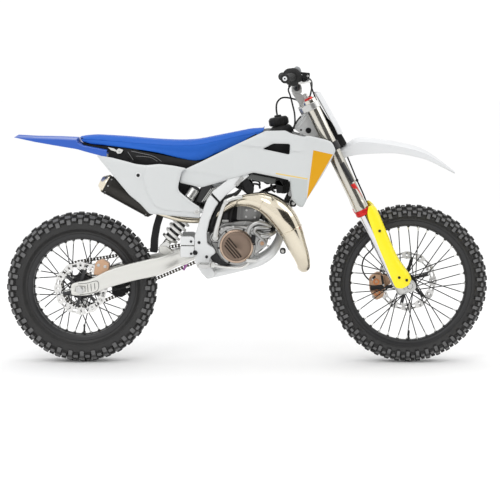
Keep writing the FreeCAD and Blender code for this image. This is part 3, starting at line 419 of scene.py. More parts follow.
# Its painted light colour is painted shade: a dark tone laid towards the bike's middle, where little light
# falls.
CAST = Finish("cast_alloy", (0.62, 0.62, 0.61), (0.17, 0.17, 0.165), 0.22, 0.46, metallic=0.9, grain=Grain.CAST,
              scale=900, bump=0.35, spread=0.6, dust=0.02, painted_light_color=(0.03, 0.03, 0.029))
MACHINED = Finish("machined_alloy", (0.70, 0.70, 0.68), (0.56, 0.56, 0.54), 0.22, 0.38, metallic=0.95,
                  grain=Grain.BRUSHED, scale=1800, bump=0.1)
BRONZE = Finish("bronze_cover", (0.215, 0.155, 0.118), (0.165, 0.117, 0.086), 0.34, 0.50, metallic=0.55,
                grain=Grain.CAST, scale=1600, bump=0.12)
BRAKE_BRONZE = Finish("caliper_bronze", (0.66, 0.42, 0.27), (0.36, 0.225, 0.145), 0.32, 0.5, metallic=0.65,
                      grain=Grain.CAST, scale=700, bump=0.2, spread=0.6)
NICKEL = Finish("plated_pipe", (0.76, 0.70, 0.575), (0.58, 0.50, 0.375), 0.08, 0.18, metallic=1.0, scale=200,
                bump=0.03, spread=0.45)
CAN = Finish("silencer_can", (0.034, 0.032, 0.028), (0.020, 0.019, 0.017), 0.36, 0.50, metallic=0.6,
             grain=Grain.BRUSHED, scale=1300, bump=0.1)
CAP = Finish("silencer_cap", (0.82, 0.76, 0.62), (0.70, 0.62, 0.48), 0.20, 0.32, metallic=0.95, scale=900)
FORK_SILVER = Finish("fork_silver", (0.76, 0.73, 0.65), (0.36, 0.345, 0.31), 0.10, 0.20, metallic=0.9,
                     grain=Grain.DRAWN, scale=110, bump=0.02, spread=0.75)
CHROME = Finish("hard_chrome", (0.80, 0.80, 0.81), (0.55, 0.55, 0.56), 0.06, 0.14, metallic=1.0,
                grain=Grain.DRAWN, scale=140, bump=0.01, spread=0.5)
RED = Finish("red_anodised", (0.62, 0.015, 0.012), (0.48, 0.008, 0.007), 0.26, 0.38, metallic=0.35, scale=900)
STEEL = Finish("bright_steel", (0.62, 0.62, 0.61), (0.46, 0.46, 0.45), 0.20, 0.36, metallic=1.0,
               grain=Grain.BRUSHED, scale=1600, bump=0.1)
DISC_STEEL = Finish("disc_steel", (0.74, 0.735, 0.72), (0.58, 0.575, 0.56), 0.24, 0.36, metallic=0.9,
                    grain=Grain.BRUSHED, scale=1400, bump=0.08)
WIRE_BLACK = Finish("black_wire", (0.012, 0.012, 0.013), (0.02, 0.02, 0.021), 0.42, 0.55, scale=900, shine=0.3)
BLACK_METAL = Finish("black_metal", (0.012, 0.012, 0.013), (0.024, 0.024, 0.025), 0.30, 0.46, metallic=0.2,
                     scale=1200, bump=0.05, shine=0.4)
RIM_BLACK = Finish("rim_anodised", (0.030, 0.030, 0.031), (0.045, 0.045, 0.046), 0.30, 0.42, metallic=0.4,
                   scale=900, bump=0.04)
DARK_ALLOY = Finish("dark_anodised", (0.045, 0.045, 0.047), (0.075, 0.075, 0.075), 0.28, 0.44, metallic=0.7,
                    scale=1200, bump=0.08)
# Its painted light colour paints the knobs' upper faces lighter: a painted highlight, with some scuffing.
TYRE = Finish("tyre_rubber", (0.010, 0.010, 0.0105), (0.024, 0.024, 0.025), 0.42, 0.62, grain=Grain.CAST,
              scale=700, bump=0.25, depth=0.0007, dust=0.03, painted_light_color=(0.11, 0.11, 0.112))
RUBBER = Finish("soft_rubber", (0.012, 0.012, 0.012), (0.022, 0.022, 0.022), 0.50, 0.70, scale=1500,
                bump=0.2, shine=0.35)
FOAM = Finish("pad_cover", (0.23, 0.24, 0.25), (0.17, 0.18, 0.19), 0.55, 0.75, grain=Grain.GRIP,
              scale=700, bump=0.3)
CHAIN = Finish("chain_steel", (0.16, 0.145, 0.12), (0.05, 0.045, 0.04), 0.28, 0.5, metallic=0.9,
               scale=1200, spread=0.6)
SEAL_ORANGE = Finish("caliper_seal", (0.72, 0.24, 0.07), (0.55, 0.18, 0.06), 0.32, 0.5, scale=900)
PURPLE = Finish("purple_guard", (0.42, 0.13, 0.42), (0.36, 0.10, 0.36), 0.35, 0.5, scale=900)
SPRING_WHITE = Finish("spring_paint", (0.88, 0.88, 0.86), (0.80, 0.80, 0.78), 0.25, 0.38, coat=0.4, scale=900)
CLAMP_ALLOY = Finish("clamp_alloy", (0.60, 0.60, 0.585), (0.44, 0.44, 0.43), 0.26, 0.40, metallic=0.85,
                     scale=1200, bump=0.08)
GROOVE = Finish("cover_groove", (0.045, 0.030, 0.022), (0.03, 0.02, 0.015), 0.5, 0.6, metallic=0.3, scale=1600)
COVER_RIM = Finish("cover_rim", (0.50, 0.38, 0.295), (0.36, 0.26, 0.195), 0.12, 0.22, metallic=0.95,
                   scale=900, bump=0.05)
RADIATOR = Finish("radiator_alloy", (0.30, 0.30, 0.30), (0.20, 0.20, 0.20), 0.4, 0.6, metallic=0.7,
                  grain=Grain.BRUSHED, scale=2200, bump=0.3)
FORK_SLEEVE = Finish("fork_field", (0.02, 0.02, 0.021), (0.03, 0.03, 0.031), 0.30, 0.42, scale=900)
TANK_FACE = Finish("tank_face", (0.075, 0.078, 0.075), (0.05, 0.053, 0.05), 0.36, 0.5, scale=1000, bump=0.1)
FLOOR = Finish("studio_floor", (0.94, 0.94, 0.94), (0.92, 0.92, 0.92), 0.8, 0.95, scale=40,
               bump=0.01, shine=0.1)


# Meshes


def smooth_path(points: Sequence[Sequence[float]], per_span: int = 6) -> list[tuple[float, ...]]:
    """Runs a smooth curve through points of any dimension.

    Args:
        points: the points to pass through; extra values, such as a radius, are carried along.
        per_span: steps between two points.

    Returns:
        The curve's points, first and last included.
    """
    pts = [tuple(points[0])] + [tuple(p) for p in points] + [tuple(points[-1])]
    out = []
    for i in range(1, len(pts) - 2):
        a, b, c, d = pts[i - 1], pts[i], pts[i + 1], pts[i + 2]
        for k in range(per_span):
            t = k / per_span
            out.append(tuple(0.5 * (2 * q + (r - p) * t + (2 * p - 5 * q + 4 * r - s) * t * t
                                    + (3 * q - p - 3 * r + s) * t ** 3) for p, q, r, s in zip(a, b, c, d)))
    out.append(pts[-2])
    return out


def rounded(outline: Sequence[Flat], radius: float, steps: int = 4) -> list[Flat]:
    """Rounds the corners of a closed outline.

    Args:
        outline: the corners, in order.
        radius: how far from each corner the curve starts, at most 0.45 of the shorter side.
        steps: pieces in each corner.

    Returns:
        The rounded outline.
    """
    made: list[Flat] = []
    count = len(outline)
    for i, corner in enumerate(outline):
        before, after = Vector(outline[i - 1]), Vector(outline[(i + 1) % count])
        here = Vector(corner)
        one, two = before - here, after - here
        reach = min(radius, one.length * 0.45, two.length * 0.45)
        start, end = here + one.normalized() * reach, here + two.normalized() * reach
        for k in range(steps + 1):
            t = k / steps
            p = start.lerp(here, t).lerp(here.lerp(end, t), t)
            made.append((p.x, p.y))
    return made


def inside(point: Flat, outline: Sequence[Flat]) -> bool:
    """Says whether a point lies in an outline."""
    x, z = point
    hit = False
    for (x0, z0), (x1, z1) in zip(outline, list(outline[1:]) + [outline[0]]):
        if (z0 > z) != (z1 > z) and x < (x1 - x0) * (z - z0) / (z1 - z0) + x0:
            hit = not hit
    return hit


def edge_distance(point: Flat, outline: Sequence[Flat]) -> float:
    """Gives the distance from a point to an outline."""
    p = Vector(point)
    best = 1e9
    for a, b in zip(outline, list(outline[1:]) + [outline[0]]):
        a, b = Vector(a), Vector(b)
        span = b - a
        t = max(0.0, min(1.0, (p - a).dot(span) / max(span.length_squared, 1e-9)))
        best = min(best, (p - a - span * t).length)
    return best


def step_up(value: float, low: float, high: float) -> float:
    """Rises smoothly from 0 at low to 1 at high."""
    t = max(0.0, min(1.0, (value - low) / (high - low)))
    return t * t * (3 - 2 * t)


def along(stations: Sequence[Sequence[float]], x: float) -> tuple[float, ...]:
    """Reads the values at x from stations (x, value, ...) joined by smooth spans."""
    if x <= stations[0][0]:
        return tuple(stations[0][1:])
    for a, b in zip(stations, stations[1:]):
        if x <= b[0]:
            t = (x - a[0]) / (b[0] - a[0])
            return tuple(p + (q - p) * t for p, q in zip(a[1:], b[1:]))
    return tuple(stations[-1][1:])


def even_turns(count: int) -> list[float]:
    """Gives count even angles round a circle, in radians."""
    return [2 * math.pi * k / count for k in range(count)]


def toothed(centre: Flat, teeth: int, profile: Sequence[Flat]) -> list[Flat]:
    """Gives a sprocket's side outline.

    Args:
        centre: the sprocket's middle.
        teeth: how many teeth.
        profile: one tooth as (share of the pitch, radius) pairs.

    Returns:
        The outline.
    """
    outline = []
    for i in range(teeth):
        for part, size in profile:
            t = 2 * math.pi * (i + part) / teeth
            outline.append((centre[0] + size * math.sin(t), centre[1] + size * math.cos(t)))
    return outline


def in_scene(name: str, data: bpy.types.ID) -> bpy.types.Object:
    """Makes an object of a mesh, curve, lamp or camera and puts it in the scene."""
    made = bpy.data.objects.new(name, data)
    bpy.context.scene.collection.objects.link(made)
    return made


def meshed(name: str, bm: bmesh.types.BMesh) -> bpy.types.Mesh:
    """Turns a finished bmesh into a mesh and frees it."""
    mesh = bpy.data.meshes.new(name)
    bm.to_mesh(mesh)
    bm.free()
    return mesh


def twinned(bm: bmesh.types.BMesh) -> None:
    """Adds the twin of all that a bmesh holds, on the bike's other side."""
    copy = bmesh.ops.duplicate(bm, geom=bm.verts[:] + bm.edges[:] + bm.faces[:])["geom"]
    for item in copy:
        if isinstance(item, bmesh.types.BMVert):
            item.co.y = -item.co.y


class Sculpt:
    """Collects the surfaces of one piece, in design millimetres, and makes its object."""

    def __init__(self, name: str) -> None:
        """Starts an empty piece."""
        self.name = name
        self.bm = bmesh.new()

    def vert(self, point: Sequence[float]) -> bmesh.types.BMVert:
        """Adds a vertex at a design point."""
        return self.bm.verts.new(at(*point))

    def loft(self, rings: Sequence[Sequence[Point]], closed: bool = True, caps: bool = True) -> "Sculpt":
        """Skins rings of equal count.

        Args:
            rings: the cross-sections, in order.
            closed: whether each ring closes on itself.
            caps: whether the first and last rings are filled.

        Returns:
            This piece.
        """
        rows = [[self.vert(p) for p in ring] for ring in rings]
        count = len(rows[0])
        for a, b in zip(rows, rows[1:]):
            for i in range(count if closed else count - 1):
                j = (i + 1) % count
                self.bm.faces.new((a[i], a[j], b[j], b[i]))
        if caps and closed:
            self.bm.faces.new(rows[0][::-1])
            self.bm.faces.new(rows[-1])
        return self

    def tube(self, points: Sequence[Sequence[float]], radius: float | Sequence[float], sides: int = 20,
             per_span: int = 6, flat: float = 1.0) -> "Sculpt":
        """Adds a round tube along a smooth path.

        Args:
            points: the path.
            radius: one radius, or one a point.
            sides: sides of the section.
            per_span: steps between two points; 1 keeps straight runs.
            flat: the section's height as a share of its width.

        Returns:
            This piece.
        """
        radii = list(radius) if isinstance(radius, (list, tuple)) else [radius] * len(points)
        path = [(*p, r) for p, r in zip(points, radii)]
        path = smooth_path(path, per_span) if per_span > 1 else path
        places = [Vector(p[:3]) for p in path]
        up = Vector((0, 1, 0))
        rings = []
        for i, place in enumerate(places):
            ahead = (places[min(i + 1, len(places) - 1)] - places[max(i - 1, 0)]).normalized()
            if abs(ahead.dot(up)) > 0.98:
                up = Vector((1, 0, 0)) if abs(ahead.x) < 0.9 else Vector((0, 0, 1))
            up = (up - ahead * up.dot(ahead)).normalized()
            side = ahead.cross(up)
            rings.append([tuple(place + (up * math.cos(t) + side * math.sin(t) * flat) * path[i][3])
                          for t in even_turns(sides)])
        return self.loft(rings)

    def lathe(self, profile: Sequence[Flat], start: Sequence[float], axis: Sequence[float], steps: int = 48,
              closed: bool = False) -> "Sculpt":
        """Turns an (r, distance along the axis) profile round an axis.

        Args:
            profile: the outline; points with r of 0 become poles.
            start: the point where the distance is 0.
            axis: the axis's direction.
            steps: steps round the axis.
            closed: whether the profile closes on itself.

        Returns:
            This piece.
        """
        ahead = Vector(axis).normalized()
        side = ahead.orthogonal().normalized()
        other = ahead.cross(side)
        origin = Vector(start)
        rows = []
        for r, s in profile:
            if r < 1e-6:
                rows.append([self.vert(origin + ahead * s)])
                continue
            rows.append([self.vert(origin + ahead * s + (side * math.cos(t) + other * math.sin(t)) * r)
                         for t in even_turns(steps)])
        pairs = list(zip(rows, rows[1:])) + ([(rows[-1], rows[0])] if closed else [])
        for a, b in pairs:
            for i in range(steps):
                j = (i + 1) % steps
                ring = [a[i % len(a)], a[j % len(a)], b[j % len(b)], b[i % len(b)]]
                self.bm.faces.new(list(dict.fromkeys(ring)))
        return self

    def rod(self, start: Sequence[float], end: Sequence[float], radius: float, sides: int = 24,
            edge: float = 0.8) -> "Sculpt":
        """Adds a round bar with chamfered ends."""
        length = (Vector(end) - Vector(start)).length
        edge = min(edge, radius * 0.5, length * 0.3)
        profile = [(0, 0), (radius - edge, 0), (radius, edge), (radius, length - edge),
                   (radius - edge, length), (0, length)]
        return self.lathe(profile, start, Vector(end) - Vector(start), sides)

    def slab(self, outline: Sequence[Flat], y0: float, y1: float, corner: float = 0.0) -> "Sculpt":
        """Adds a side outline (x, z), rounded by corner, extruded from y0 to y1."""
        outline = rounded(outline, corner) if corner else outline
        near = [self.vert((x, y0, z)) for x, z in outline]
        far = [self.vert((x, y1, z)) for x, z in outline]
        self.bm.faces.new(near)
        self.bm.faces.new(far[::-1])
        for i in range(len(outline)):
            j = (i + 1) % len(outline)
            self.bm.faces.new((near[j], near[i], far[i], far[j]))
        return self

    def plate(self, outline: Sequence[Flat], thick: float, depth: Callable[[float, float], float],
              spacing: float = 9.0, holes: Sequence[Sequence[Flat]] = (), roll: float = 0.0,
              roll_width: float = 8.0) -> "Sculpt":
        """Adds a curved panel: a side outline filled with small faces and laid on a surface.

        Args:
            outline: the side outline (x, z).
            thick: the wall's thickness.
            depth: the outer surface's y at (x, z), positive to the left.
            spacing: the distance between inner points.
            holes: outlines of openings.
            roll: how far the edge turns in.
            roll_width: how wide the turned edge is.

        Returns:
            This piece.
        """
        loops = [list(outline)] + [list(h) for h in holes]
        flat_points: list[Flat] = []
        edges = []
        for loop in loops:
            first = len(flat_points)
            flat_points += loop
            edges += [(first + i, first + (i + 1) % len(loop)) for i in range(len(loop))]
        xs, zs = [p[0] for p in outline], [p[1] for p in outline]
        rows = int((max(zs) - min(zs)) / spacing) + 1
        cols = int((max(xs) - min(xs)) / spacing) + 1
        for i in range(cols):
            for j in range(rows):
                p = (min(xs) + (i + 0.5 * (j % 2) + 0.3) * spacing, min(zs) + (j + 0.4) * spacing * 0.9)
                if inside(p, outline) and not any(inside(p, h) for h in loops[1:]):
                    if min(edge_distance(p, loop) for loop in loops) > spacing * 0.45:
                        flat_points.append(p)
        made = delaunay_2d_cdt([Vector(p) for p in flat_points], edges, [], 0, 1e-6)
        places, faces = made[0], made[2]
        outer, inner = [], []
        for p in places:
            x, z = p.x, p.y
            border = min(edge_distance((x, z), loop) for loop in loops)
            turn = roll * (1 - min(1.0, border / roll_width)) ** 2
            y = depth(x, z)
            sign = 1 if y >= 0 else -1
            outer.append(self.vert((x, y - sign * turn, z)))
            inner.append(self.vert((x, y - sign * (turn + thick), z)))
        kept = []
        for face in faces:
            centre = sum((places[i] for i in face), Vector((0, 0))) / len(face)
            flat_centre = (centre.x, centre.y)
            if inside(flat_centre, outline) and not any(inside(flat_centre, h) for h in loops[1:]):
                kept.append(face)
        count: dict[tuple[int, int], int] = {}
        for face in kept:
            self.bm.faces.new([outer[i] for i in face])
            self.bm.faces.new([inner[i] for i in reversed(face)])
            for a, b in zip(face, list(face[1:]) + [face[0]]):
                count[(a, b)] = count.get((a, b), 0) + 1
        for a, b in count:
            if (b, a) not in count:
                self.bm.faces.new((outer[b], outer[a], inner[a], inner[b]))
        return self

    def mirror(self) -> "Sculpt":
        """Adds the twin of all that is there, on the other side."""
        twinned(self.bm)
        return self

    def done(self, finish: Finish, bevel: float = 0.0, levels: int = 0,
             angle: float = SMOOTH_ANGLE) -> bpy.types.Object:
        """Makes the object.

        Args:
            finish: the piece's finish.
            bevel: width of the rounded edges, in millimetres.
            levels: levels of subdivision.
            angle: edges sharper than this stay sharp.

        Returns:
            The new object.
        """
        bmesh.ops.remove_doubles(self.bm, verts=self.bm.verts, dist=2e-6)
        bmesh.ops.recalc_face_normals(self.bm, faces=self.bm.faces)
        for edge in self.bm.edges:
            edge.smooth = edge.calc_face_angle(0.0) < angle
        for face in self.bm.faces:
            face.smooth = True
        made = in_scene(self.name, meshed(self.name, self.bm))
        made.data.materials.append(finish.material())
        if bevel:
            modifier = made.modifiers.new("edges", "BEVEL")
            modifier.width = bevel / 1000
            modifier.segments = 2
            modifier.limit_method = "ANGLE"
            modifier.angle_limit = EDGE_ANGLE
            modifier.harden_normals = False
        if levels:
            modifier = made.modifiers.new("rounding", "SUBSURF")
            modifier.levels = modifier.render_levels = levels
        return made


def baked(piece: bpy.types.Object) -> bpy.types.Object:
    """Turns a piece's modifiers into plain mesh."""
    graph = bpy.context.evaluated_depsgraph_get()
    mesh = bpy.data.meshes.new_from_object(piece.evaluated_get(graph))
    piece.modifiers.clear()
    piece.data = mesh
    return piece


def joined(name: str, pieces: Sequence[bpy.types.Object]) -> bpy.types.Object:
    """Joins pieces into the first one and names it."""
    pieces = [baked(p) for p in pieces]
    with bpy.context.temp_override(active_object=pieces[0], selected_editable_objects=pieces, object=pieces[0],
            selected_objects=pieces):
        bpy.ops.object.join()
    pieces[0].name = name
    pieces[0].data.name = name
    return pieces[0]


def cut(piece: bpy.types.Object, tools: Sequence[bpy.types.Object]) -> bpy.types.Object:
    """Cuts tools out of a piece and removes them."""
    for tool in tools:
        modifier = piece.modifiers.new("cut", "BOOLEAN")
        modifier.operation = "DIFFERENCE"
        modifier.solver = "EXACT"
        modifier.material_mode = "TRANSFER"
        modifier.object = tool
        baked(piece)
        bpy.data.objects.remove(tool)
    return piece


def plumped(piece: bpy.types.Object, voxel: float, pressure: float, cap: float) -> bpy.types.Object:
    """Swells a padded piece as a sewn cover swells over its foam, by a short cloth run.

    The cover first sinks by COVER_SINK of cap. Faces that look down past BASE_NORMAL are held.

    Args:
        piece: the closed form, in place.
        voxel: the even mesh's cell, in metres.
        pressure: the push from inside.
        cap: the furthest that a point may move, in metres.

    Returns:
        The piece, with the swollen mesh.
    """
    even = piece.modifiers.new("even", "REMESH")
    even.mode = "VOXEL"
    even.voxel_size = voxel
    even.use_smooth_shade = True
    baked(piece)
    for vertex in piece.data.vertices:
        vertex.co -= vertex.normal * cap * COVER_SINK
    rest = [vertex.co.copy() for vertex in piece.data.vertices]
    held = piece.vertex_groups.new(name="base")
    held.add([v.index for v in piece.data.vertices if v.normal.z < BASE_NORMAL], 1.0, "REPLACE")
    cloth = piece.modifiers.new("cover", "CLOTH")
    cloth.settings.vertex_group_mass = "base"
    cloth.settings.use_pressure = True
    cloth.settings.uniform_pressure_force = pressure
    cloth.settings.effector_weights.gravity = 0.0
    cloth.settings.mass = 0.4
    cloth.point_cache.frame_start, cloth.point_cache.frame_end = 1, CLOTH_FRAMES
    scene = bpy.context.scene
    for frame in range(1, CLOTH_FRAMES + 1):
        scene.frame_set(frame)
    baked(piece)
    for vertex, start in zip(piece.data.vertices, rest):
        move = vertex.co - start
        if move.length > cap:
            vertex.co = start + move * (cap / move.length)
    scene.frame_set(1)
    piece.vertex_groups.clear()
    fine = piece.modifiers.new("fine", "SUBSURF")
    fine.levels = fine.render_levels = 1
    return baked(piece)


# Geometry Nodes


class Growth(Nodes):
    """A Geometry Nodes tree under way: it starts with named inputs and ends in dressed, plain mesh."""

    def __init__(self, name: str, inputs: Sequence[tuple[str, str]]) -> None:
        """Starts the tree with a geometry, the given inputs and a material."""
        super().__init__(bpy.data.node_groups.new(name, "GeometryNodeTree"))
        make = self.tree.interface.new_socket
        for label, kind in (("Geometry", GEOMETRY), *inputs, ("Material", "NodeSocketMaterial")):
            make(name=label, in_out="INPUT", socket_type=kind)
        make(name="Geometry", in_out="OUTPUT", socket_type=GEOMETRY)
        self.start, self.end = self.add("NodeGroupInput"), self.add("NodeGroupOutput")

    def feed(self, label: str, node: bpy.types.Node, *sockets: str) -> None:
        """Joins one of the tree's named inputs to sockets of a node."""
        for socket in sockets:
            self.link(self.start.outputs[label], node.inputs[socket])

    def finished(self, shape: bpy.types.NodeSocket) -> bpy.types.NodeTree:
        """Makes the shape real, sets the material on it and ends the tree."""
        real = self.add("GeometryNodeRealizeInstances")
        self.link(shape, real.inputs[0])
        dress = self.add("GeometryNodeSetMaterial")
        self.link(real.outputs[0], dress.inputs["Geometry"])
        self.feed("Material", dress, "Material")
        self.link(dress.outputs[0], self.end.inputs[0])
        return self.tree


def ring_tree() -> bpy.types.NodeTree:
    """Gives the tree that sets copies of a piece evenly round the Y axis through a centre.

    Returns:
        The tree, built on first use.
    """
    if "ring_of_copies" in bpy.data.node_groups:
        return bpy.data.node_groups["ring_of_copies"]
    tree = Growth("ring_of_copies", [("Count", INTEGER), ("Centre", VECTOR), ("Start", FLOAT)])
    line = tree.add("GeometryNodeMeshLine", mode="OFFSET")
    line.inputs["Offset"].default_value = (0, 0, 0)
    tree.feed("Count", line, "Count")
    tree.feed("Centre", line, "Start Location")
    index = tree.add("GeometryNodeInputIndex")
    turn = tree.math("DIVIDE", 2 * math.pi, tree.start.outputs["Count"])
    angle = tree.math("MULTIPLY_ADD", index.outputs[0], turn, tree.start.outputs["Start"])
    combine = tree.add("ShaderNodeCombineXYZ")
    tree.link(angle, combine.inputs["Y"])
    shift = tree.add("ShaderNodeVectorMath", operation="SCALE")
    shift.inputs["Scale"].default_value = -1.0
    tree.link(tree.start.outputs["Centre"], shift.inputs[0])
    moved = tree.add("GeometryNodeTransform")
    tree.feed("Geometry", moved, "Geometry")
    tree.link(shift.outputs[0], moved.inputs["Translation"])
    placed = tree.add("GeometryNodeInstanceOnPoints")
    tree.link(line.outputs[0], placed.inputs["Points"])
    tree.link(moved.outputs[0], placed.inputs["Instance"])
    tree.link(combine.outputs[0], placed.inputs["Rotation"])
    return tree.finished(placed.outputs[0])


def path_tree() -> bpy.types.NodeTree:
    """Gives the tree that sets copies of a piece along a closed path, every second place.

    Returns:
        The tree, built on first use.
    """
    if "copies_on_path" in bpy.data.node_groups:
        return bpy.data.node_groups["copies_on_path"]
    tree = Growth("copies_on_path", [("Path", "NodeSocketObject"), ("Count", INTEGER), ("Parity", INTEGER)])
    source = tree.add("GeometryNodeObjectInfo", transform_space="RELATIVE")
    tree.feed("Path", source, "Object")
    points = tree.add("GeometryNodeCurveToPoints", mode="COUNT")
    tree.link(source.outputs["Geometry"], points.inputs["Curve"])
    tree.feed("Count", points, "Count")
    index = tree.add("GeometryNodeInputIndex")
    odd = tree.math("MODULO", index.outputs[0], 2.0)
    chosen = tree.math("COMPARE", odd, tree.start.outputs["Parity"], 0.1)
    placed = tree.add("GeometryNodeInstanceOnPoints")
    tree.link(points.outputs["Points"], placed.inputs["Points"])
    tree.link(points.outputs["Rotation"], placed.inputs["Rotation"])
    tree.link(chosen, placed.inputs["Selection"])
    tree.feed("Geometry", placed, "Instance")
    return tree.finished(placed.outputs[0])


def spring_tree() -> bpy.types.NodeTree:
    """Gives the tree of a coil spring along Z.

    Returns:
        The tree, built on first use.
    """
    if "coil_spring" in bpy.data.node_groups:
        return bpy.data.node_groups["coil_spring"]
    tree = Growth("coil_spring", [(label, FLOAT) for label in ("Radius", "Height", "Turns", "Wire")])
    coil = tree.add("GeometryNodeCurveSpiral")
    coil.inputs["Resolution"].default_value = 36
    tree.feed("Turns", coil, "Rotations")
    tree.feed("Radius", coil, "Start Radius", "End Radius")
    tree.feed("Height", coil, "Height")
    section = tree.add("GeometryNodeCurvePrimitiveCircle")
    section.inputs["Resolution"].default_value = 14
    tree.feed("Wire", section, "Radius")
    body = tree.add("GeometryNodeCurveToMesh")
    body.inputs["Fill Caps"].default_value = True
    tree.link(coil.outputs[0], body.inputs["Curve"])
    tree.link(section.outputs[0], body.inputs["Profile Curve"])
    return tree.finished(body.outputs[0])


def row_tree() -> bpy.types.NodeTree:
    """Gives the tree that sets copies of a piece in a straight row.

    Returns:
        The tree, built on first use.
    """
    if "row_of_copies" in bpy.data.node_groups:
        return bpy.data.node_groups["row_of_copies"]
    tree = Growth("row_of_copies", [("Count", INTEGER), ("Step", VECTOR)])
    line = tree.add("GeometryNodeMeshLine", mode="OFFSET")
    tree.feed("Count", line, "Count")
    tree.feed("Step", line, "Offset")
    placed = tree.add("GeometryNodeInstanceOnPoints")
    tree.link(line.outputs[0], placed.inputs["Points"])
    tree.feed("Geometry", placed, "Instance")
    return tree.finished(placed.outputs[0])


def heads_tree() -> bpy.types.NodeTree:
    """Gives the tree that sets a head on each point, along its axis and at its size.

    Returns:
        The new tree.
    """
    tree = Growth("heads_on_points", [("Head", "NodeSocketObject")])
    source = tree.add("GeometryNodeObjectInfo")
    tree.feed("Head", source, "Object")
    axis = tree.add("GeometryNodeInputNamedAttribute", data_type="FLOAT_VECTOR")
    axis.inputs["Name"].default_value = "axis"
    size = tree.add("GeometryNodeInputNamedAttribute", data_type="FLOAT")
    size.inputs["Name"].default_value = "size"
    turn = tree.add("FunctionNodeAlignRotationToVector", axis="Z")
    tree.link(axis.outputs["Attribute"], turn.inputs["Vector"])
    placed = tree.add("GeometryNodeInstanceOnPoints")
    tree.feed("Geometry", placed, "Points")
    tree.link(source.outputs["Geometry"], placed.inputs["Instance"])
    tree.link(turn.outputs[0], placed.inputs["Rotation"])
    tree.link(size.outputs["Attribute"], placed.inputs["Scale"])
    return tree.finished(placed.outputs[0])


def grown(piece: bpy.types.Object, tree: bpy.types.NodeTree, finish: Finish,
          **values: object) -> bpy.types.Object:
    """Runs a tree on a piece and keeps the result as plain mesh.

    Args:
        piece: the piece whose mesh the tree takes.
        tree: the tree.
        finish: the finish that the tree sets.
        **values: the tree's inputs by name, with _ for a space.

    Returns:
        The piece, with the new mesh.
    """
    modifier = piece.modifiers.new("growth", "NODES")
    modifier.node_group = tree
    values["Material"] = finish.material()
    for item in tree.interface.items_tree:
        if item.item_type == "SOCKET" and item.in_out == "INPUT" and item.name in values:
            modifier[item.identifier] = values[item.name]
    piece.update_tag()
    bpy.context.view_layer.update()
    return baked(piece)


def ringed(piece: bpy.types.Object, finish: Finish, centre: Sequence[float], count: int,
           start: float = 0.0) -> bpy.types.Object:
    """Sets copies of a piece evenly round the Y axis through a design point.

    Args:
        piece: the first copy, in place.
        finish: the finish of all copies.
        centre: the axis's design point.
        count: how many copies.
        start: the first copy's turn, in degrees.

    Returns:
        The piece, now all copies.
    """
    place = at(centre[0], 0, centre[2])
    return grown(baked(piece), ring_tree(), finish, Count=count, Centre=(place.x, place.y, place.z),
                 Start=math.radians(start))


def settle(piece: bpy.types.Object, body: str, slot: str, *nodes: str) -> bpy.types.Object:
    """Lets a piece ride on a body and hides the nodes that it stands for."""
    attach(piece, body)
    if nodes:
        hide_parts(*nodes)
    LOG.info("%s: %d faces on %s", piece.name, len(piece.data.polygons), body)
    return piece


# Wheels


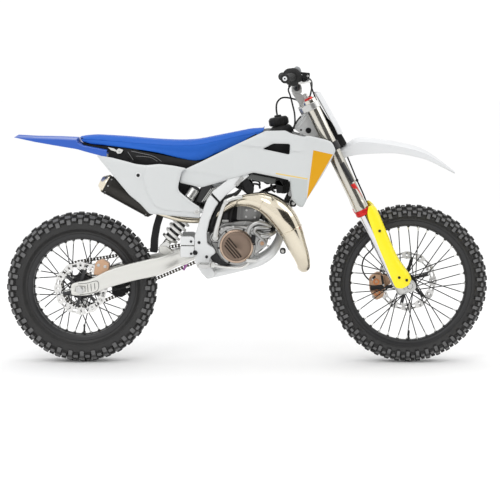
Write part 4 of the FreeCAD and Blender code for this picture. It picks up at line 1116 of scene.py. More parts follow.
@dataclass
class Wheel:
    """A knobbly tyre on a spoked rim with its hub and disc."""

    name: str
    body: str
    x: float
    radius: float
    rim: float
    bed: float
    rim_in: float
    half_rim: float
    half: float
    rows: int
    flange: float
    flange_y: float
    hub_half: float
    spoke_turn: float
    disc_y: float
    disc_radius: float
    knob_depth: float = 13.0
    spokes: int = 36

    @property
    def centre(self) -> Point:
        """The axle's middle."""
        return (self.x, 0.0, REAR_RADIUS if self.x == 0 else FRONT_RADIUS)

    def ring(self, piece: bpy.types.Object, finish: Finish, count: int, start: float = 0.0) -> bpy.types.Object:
        """Sets copies of a piece round the axle."""
        return ringed(piece, finish, self.centre, count, start)

    def build(self) -> None:
        """Makes every piece of the wheel."""
        self.tyre()
        self.rim_piece()
        self.hub_and_spokes()
        self.disc()

    def turned(self, piece: Sculpt, profile: Sequence[Flat], steps: int = 144) -> Sculpt:
        """Turns an (r, y) profile, closed on itself, round the axle."""
        return piece.lathe(profile, (self.x, 0, self.centre[2]), LEFT, steps, closed=True)

    def tyre(self) -> None:
        """Makes the carcass and its knobs."""
        base = self.radius - self.knob_depth
        half, lip = self.half, self.half_rim - 3
        side = [(self.bed, lip - 1), (self.rim - 2, lip + 0.5), (self.rim + 2, lip + 3.5),
                (self.rim + 8, lip + 5.5), (self.rim + 12, lip + 9), (self.rim + 20, half - 6.5),
                (self.rim + 23, half - 5.2), (self.rim + 25, half - 6.0), (base - 30, half - 2.5),
                (base - 18, half - 3), (base - 8, half - 8), (base - 2, half - 17), (base, half - 27)]
        side = smooth_path(side, 4)
        carcass = self.turned(Sculpt(f"{self.name}_carcass"), side + [(r, -y) for r, y in reversed(side)])
        parts = [carcass.done(TYRE)]
        pitch = 360.0 / self.rows
        length = 2 * math.pi * self.radius / self.rows
        for label, y, wide, long, tilt, start, low in (
                ("centre", half * 0.17, half * 0.27, length * 0.42, 3.0, 0.0, 0.0),
                ("inner", half * 0.50, half * 0.28, length * 0.36, 17.0, 0.5, 2.5),
                ("shoulder", half * 0.82, half * 0.30, length * 0.46, 40.0, 0.0, 0.0),
                ("side", half * 0.97, half * 0.26, length * 0.36, 66.0, 0.5, 1.0),
                ("flank", half - 12.5, 21.0, length * 0.34, 84.0, 0.0, 14.0)):
            for sign in (1, -1):
                knob = self.knob(f"{self.name}_{label}", y * sign, wide, long, tilt * sign, base - low)
                parts.append(self.ring(knob, TYRE, self.rows, start * pitch))
        settle(joined(f"{self.name}_tyre_rubber", parts), self.body, "tyre", f"{self.name}_tyre")

    def knob(self, name: str, y: float, wide: float, long: float, tilt: float, base: float) -> bpy.types.Object:
        """Makes one tapered knob at the wheel's top, its upper face painted lighter: a painted highlight, with
        some scuffing.

        Args:
            name: the piece's name.
            y: where it stands across the tyre.
            wide: its width.
            long: its length along the tread.
            tilt: how far it leans outwards, in degrees.
            base: the carcass's radius.

        Returns:
            The knob.
        """
        lean = math.radians(tilt)
        sink = abs(y) / self.half
        foot = self.centre[2] + base - 4 - 15.0 * sink ** 3
        height = self.knob_depth + 4 - 2.0 * sink
        corner = 0.24
        section = [(-1, corner - 1), (corner - 1, -1), (1 - corner, -1), (1, corner - 1), (1, 1 - corner),
                   (1 - corner, 1), (corner - 1, 1), (-1, 1 - corner)]
        piece = Sculpt(name)
        rings = []
        for up, share in ((0.0, 1.22), (height * 0.5, 1.06), (height - 1.3, 0.98), (height, 0.86)):
            ring = []
            for u, v in section:
                across = v * wide / 2 * share
                ring.append((self.x + u * long / 2 * share, y + across * math.cos(lean) + up * math.sin(lean),
                             foot + up * math.cos(lean) - across * math.sin(lean)))
            rings.append(ring)
        piece.loft(rings)
        # Marks the top ring for the painted highlight on the knob's upper face.
        painted_light_mask = piece.bm.verts.layers.float.new("painted_light_mask")
        piece.bm.verts.ensure_lookup_table()
        for vert in piece.bm.verts[-len(section):]:
            vert[painted_light_mask] = 1.0
        return piece.done(TYRE, angle=math.radians(25))

    def rim_piece(self) -> None:
        """Makes the rim with its lips, well and spoke seats."""
        lip, bed, edge = self.half_rim, self.bed, self.rim
        half = [(edge + 1, lip - 1), (edge + 1.6, lip), (edge, lip + 1.2), (edge - 5, lip + 0.6),
                (bed - 1, lip - 1.5), (bed - 5, lip - 5), (self.rim_in + 2.5, 9.5), (self.rim_in, 6)]
        back = [(self.rim_in + 3, 4), (bed - 4, lip - 6), (edge - 4, lip - 2.6)]
        outer = half + [(r, -y) for r, y in reversed(half)]
        inner = [(r, -y) for r, y in back[::-1]] + back
        profile = outer + inner
        parts = [self.turned(Sculpt(f"{self.name}_rim_ring"), profile).done(RIM_BLACK)]
        z = self.centre[2]
        dome = Sculpt("spoke_seat").lathe([(0, 6), (4.2, 6), (5.4, 4.6), (7.5, -2), (0, -2)],
                (self.x, 0, z + self.rim_in + 2), (0, 0, -1), 10)
        parts.append(self.ring(dome.done(RIM_BLACK), RIM_BLACK, self.spokes))
        settle(joined(f"{self.name}_rim_ring", parts), self.body, "black_metal")
        valve = Sculpt(f"{self.name}_valve")
        foot = z - self.rim_in + 2
        valve.lathe([(0, 0), (5.5, 0), (5.5, 5), (3.4, 6), (3.4, 22), (4.2, 23), (4.2, 32), (3, 33.5),
                     (0, 33.5)], (self.x + 6, 0, foot), UP, 16)
        settle(valve.done(BLACK_METAL), self.body, "black_metal")

    def hub_and_spokes(self) -> None:
        """Makes the hub, the crossed spokes and their nipples."""
        z = self.centre[2]
        f, y, h = self.flange, self.flange_y, self.hub_half
        half = [(10.1, h), (15, h), (17, h - 1.5), (18, y + 12), (21, y + 7), (f - 3, y + 6), (f, y + 5),
                (f, y + 1), (f - 3, y), (f - 8, y - 0.5), (24, y - 4), (20, y - 12), (18.5, 0)]
        hub = self.turned(Sculpt(f"{self.name}_hub"), half + [(r, -v) for r, v in reversed(half[:-1])], 72)
        settle(hub.done(BLACK_METAL), self.body, "black_metal", f"{self.name}_rim")
        step = 360.0 / self.spokes
        wires, nipples = [], []
        for side in (1, -1):
            for lean in (1, -1):
                turn = math.radians(lean * self.spoke_turn * SPOKE_LEAN)
                first = (0 if lean > 0 else 2) + (1 if side < 0 else 0)
                heel = side * (y + 3 + lean * 3.6)
                start = Vector((self.x + (f - 4) * math.sin(turn), heel, z + (f - 4) * math.cos(turn)))
                end = Vector((self.x, side * (4.0 + lean * 2.5), z + self.rim_in - 1))
                hook = Vector((start.x, side * (y + 3 - lean * 3.4), start.z))
                wire = Sculpt(f"{self.name}_wire").tube([hook, start, start.lerp(end, 0.02), end], 2.0, 8, 1)
                wire.lathe([(0, -1.2), (3.6, -0.6), (3.6, 0.6), (0, 1.4)], hook, (0, -lean * side, 0), 10)
                wires.append(self.ring(wire.done(WIRE_BLACK), WIRE_BLACK, self.spokes // 4, first * step))
                back = (start - end).normalized()
                nipple = Sculpt(f"{self.name}_nipple").lathe(
                    [(0, 3), (3.4, 3), (3.8, 1), (3.3, -8), (2.6, -14), (0, -14)], end, -back, 8)
                nipples.append(self.ring(nipple.done(MACHINED), MACHINED, self.spokes // 4, first * step))
        settle(joined(f"{self.name}_spokes", wires), self.body, "steel")
        settle(joined(f"{self.name}_nipples", nipples), self.body, "alloy")

    def disc(self) -> None:
        """Makes the wavy disc on its carrier."""
        z, outer, y = self.centre[2], self.disc_radius, self.disc_y
        inner = outer - 30
        count = 240
        rim_loop, bore_loop = [], []
        for i in range(count):
            t = 2 * math.pi * i / count
            wave = math.cos(12 * t)
            r = outer - 2.4 + 2.4 * wave
            q = inner + 2.0 + 2.6 * math.cos(12 * t + math.pi)
            rim_loop.append((r, t))
            bore_loop.append((q, t))
        ring = Sculpt(f"{self.name}_disc_ring")
        rows = []
        for loop, shift in (
                (rim_loop, -2.0), (rim_loop, 2.0), (bore_loop, 2.0), (bore_loop, -2.0), (rim_loop, -2.0)):
            rows.append([(self.x + r * math.sin(t), y + shift, z + r * math.cos(t)) for r, t in loop])
        ring.loft(rows, closed=True, caps=False)
        blade = ring.done(DISC_STEEL)
        x, low = self.x, z + inner
        slot = Sculpt("slot").slab([(x - 9, low + 9), (x + 9, low + 9), (x + 9, low + 19), (x - 9, low + 19)],
                                   y - 5, y + 5, 4)
        holes = [self.ring(slot.done(DISC_STEEL), DISC_STEEL, 12, 15)]
        tool = Sculpt("drill").lathe([(0, -5), (3.8, -5), (3.8, 5), (0, 5)], (x, y, low + 14), LEFT, 14)
        holes.append(self.ring(tool.done(DISC_STEEL), DISC_STEEL, 12, 0))
        blade = cut(blade, holes)
        arm = Sculpt("arm").slab([(self.x - 8, z + 22), (self.x + 2, z + 22), (self.x + 10, z + inner - 6),
                                  (self.x + 9, z + inner + 7), (self.x - 3, z + inner + 7),
                                  (self.x - 4, z + inner - 8)], y - 2.6, y + 2.6, 3)
        arms = self.ring(arm.done(DARK_ALLOY, bevel=0.8), DARK_ALLOY, 6, 10)
        side = 1 if y > 0 else -1
        rivet = Sculpt("rivet").rod((self.x, y + side * 3.6, z + inner + 3),
                                    (self.x, y - side * 3.2, z + inner + 3), 5, 14)
        rivets = self.ring(rivet.done(MACHINED), MACHINED, 6, 11.5)
        face = side * (self.flange_y + 6)
        ring_in = Sculpt("carrier").lathe([(20.5, 0), (30, 0), (30, abs(y - face) + 2),
                (20.5, abs(y - face) + 2)], (self.x, face, z), (0, side, 0), 48, closed=True)
        bolt = Sculpt("bolt").lathe([(0, 4.2), (3.2, 4.2), (4.4, 3.0), (4.4, 0), (0, 0)],
                                    (self.x, y + side * 2, z + 25.5), (0, side, 0), 12)
        bolts = self.ring(bolt.done(STEEL), STEEL, 6, 30)
        name = f"{self.name}_disc"
        settle(joined(f"{name}_blade", [blade]), self.body, "steel", name)
        settle(joined(f"{name}_carrier", [arms, ring_in.done(DARK_ALLOY), rivets, bolts]), self.body, "steel")


# Bodywork


@dataclass
class Bodywork:
    """Seat, fenders, panels, shrouds and number plate."""

    panel_outline: Sequence[Flat] = ((70, 824), (129, 815), (188, 800), (225, 790), (262, 786), (317, 791),
            (373, 784), (421, 774), (402, 763), (391, 722), (387, 700), (391, 685), (439, 644), (472, 622),
            (471, 579), (354, 590), (298, 596), (276, 596), (240, 636), (198, 670), (128, 754))
    panel_relief: Sequence[Flat] = ((262, 777), (249, 744), (256, 702), (272, 662), (292, 628), (330, 610),
            (400, 602), (520, 598), (520, 900), (300, 900))
    panel_plan: Sequence[Flat] = ((40, 104), (160, 112), (300, 120), (400, 118), (480, 106))
    shroud_outline: Sequence[Flat] = ((726, 919), (803, 921), (820, 911), (872, 897), (889, 902), (954, 887),
            (978, 878), (988, 863), (996, 844), (979, 809), (935, 733), (888, 661), (870, 624), (853, 627),
            (826, 656), (820, 729), (770, 741), (678, 758), (634, 744), (569, 725), (475, 698), (391, 718),
            (395, 751), (409, 767), (427, 776), (473, 797), (589, 854))
    shroud_vent: Sequence[Flat] = ((715, 849), (755, 871), (820, 870), (818, 828))
    shroud_plan: Sequence[Flat] = ((380, 106), (480, 103), (600, 104), (700, 118), (800, 136),
            (880, 146), (1000, 136))
    seat_stations: Sequence[tuple[float, float, float, float]] = (
        (-6, 58, 893, 872), (30, 62, 895, 862), (76, 66, 894, 858), (180, 72, 888, 846), (300, 76, 878, 828),
        (400, 77, 874, 804), (468, 76, 878, 797), (540, 70, 892, 826), (620, 60, 908, 858), (700, 47, 924, 898),
        (722, 42, 930, 912))

    def build(self) -> None:
        """Makes every piece of the bodywork."""
        self.seat()
        self.rear_fender()
        self.side_panels()
        self.shrouds()
        self.front_fender()
        self.number_plate()

    def seat(self) -> None:
        """Makes the saddle's cover, crowned over its foam, and its two seams."""
        rings = []
        for x, w, top, low in smooth_path(self.seat_stations, 5):
            depth = top - low
            half = [(0, top + 3), (w * 0.3, top + 2.2), (w * 0.62, top - 0.5),
                    (w * 0.84, top - min(5, depth * 0.2)), (w * 0.96, top - min(12, depth * 0.36)),
                    (w, top - min(22, depth * 0.6)), (w - 1.5, low + 3), (w - 5, low + 0.5), (w * 0.5, low)]
            lean = 0.6 * (1 - step_up(x, -12, 60))
            rings.append([(x + (top - z) * lean, y, z) for y, z in half] + [(x + depth * lean, 0, low)]
                         + [(x + (top - z) * lean, -y, z) for y, z in reversed(half[1:])])
        cover = Sculpt("seat_cover").loft(rings).done(SEAT_VINYL, levels=1, angle=math.radians(80))
        cover = plumped(baked(cover), 0.005, 4.0, 0.007)
        settle(cover, "chassis", "seat_cover", "seat")
        seams = Sculpt("seat_seams")
        for side in (1, -1):
            line = []
            for x, w, top, low in smooth_path(self.seat_stations, 3)[2:-3]:
                near = at(x, side * w * 0.93, top - min(7, (top - low) * 0.3))
                _, place, normal, _ = cover.closest_point_on_mesh(near)
                line.append(place * 1000 + Vector(SEAT_POINT) + normal * 0.2)
            seams.tube(line, 1.3, 8, 2)
        settle(seams.done(SEAT_VINYL), "chassis", "seat_cover")

    def rear_fender(self) -> None:
        """Makes the ridged tail."""
        stations = [(-256, 38, 892, 889), (-243, 60, 899, 889), (-168, 78, 895, 874), (-70, 92, 893, 858),
                    (-8, 96, 890, 848), (0, 96, 872, 846), (20, 97, 863, 840), (110, 98, 846, 816)]
        rings = []
        for x, w, top, low in stations:
            drop = min(8.0, top - low - 0.5) if top > 875 else 4.0
            outer = [(0, top), (w * 0.22, top - 0.4), (w * 0.26, top - 2.6), (w * 0.5, top - 3),
                     (w * 0.8, top - drop * 0.6), (w - 4, top - drop), (w - 1,
                    top - drop - 2 if top - drop - 2 > low else low + 0.2), (w, low)]
            inner = [(y - (3.2 if y > 4 else 0), max(z - 3.2, low - 1.0)) for y, z in outer]
            ring = [(-y, z) for y, z in reversed(outer[1:])] + outer + list(reversed(inner))[:-1] + [
                (-y, z) for y, z in inner]
            rings.append([(x, y, z) for y, z in ring])
        tail = Sculpt("rear_fender_shell").loft(rings)
        settle(tail.done(BLUE, bevel=0.7), "chassis", "blue_plastic", "rear_fender")

    def side_panels(self) -> None:
        """Makes both side panels with their raised field and screws."""
        outline = rounded(self.panel_outline, 9)
        relief = rounded(self.panel_relief, 30)

        def depth(x: float, z: float) -> float:
            """Outer surface of the left panel."""
            y = along(self.panel_plan, x)[0] - 8 * ((z - 740) / 200) ** 2
            bulge = step_up(edge_distance((x, z), relief), 0, 5) if inside((x, z), relief) else 0.0
            return y + 5.5 * bulge

        piece = Sculpt("side_panel_pair").plate(outline, 3.2, depth, 5, roll=5, roll_width=9).mirror()
        settle(piece.done(WHITE), "chassis", "white_plastic", "side_panels")
        for name, finish, slot, x, z, r in (
                ("panel_rings", GUARD_WHITE, "white_plastic", 233, 747, 12),
                ("panel_washers", MACHINED, "alloy", 459, 605, 10)):
            y = depth(x, z)
            ring = Sculpt(name).lathe([(0, 1.2), (r - 1, 1.2), (r, 0.4), (r, -4), (0, -4)], (x, y, z), LEFT, 32)
            settle(ring.mirror().done(finish), "chassis", slot)
            BOLTS.both_sides("chassis", BLACK_METAL if r == 12 else STEEL, 6.6, (x, y + 1.4, z))
        self.seat_base()

    def seat_base(self) -> None:
        """Makes the black shells between seat and side panels, with the bright rail lugs behind them."""
        shell = Sculpt("seat_base_shells")
        outline = rounded([(168, 850), (237, 838), (317, 824), (396, 808), (470, 800), (470, 770), (428, 768),
                           (337, 780), (262, 780), (205, 795), (176, 822)], 6)
        shell.plate(outline, 3, lambda x, z: along(((160, 66), (260, 72), (400, 74), (480, 72)), x)[0]
                    - 4 * step_up(z, 806 - (x - 260) * 0.06, 812 - (x - 260) * 0.06), 10, roll=3, roll_width=6)
        recess = rounded([(196, 838), (262, 820), (286, 800), (262, 790), (214, 800), (196, 818)], 8)
        shell.plate(recess, 2, lambda x, z: along(((180, 71), (300, 76)), x)[0], 12, roll=3, roll_width=5)
        shell.mirror()
        shell.slab([(14, 868), (90, 857), (176, 848), (176, 826), (100, 836), (16, 854)], -56, 56)
        shell.slab([(114, 844), (150, 850), (200, 842), (262, 822), (262, 776), (160, 784),
                    (112, 800)], -60, 60)
        shell.slab([(6, 889), (13, 889), (28, 868), (22, 862), (17, 866)], -50, 50)
        shell.slab([(455, 802), (540, 840), (620, 869), (690, 905), (700, 880), (620, 838), (540, 806),
                    (470, 780)], -50, 50)
        settle(shell.done(BLACK), "chassis", "black_plastic")
        lugs = Sculpt("rail_lugs").slab([(143, 838), (154, 849), (173, 843), (164, 829), (150, 828)], 60, 72, 3)
        lugs.slab([(112, 853), (137, 848), (146, 841), (142, 836), (124, 842)], 60, 68, 2)
        lugs.mirror()
        settle(lugs.done(MACHINED, bevel=2), "chassis", "alloy")
        BOLTS.both_sides("chassis", STEEL, 4.5, (157, 72, 838))
        # The grey lines on the black shells are painted highlights where the moulded creases catch the light.
        crease_highlights = Sculpt("seat_base_creases")
        for line in ([(204, 79, 839), (240, 79, 831), (290, 79, 819), (322, 79, 798)],
                     [(222, 78, 819), (276, 80, 815), (306, 80, 799)], [(190, 76, 836), (212, 77, 804)]):
            crease_highlights.tube(line, 0.8, 8, 4)
        settle(crease_highlights.mirror().done(RADIATOR), "chassis", "black_plastic")

    def shrouds(self) -> None:
        """Makes both tank shrouds with their vent and stripes."""
        outline = rounded(self.shroud_outline, 8)
        vent = rounded(self.shroud_vent, 8)

        def depth(x: float, z: float) -> float:
            """Outer surface of the left shroud."""
            y = along(self.shroud_plan, x)[0]
            crown = 10 * (1 - ((z - 800) / 130) ** 2)
            lift = 7 * step_up(z, 850 - (x - 720) * 0.10, 857 - (x - 720) * 0.10)
            lift *= step_up(x, 600, 660)
            lift *= 1 - step_up(x, 840, 930)
            dip = 3 * (1 - step_up(z, 757 - (x - 430) * 0.16, 767 - (x - 430) * 0.16))
            dip *= 1 - step_up(x, 520, 610)
            return y + crown * 0.6 - 4 + lift - dip

        piece = Sculpt("shroud_pair").plate(outline, 3.2, depth, 6, holes=[vent], roll=6, roll_width=9).mirror()
        settle(piece.done(SHROUD_WHITE), "chassis", "white_plastic", "shrouds")

    def front_fender(self) -> None:
        """Makes the long fender under the lower clamp."""
        stations = [(962, 40, 826, 816), (1006, 46, 848, 808), (1018, 50, 853, 800), (1048, 54, 868, 815),
                    (1091, 56, 889, 824), (1176, 60, 883, 829), (1240, 60, 873, 828), (1311, 58, 856, 815),
                    (1361, 54, 834, 800), (1411, 48, 800, 776), (1466, 40, 758, 748)]
        rings, wall = [], 3.0
        for x, w, top, low in smooth_path(stations, 5):
            k = min(1.0, (top - low) / 45)
            outer = [(0, top), (w * 0.36, top - 0.8), (w * 0.42, top - 2.4), (w * 0.76, top - 6 * k),
                     (w, top - 16 * k), (w - 0.5, (top - 16 * k + low) / 2), (w - 3, low + 1.4), (w - 5.5, low)]
            inner = [(0, top - wall), (w * 0.36, top - 0.8 - wall), (w * 0.42, top - 2.4 - wall),
                     (w * 0.76, top - 6 * k - wall), (w - 3.4, top - 16 * k - 1.6),
                     (w - 3.8, (top - 16 * k + low) / 2), (w - 6.2, low + 1.4), (w - 7.5, low)]
            ring = [(-y, z) for y, z in reversed(outer[1:])] + outer + list(reversed(inner))[:-1] + [
                (-y, z) for y, z in inner]
            rings.append([(x, y, z) for y, z in ring])
        shell = Sculpt("front_fender_shell").loft(rings)
        settle(shell.done(PLATE_WHITE), "steering", "white_plastic", "front_fender")

    def number_plate(self) -> None:
        """Makes the blank front plate and the dark mask below it."""
        stations = ((0.0, 941, 1066, 66), (0.12, 948, 1053, 80), (0.86, 1018, 930, 88), (1.0, 1030, 904, 72))
        rings = []
        for x, z, half in (along(stations, k / 14) for k in range(15)):
            outer, inner = [], []
            for k in range(17):
                u = -1 + 2 * k / 16
                back = 21 * abs(u) ** 2.4
                outer.append((x - back, u * half, z))
                inner.append((x - back - 3.4, u * half * 0.985, z - 1))
            rings.append(outer + inner[::-1])
        plate = Sculpt("number_plate_shell").loft(rings)
        settle(plate.done(PLATE_WHITE, bevel=0.8), "steering", "white_plastic", "number_plate")
        mask = Sculpt("plate_mask")
        mask.slab([(1043, 867), (1009, 843), (991, 882), (989, 907), (1004, 914), (1018, 911)], -46, 46, 4)
        for side in (1, -1):
            low, high = sorted((side * 30, side * 46))
            mask.slab([(1020, 908), (992, 938), (969, 965), (943, 1006), (931, 1026), (926, 1022), (933, 1003),
                       (957, 963), (970, 933), (990, 905)], low, high)
        mask.slab([(968, 966), (958, 960), (964, 950), (976, 955)], -46, 46)
        settle(mask.done(BLACK, bevel=2), "steering", "black_plastic")


# Fasteners


@dataclass
class Fasteners:
    """Gathers bolt heads by body and finish and grows them all at once."""

    seats: dict[tuple[str, str], list[tuple[Point, Point, float]]] = field(default_factory=dict)
    finishes: dict[str, Finish] = field(default_factory=dict)

    def add(self, body: str, finish: Finish, axis: Sequence[float], size: float, *places: Point) -> None:
        """Notes bolts that look along axis, with heads of a given radius, at design points."""
        self.finishes[finish.name] = finish
        self.seats.setdefault((body, finish.name), []).extend((p, tuple(axis), size) for p in places)

    def both_sides(self, body: str, finish: Finish, size: float, *places: Point) -> None:
        """Notes bolts that look outwards at places on the left and at their twins on the right."""
        for x, y, z in places:
            self.add(body, finish, LEFT, size, (x, y, z))
            self.add(body, finish, RIGHT, size, (x, -y, z))

    def head(self) -> bpy.types.Object:
        """Makes one flanged hexagon head of radius 1 m along Z, with a recess."""
        bm = bmesh.new()
        rows = []
        for r, z in ((1.0, -0.5), (1.0, 0.16), (0.86, 0.26)):
            rows.append([bm.verts.new((r * math.cos(t), r * math.sin(t), z)) for t in even_turns(12)])
        for r, z in ((0.70, 0.26), (0.70, 0.80), (0.60, 0.90), (0.36, 0.90), (0.30, 0.55)):
            rows.append([bm.verts.new((r * math.cos(t), r * math.sin(t), z))
                         for t in (2 * math.pi * (k // 2) / 6 + 0.04 * (k % 2 * 2 - 1) + math.pi / 6
                                   for k in range(12))])
        for a, b in zip(rows, rows[1:]):
            for i in range(12):
                j = (i + 1) % 12
                bm.faces.new((a[i], a[j], b[j], b[i]))
        bm.faces.new(rows[0][::-1])
        bm.faces.new(rows[-1])
        bmesh.ops.recalc_face_normals(bm, faces=bm.faces)
        return in_scene("bolt_head", meshed("bolt_head", bm))

    def build(self) -> None:
        """Makes one piece of heads for each body and finish."""
        head, tree = self.head(), heads_tree()
        for (body, finish_name), seats in self.seats.items():
            mesh = bpy.data.meshes.new("seats")
            mesh.from_pydata([at(*p) for p, _, _ in seats], [], [])
            mesh.attributes.new("axis", "FLOAT_VECTOR", "POINT")
            mesh.attributes.new("size", "FLOAT", "POINT")
            for i, (_, direction, radius) in enumerate(seats):
                mesh.attributes["axis"].data[i].vector = direction
                mesh.attributes["size"].data[i].value = radius / 1000
            piece = in_scene(f"{body}_{finish_name}_bolts", mesh)
            finish = self.finishes[finish_name]
            slot = "black_metal" if finish is BLACK_METAL else "steel"
            settle(grown(piece, tree, finish, Head=head), body, slot)
        bpy.data.objects.remove(head)


BOLTS = Fasteners()


def rowed(piece: bpy.types.Object, finish: Finish, count: int, step: Sequence[float]) -> bpy.types.Object:
    """Sets copies of a piece in a row, one step in design millimetres apart."""
    return grown(baked(piece), row_tree(), finish, Count=count, Step=tuple(v / 1000 for v in step))


# Steering


@dataclass
class ForkLegs:
    """Outer tubes, wiper collars, chromed inner tubes, axle lugs and guards."""

    outer: float = 27.0
    inner: float = 21.5
    low: float = 338.0
    high: float = 825.0

    def build(self) -> None:
        """Makes both legs."""
        axis = STEER_AXIS
        outer, collar, inner, lug = (Sculpt(n) for n in ("fork_outer_tubes", "wiper_collars",
                "inner_tubes", "axle_lugs"))
        cap = Sculpt("fork_caps")
        for y in (LEG_Y, -LEG_Y):
            base = steer(0, CLAMP_OFFSET, y)
            r = self.outer
            outer.lathe([(self.inner + 0.5, self.low + 16), (28.2, self.low + 16), (28.6, self.low + 20),
                         (28.6, self.low + 40), (27.4, self.low + 46), (r, self.low + 60), (r, self.high - 2),
                         (r - 2, self.high), (17, self.high), (17, self.high - 10),
                         (self.inner + 0.5, self.high - 10)], base, axis, 56, closed=True)
            cap.lathe([(0, self.high + 5), (9, self.high + 5), (9, self.high + 8), (16, self.high + 8),
                       (16.5, self.high + 6), (16.5, self.high - 8), (0, self.high - 8)], base, axis, 24)
            collar.lathe([(self.inner + 0.5, self.low - 9), (26, self.low - 9), (29.5, self.low - 6),
                          (30.6, self.low - 2), (30.6, self.low + 4), (29.6, self.low + 5),
                          (29.6, self.low + 7), (30.6, self.low + 8), (30.6, self.low + 13),
                          (29.5, self.low + 14.5), (self.inner + 0.5, self.low + 14.5)], base, axis,
                         56, closed=True)
            inner.lathe([(0, 30), (self.inner, 30), (self.inner, self.low + 60),
                         (0, self.low + 60)], base, axis, 48)
            side = math.copysign(1, y)
            start, end = steer(-16, CLAMP_OFFSET + 8, y), steer(64, CLAMP_OFFSET + 2, y)
            ahead = Vector(end) - Vector(start)
            lug.lathe([(0, 0), (18, 0), (23, 4), (24.6, 12), (24.6, 52), (24.2, 66), (23.4, ahead.length - 2),
                       (22, ahead.length), (0, ahead.length)], start, ahead, 40)
            lug.lathe([(10.6, -21.4), (21, -21.4), (23.8, -19), (23.8, 15), (21, 17.7), (10.6, 17.7)],
                      (WHEELBASE, y, FRONT_RADIUS), (0, side, 0), 40, closed=True)
            clampfoot = rounded([(p[0], p[2]) for p in (steer(-20, 26), steer(-20, 62), steer(-8, 66),
                    steer(20, 64), steer(56, 32))], 8)
            lug.slab(clampfoot, y - 12, y + 12)
        settle(joined("fork_outer_tubes", [outer.done(FORK_SILVER)]), "steering", "alloy", "fork_tubes")
        settle(cap.done(RED), "steering", "red_anodised")
        settle(collar.done(RED), "steering", "red_anodised", "fork_wipers")
        settle(inner.done(CHROME), "steering", "chrome", "fork_inners")
        settle(lug.done(CLAMP_ALLOY, bevel=1.5), "steering", "cast_alloy")
        self.bands()
        self.guards()

    def bands(self) -> None:
        """Makes the thin black and red fields on the outside of the tubes."""
        for name, finish, slot, stations in (
                ("fork_dark_fields", FORK_SLEEVE, "dark_alloy", ((466, 14, 54), (500, 8, 50), (552, -2, 40))),
                ("fork_red_fields", RED, "red_anodised", ((396, 60, 64), (436, 40, 52), (441, 14, 50),
                (460, 4, 44)))):
            piece = Sculpt(name)
            for side in (1, -1):
                rings = []
                for s, low, high in stations:
                    turns = [math.radians(low + (high - low) * k / 10) for k in range(11)]
                    outer, inner = ([steer(s, CLAMP_OFFSET + r * math.sin(t), side * (LEG_Y + r * math.cos(t)))
                                     for t in turns] for r in (self.outer + 0.5, self.outer - 0.5))
                    rings.append(outer + inner[::-1])
                piece.loft(rings)
            settle(piece.done(finish), "steering", slot)

    def guards(self) -> None:
        """Makes the yellow guards that wrap the front and outside of each leg."""
        stations = [(8, 68, 32), (22, 80.7, 12), (45, 83, 10), (62, 80, 11), (100, 73, 14),
                    (133, 70.5, 16), (190, 72, 19), (248, 75, 24), (290, 77.5, 29), (320, 78.4, 33),
                    (337, 77, 40), (354, 69, 52)]
        piece = Sculpt("fork_guard_pair")
        rings = []
        for s, front, back in smooth_path(stations, 4):
            wrap = min(1.0, max(0.0, (front - back) / 40))
            section = [(front - 9, 66.5), (front - 2.5, 70), (front, 78), (front - 0.5, 92), (front - 3, 104),
                       (front - 9, 112.5), (front - 18 * wrap, 117.0), (back + (front - back) * 0.4, 118.6),
                       (back + (front - back) * 0.16, 118.8), (back, 117.4)]
            outer = [steer(s, e, y) for e, y in section]
            inner = []
            for i, (e, y) in enumerate(section):
                e0, y0 = section[max(i - 1, 0)]
                e1, y1 = section[min(i + 1, len(section) - 1)]
                de, dy = e1 - e0, y1 - y0
                size = math.hypot(de, dy) or 1.0
                inner.append(steer(s, e - dy / size * 3.0, y + de / size * 3.0))
            rings.append(outer + inner[::-1])
        piece.loft(rings).mirror()
        settle(piece.done(YELLOW), "steering", "yellow_plastic", "fork_guards")
        places = (steer(s, e, 119.0) for s, e in ((52, 40), (30, 62), (250, 50)))
        BOLTS.both_sides("steering", BLACK_METAL, 5.5, *places)


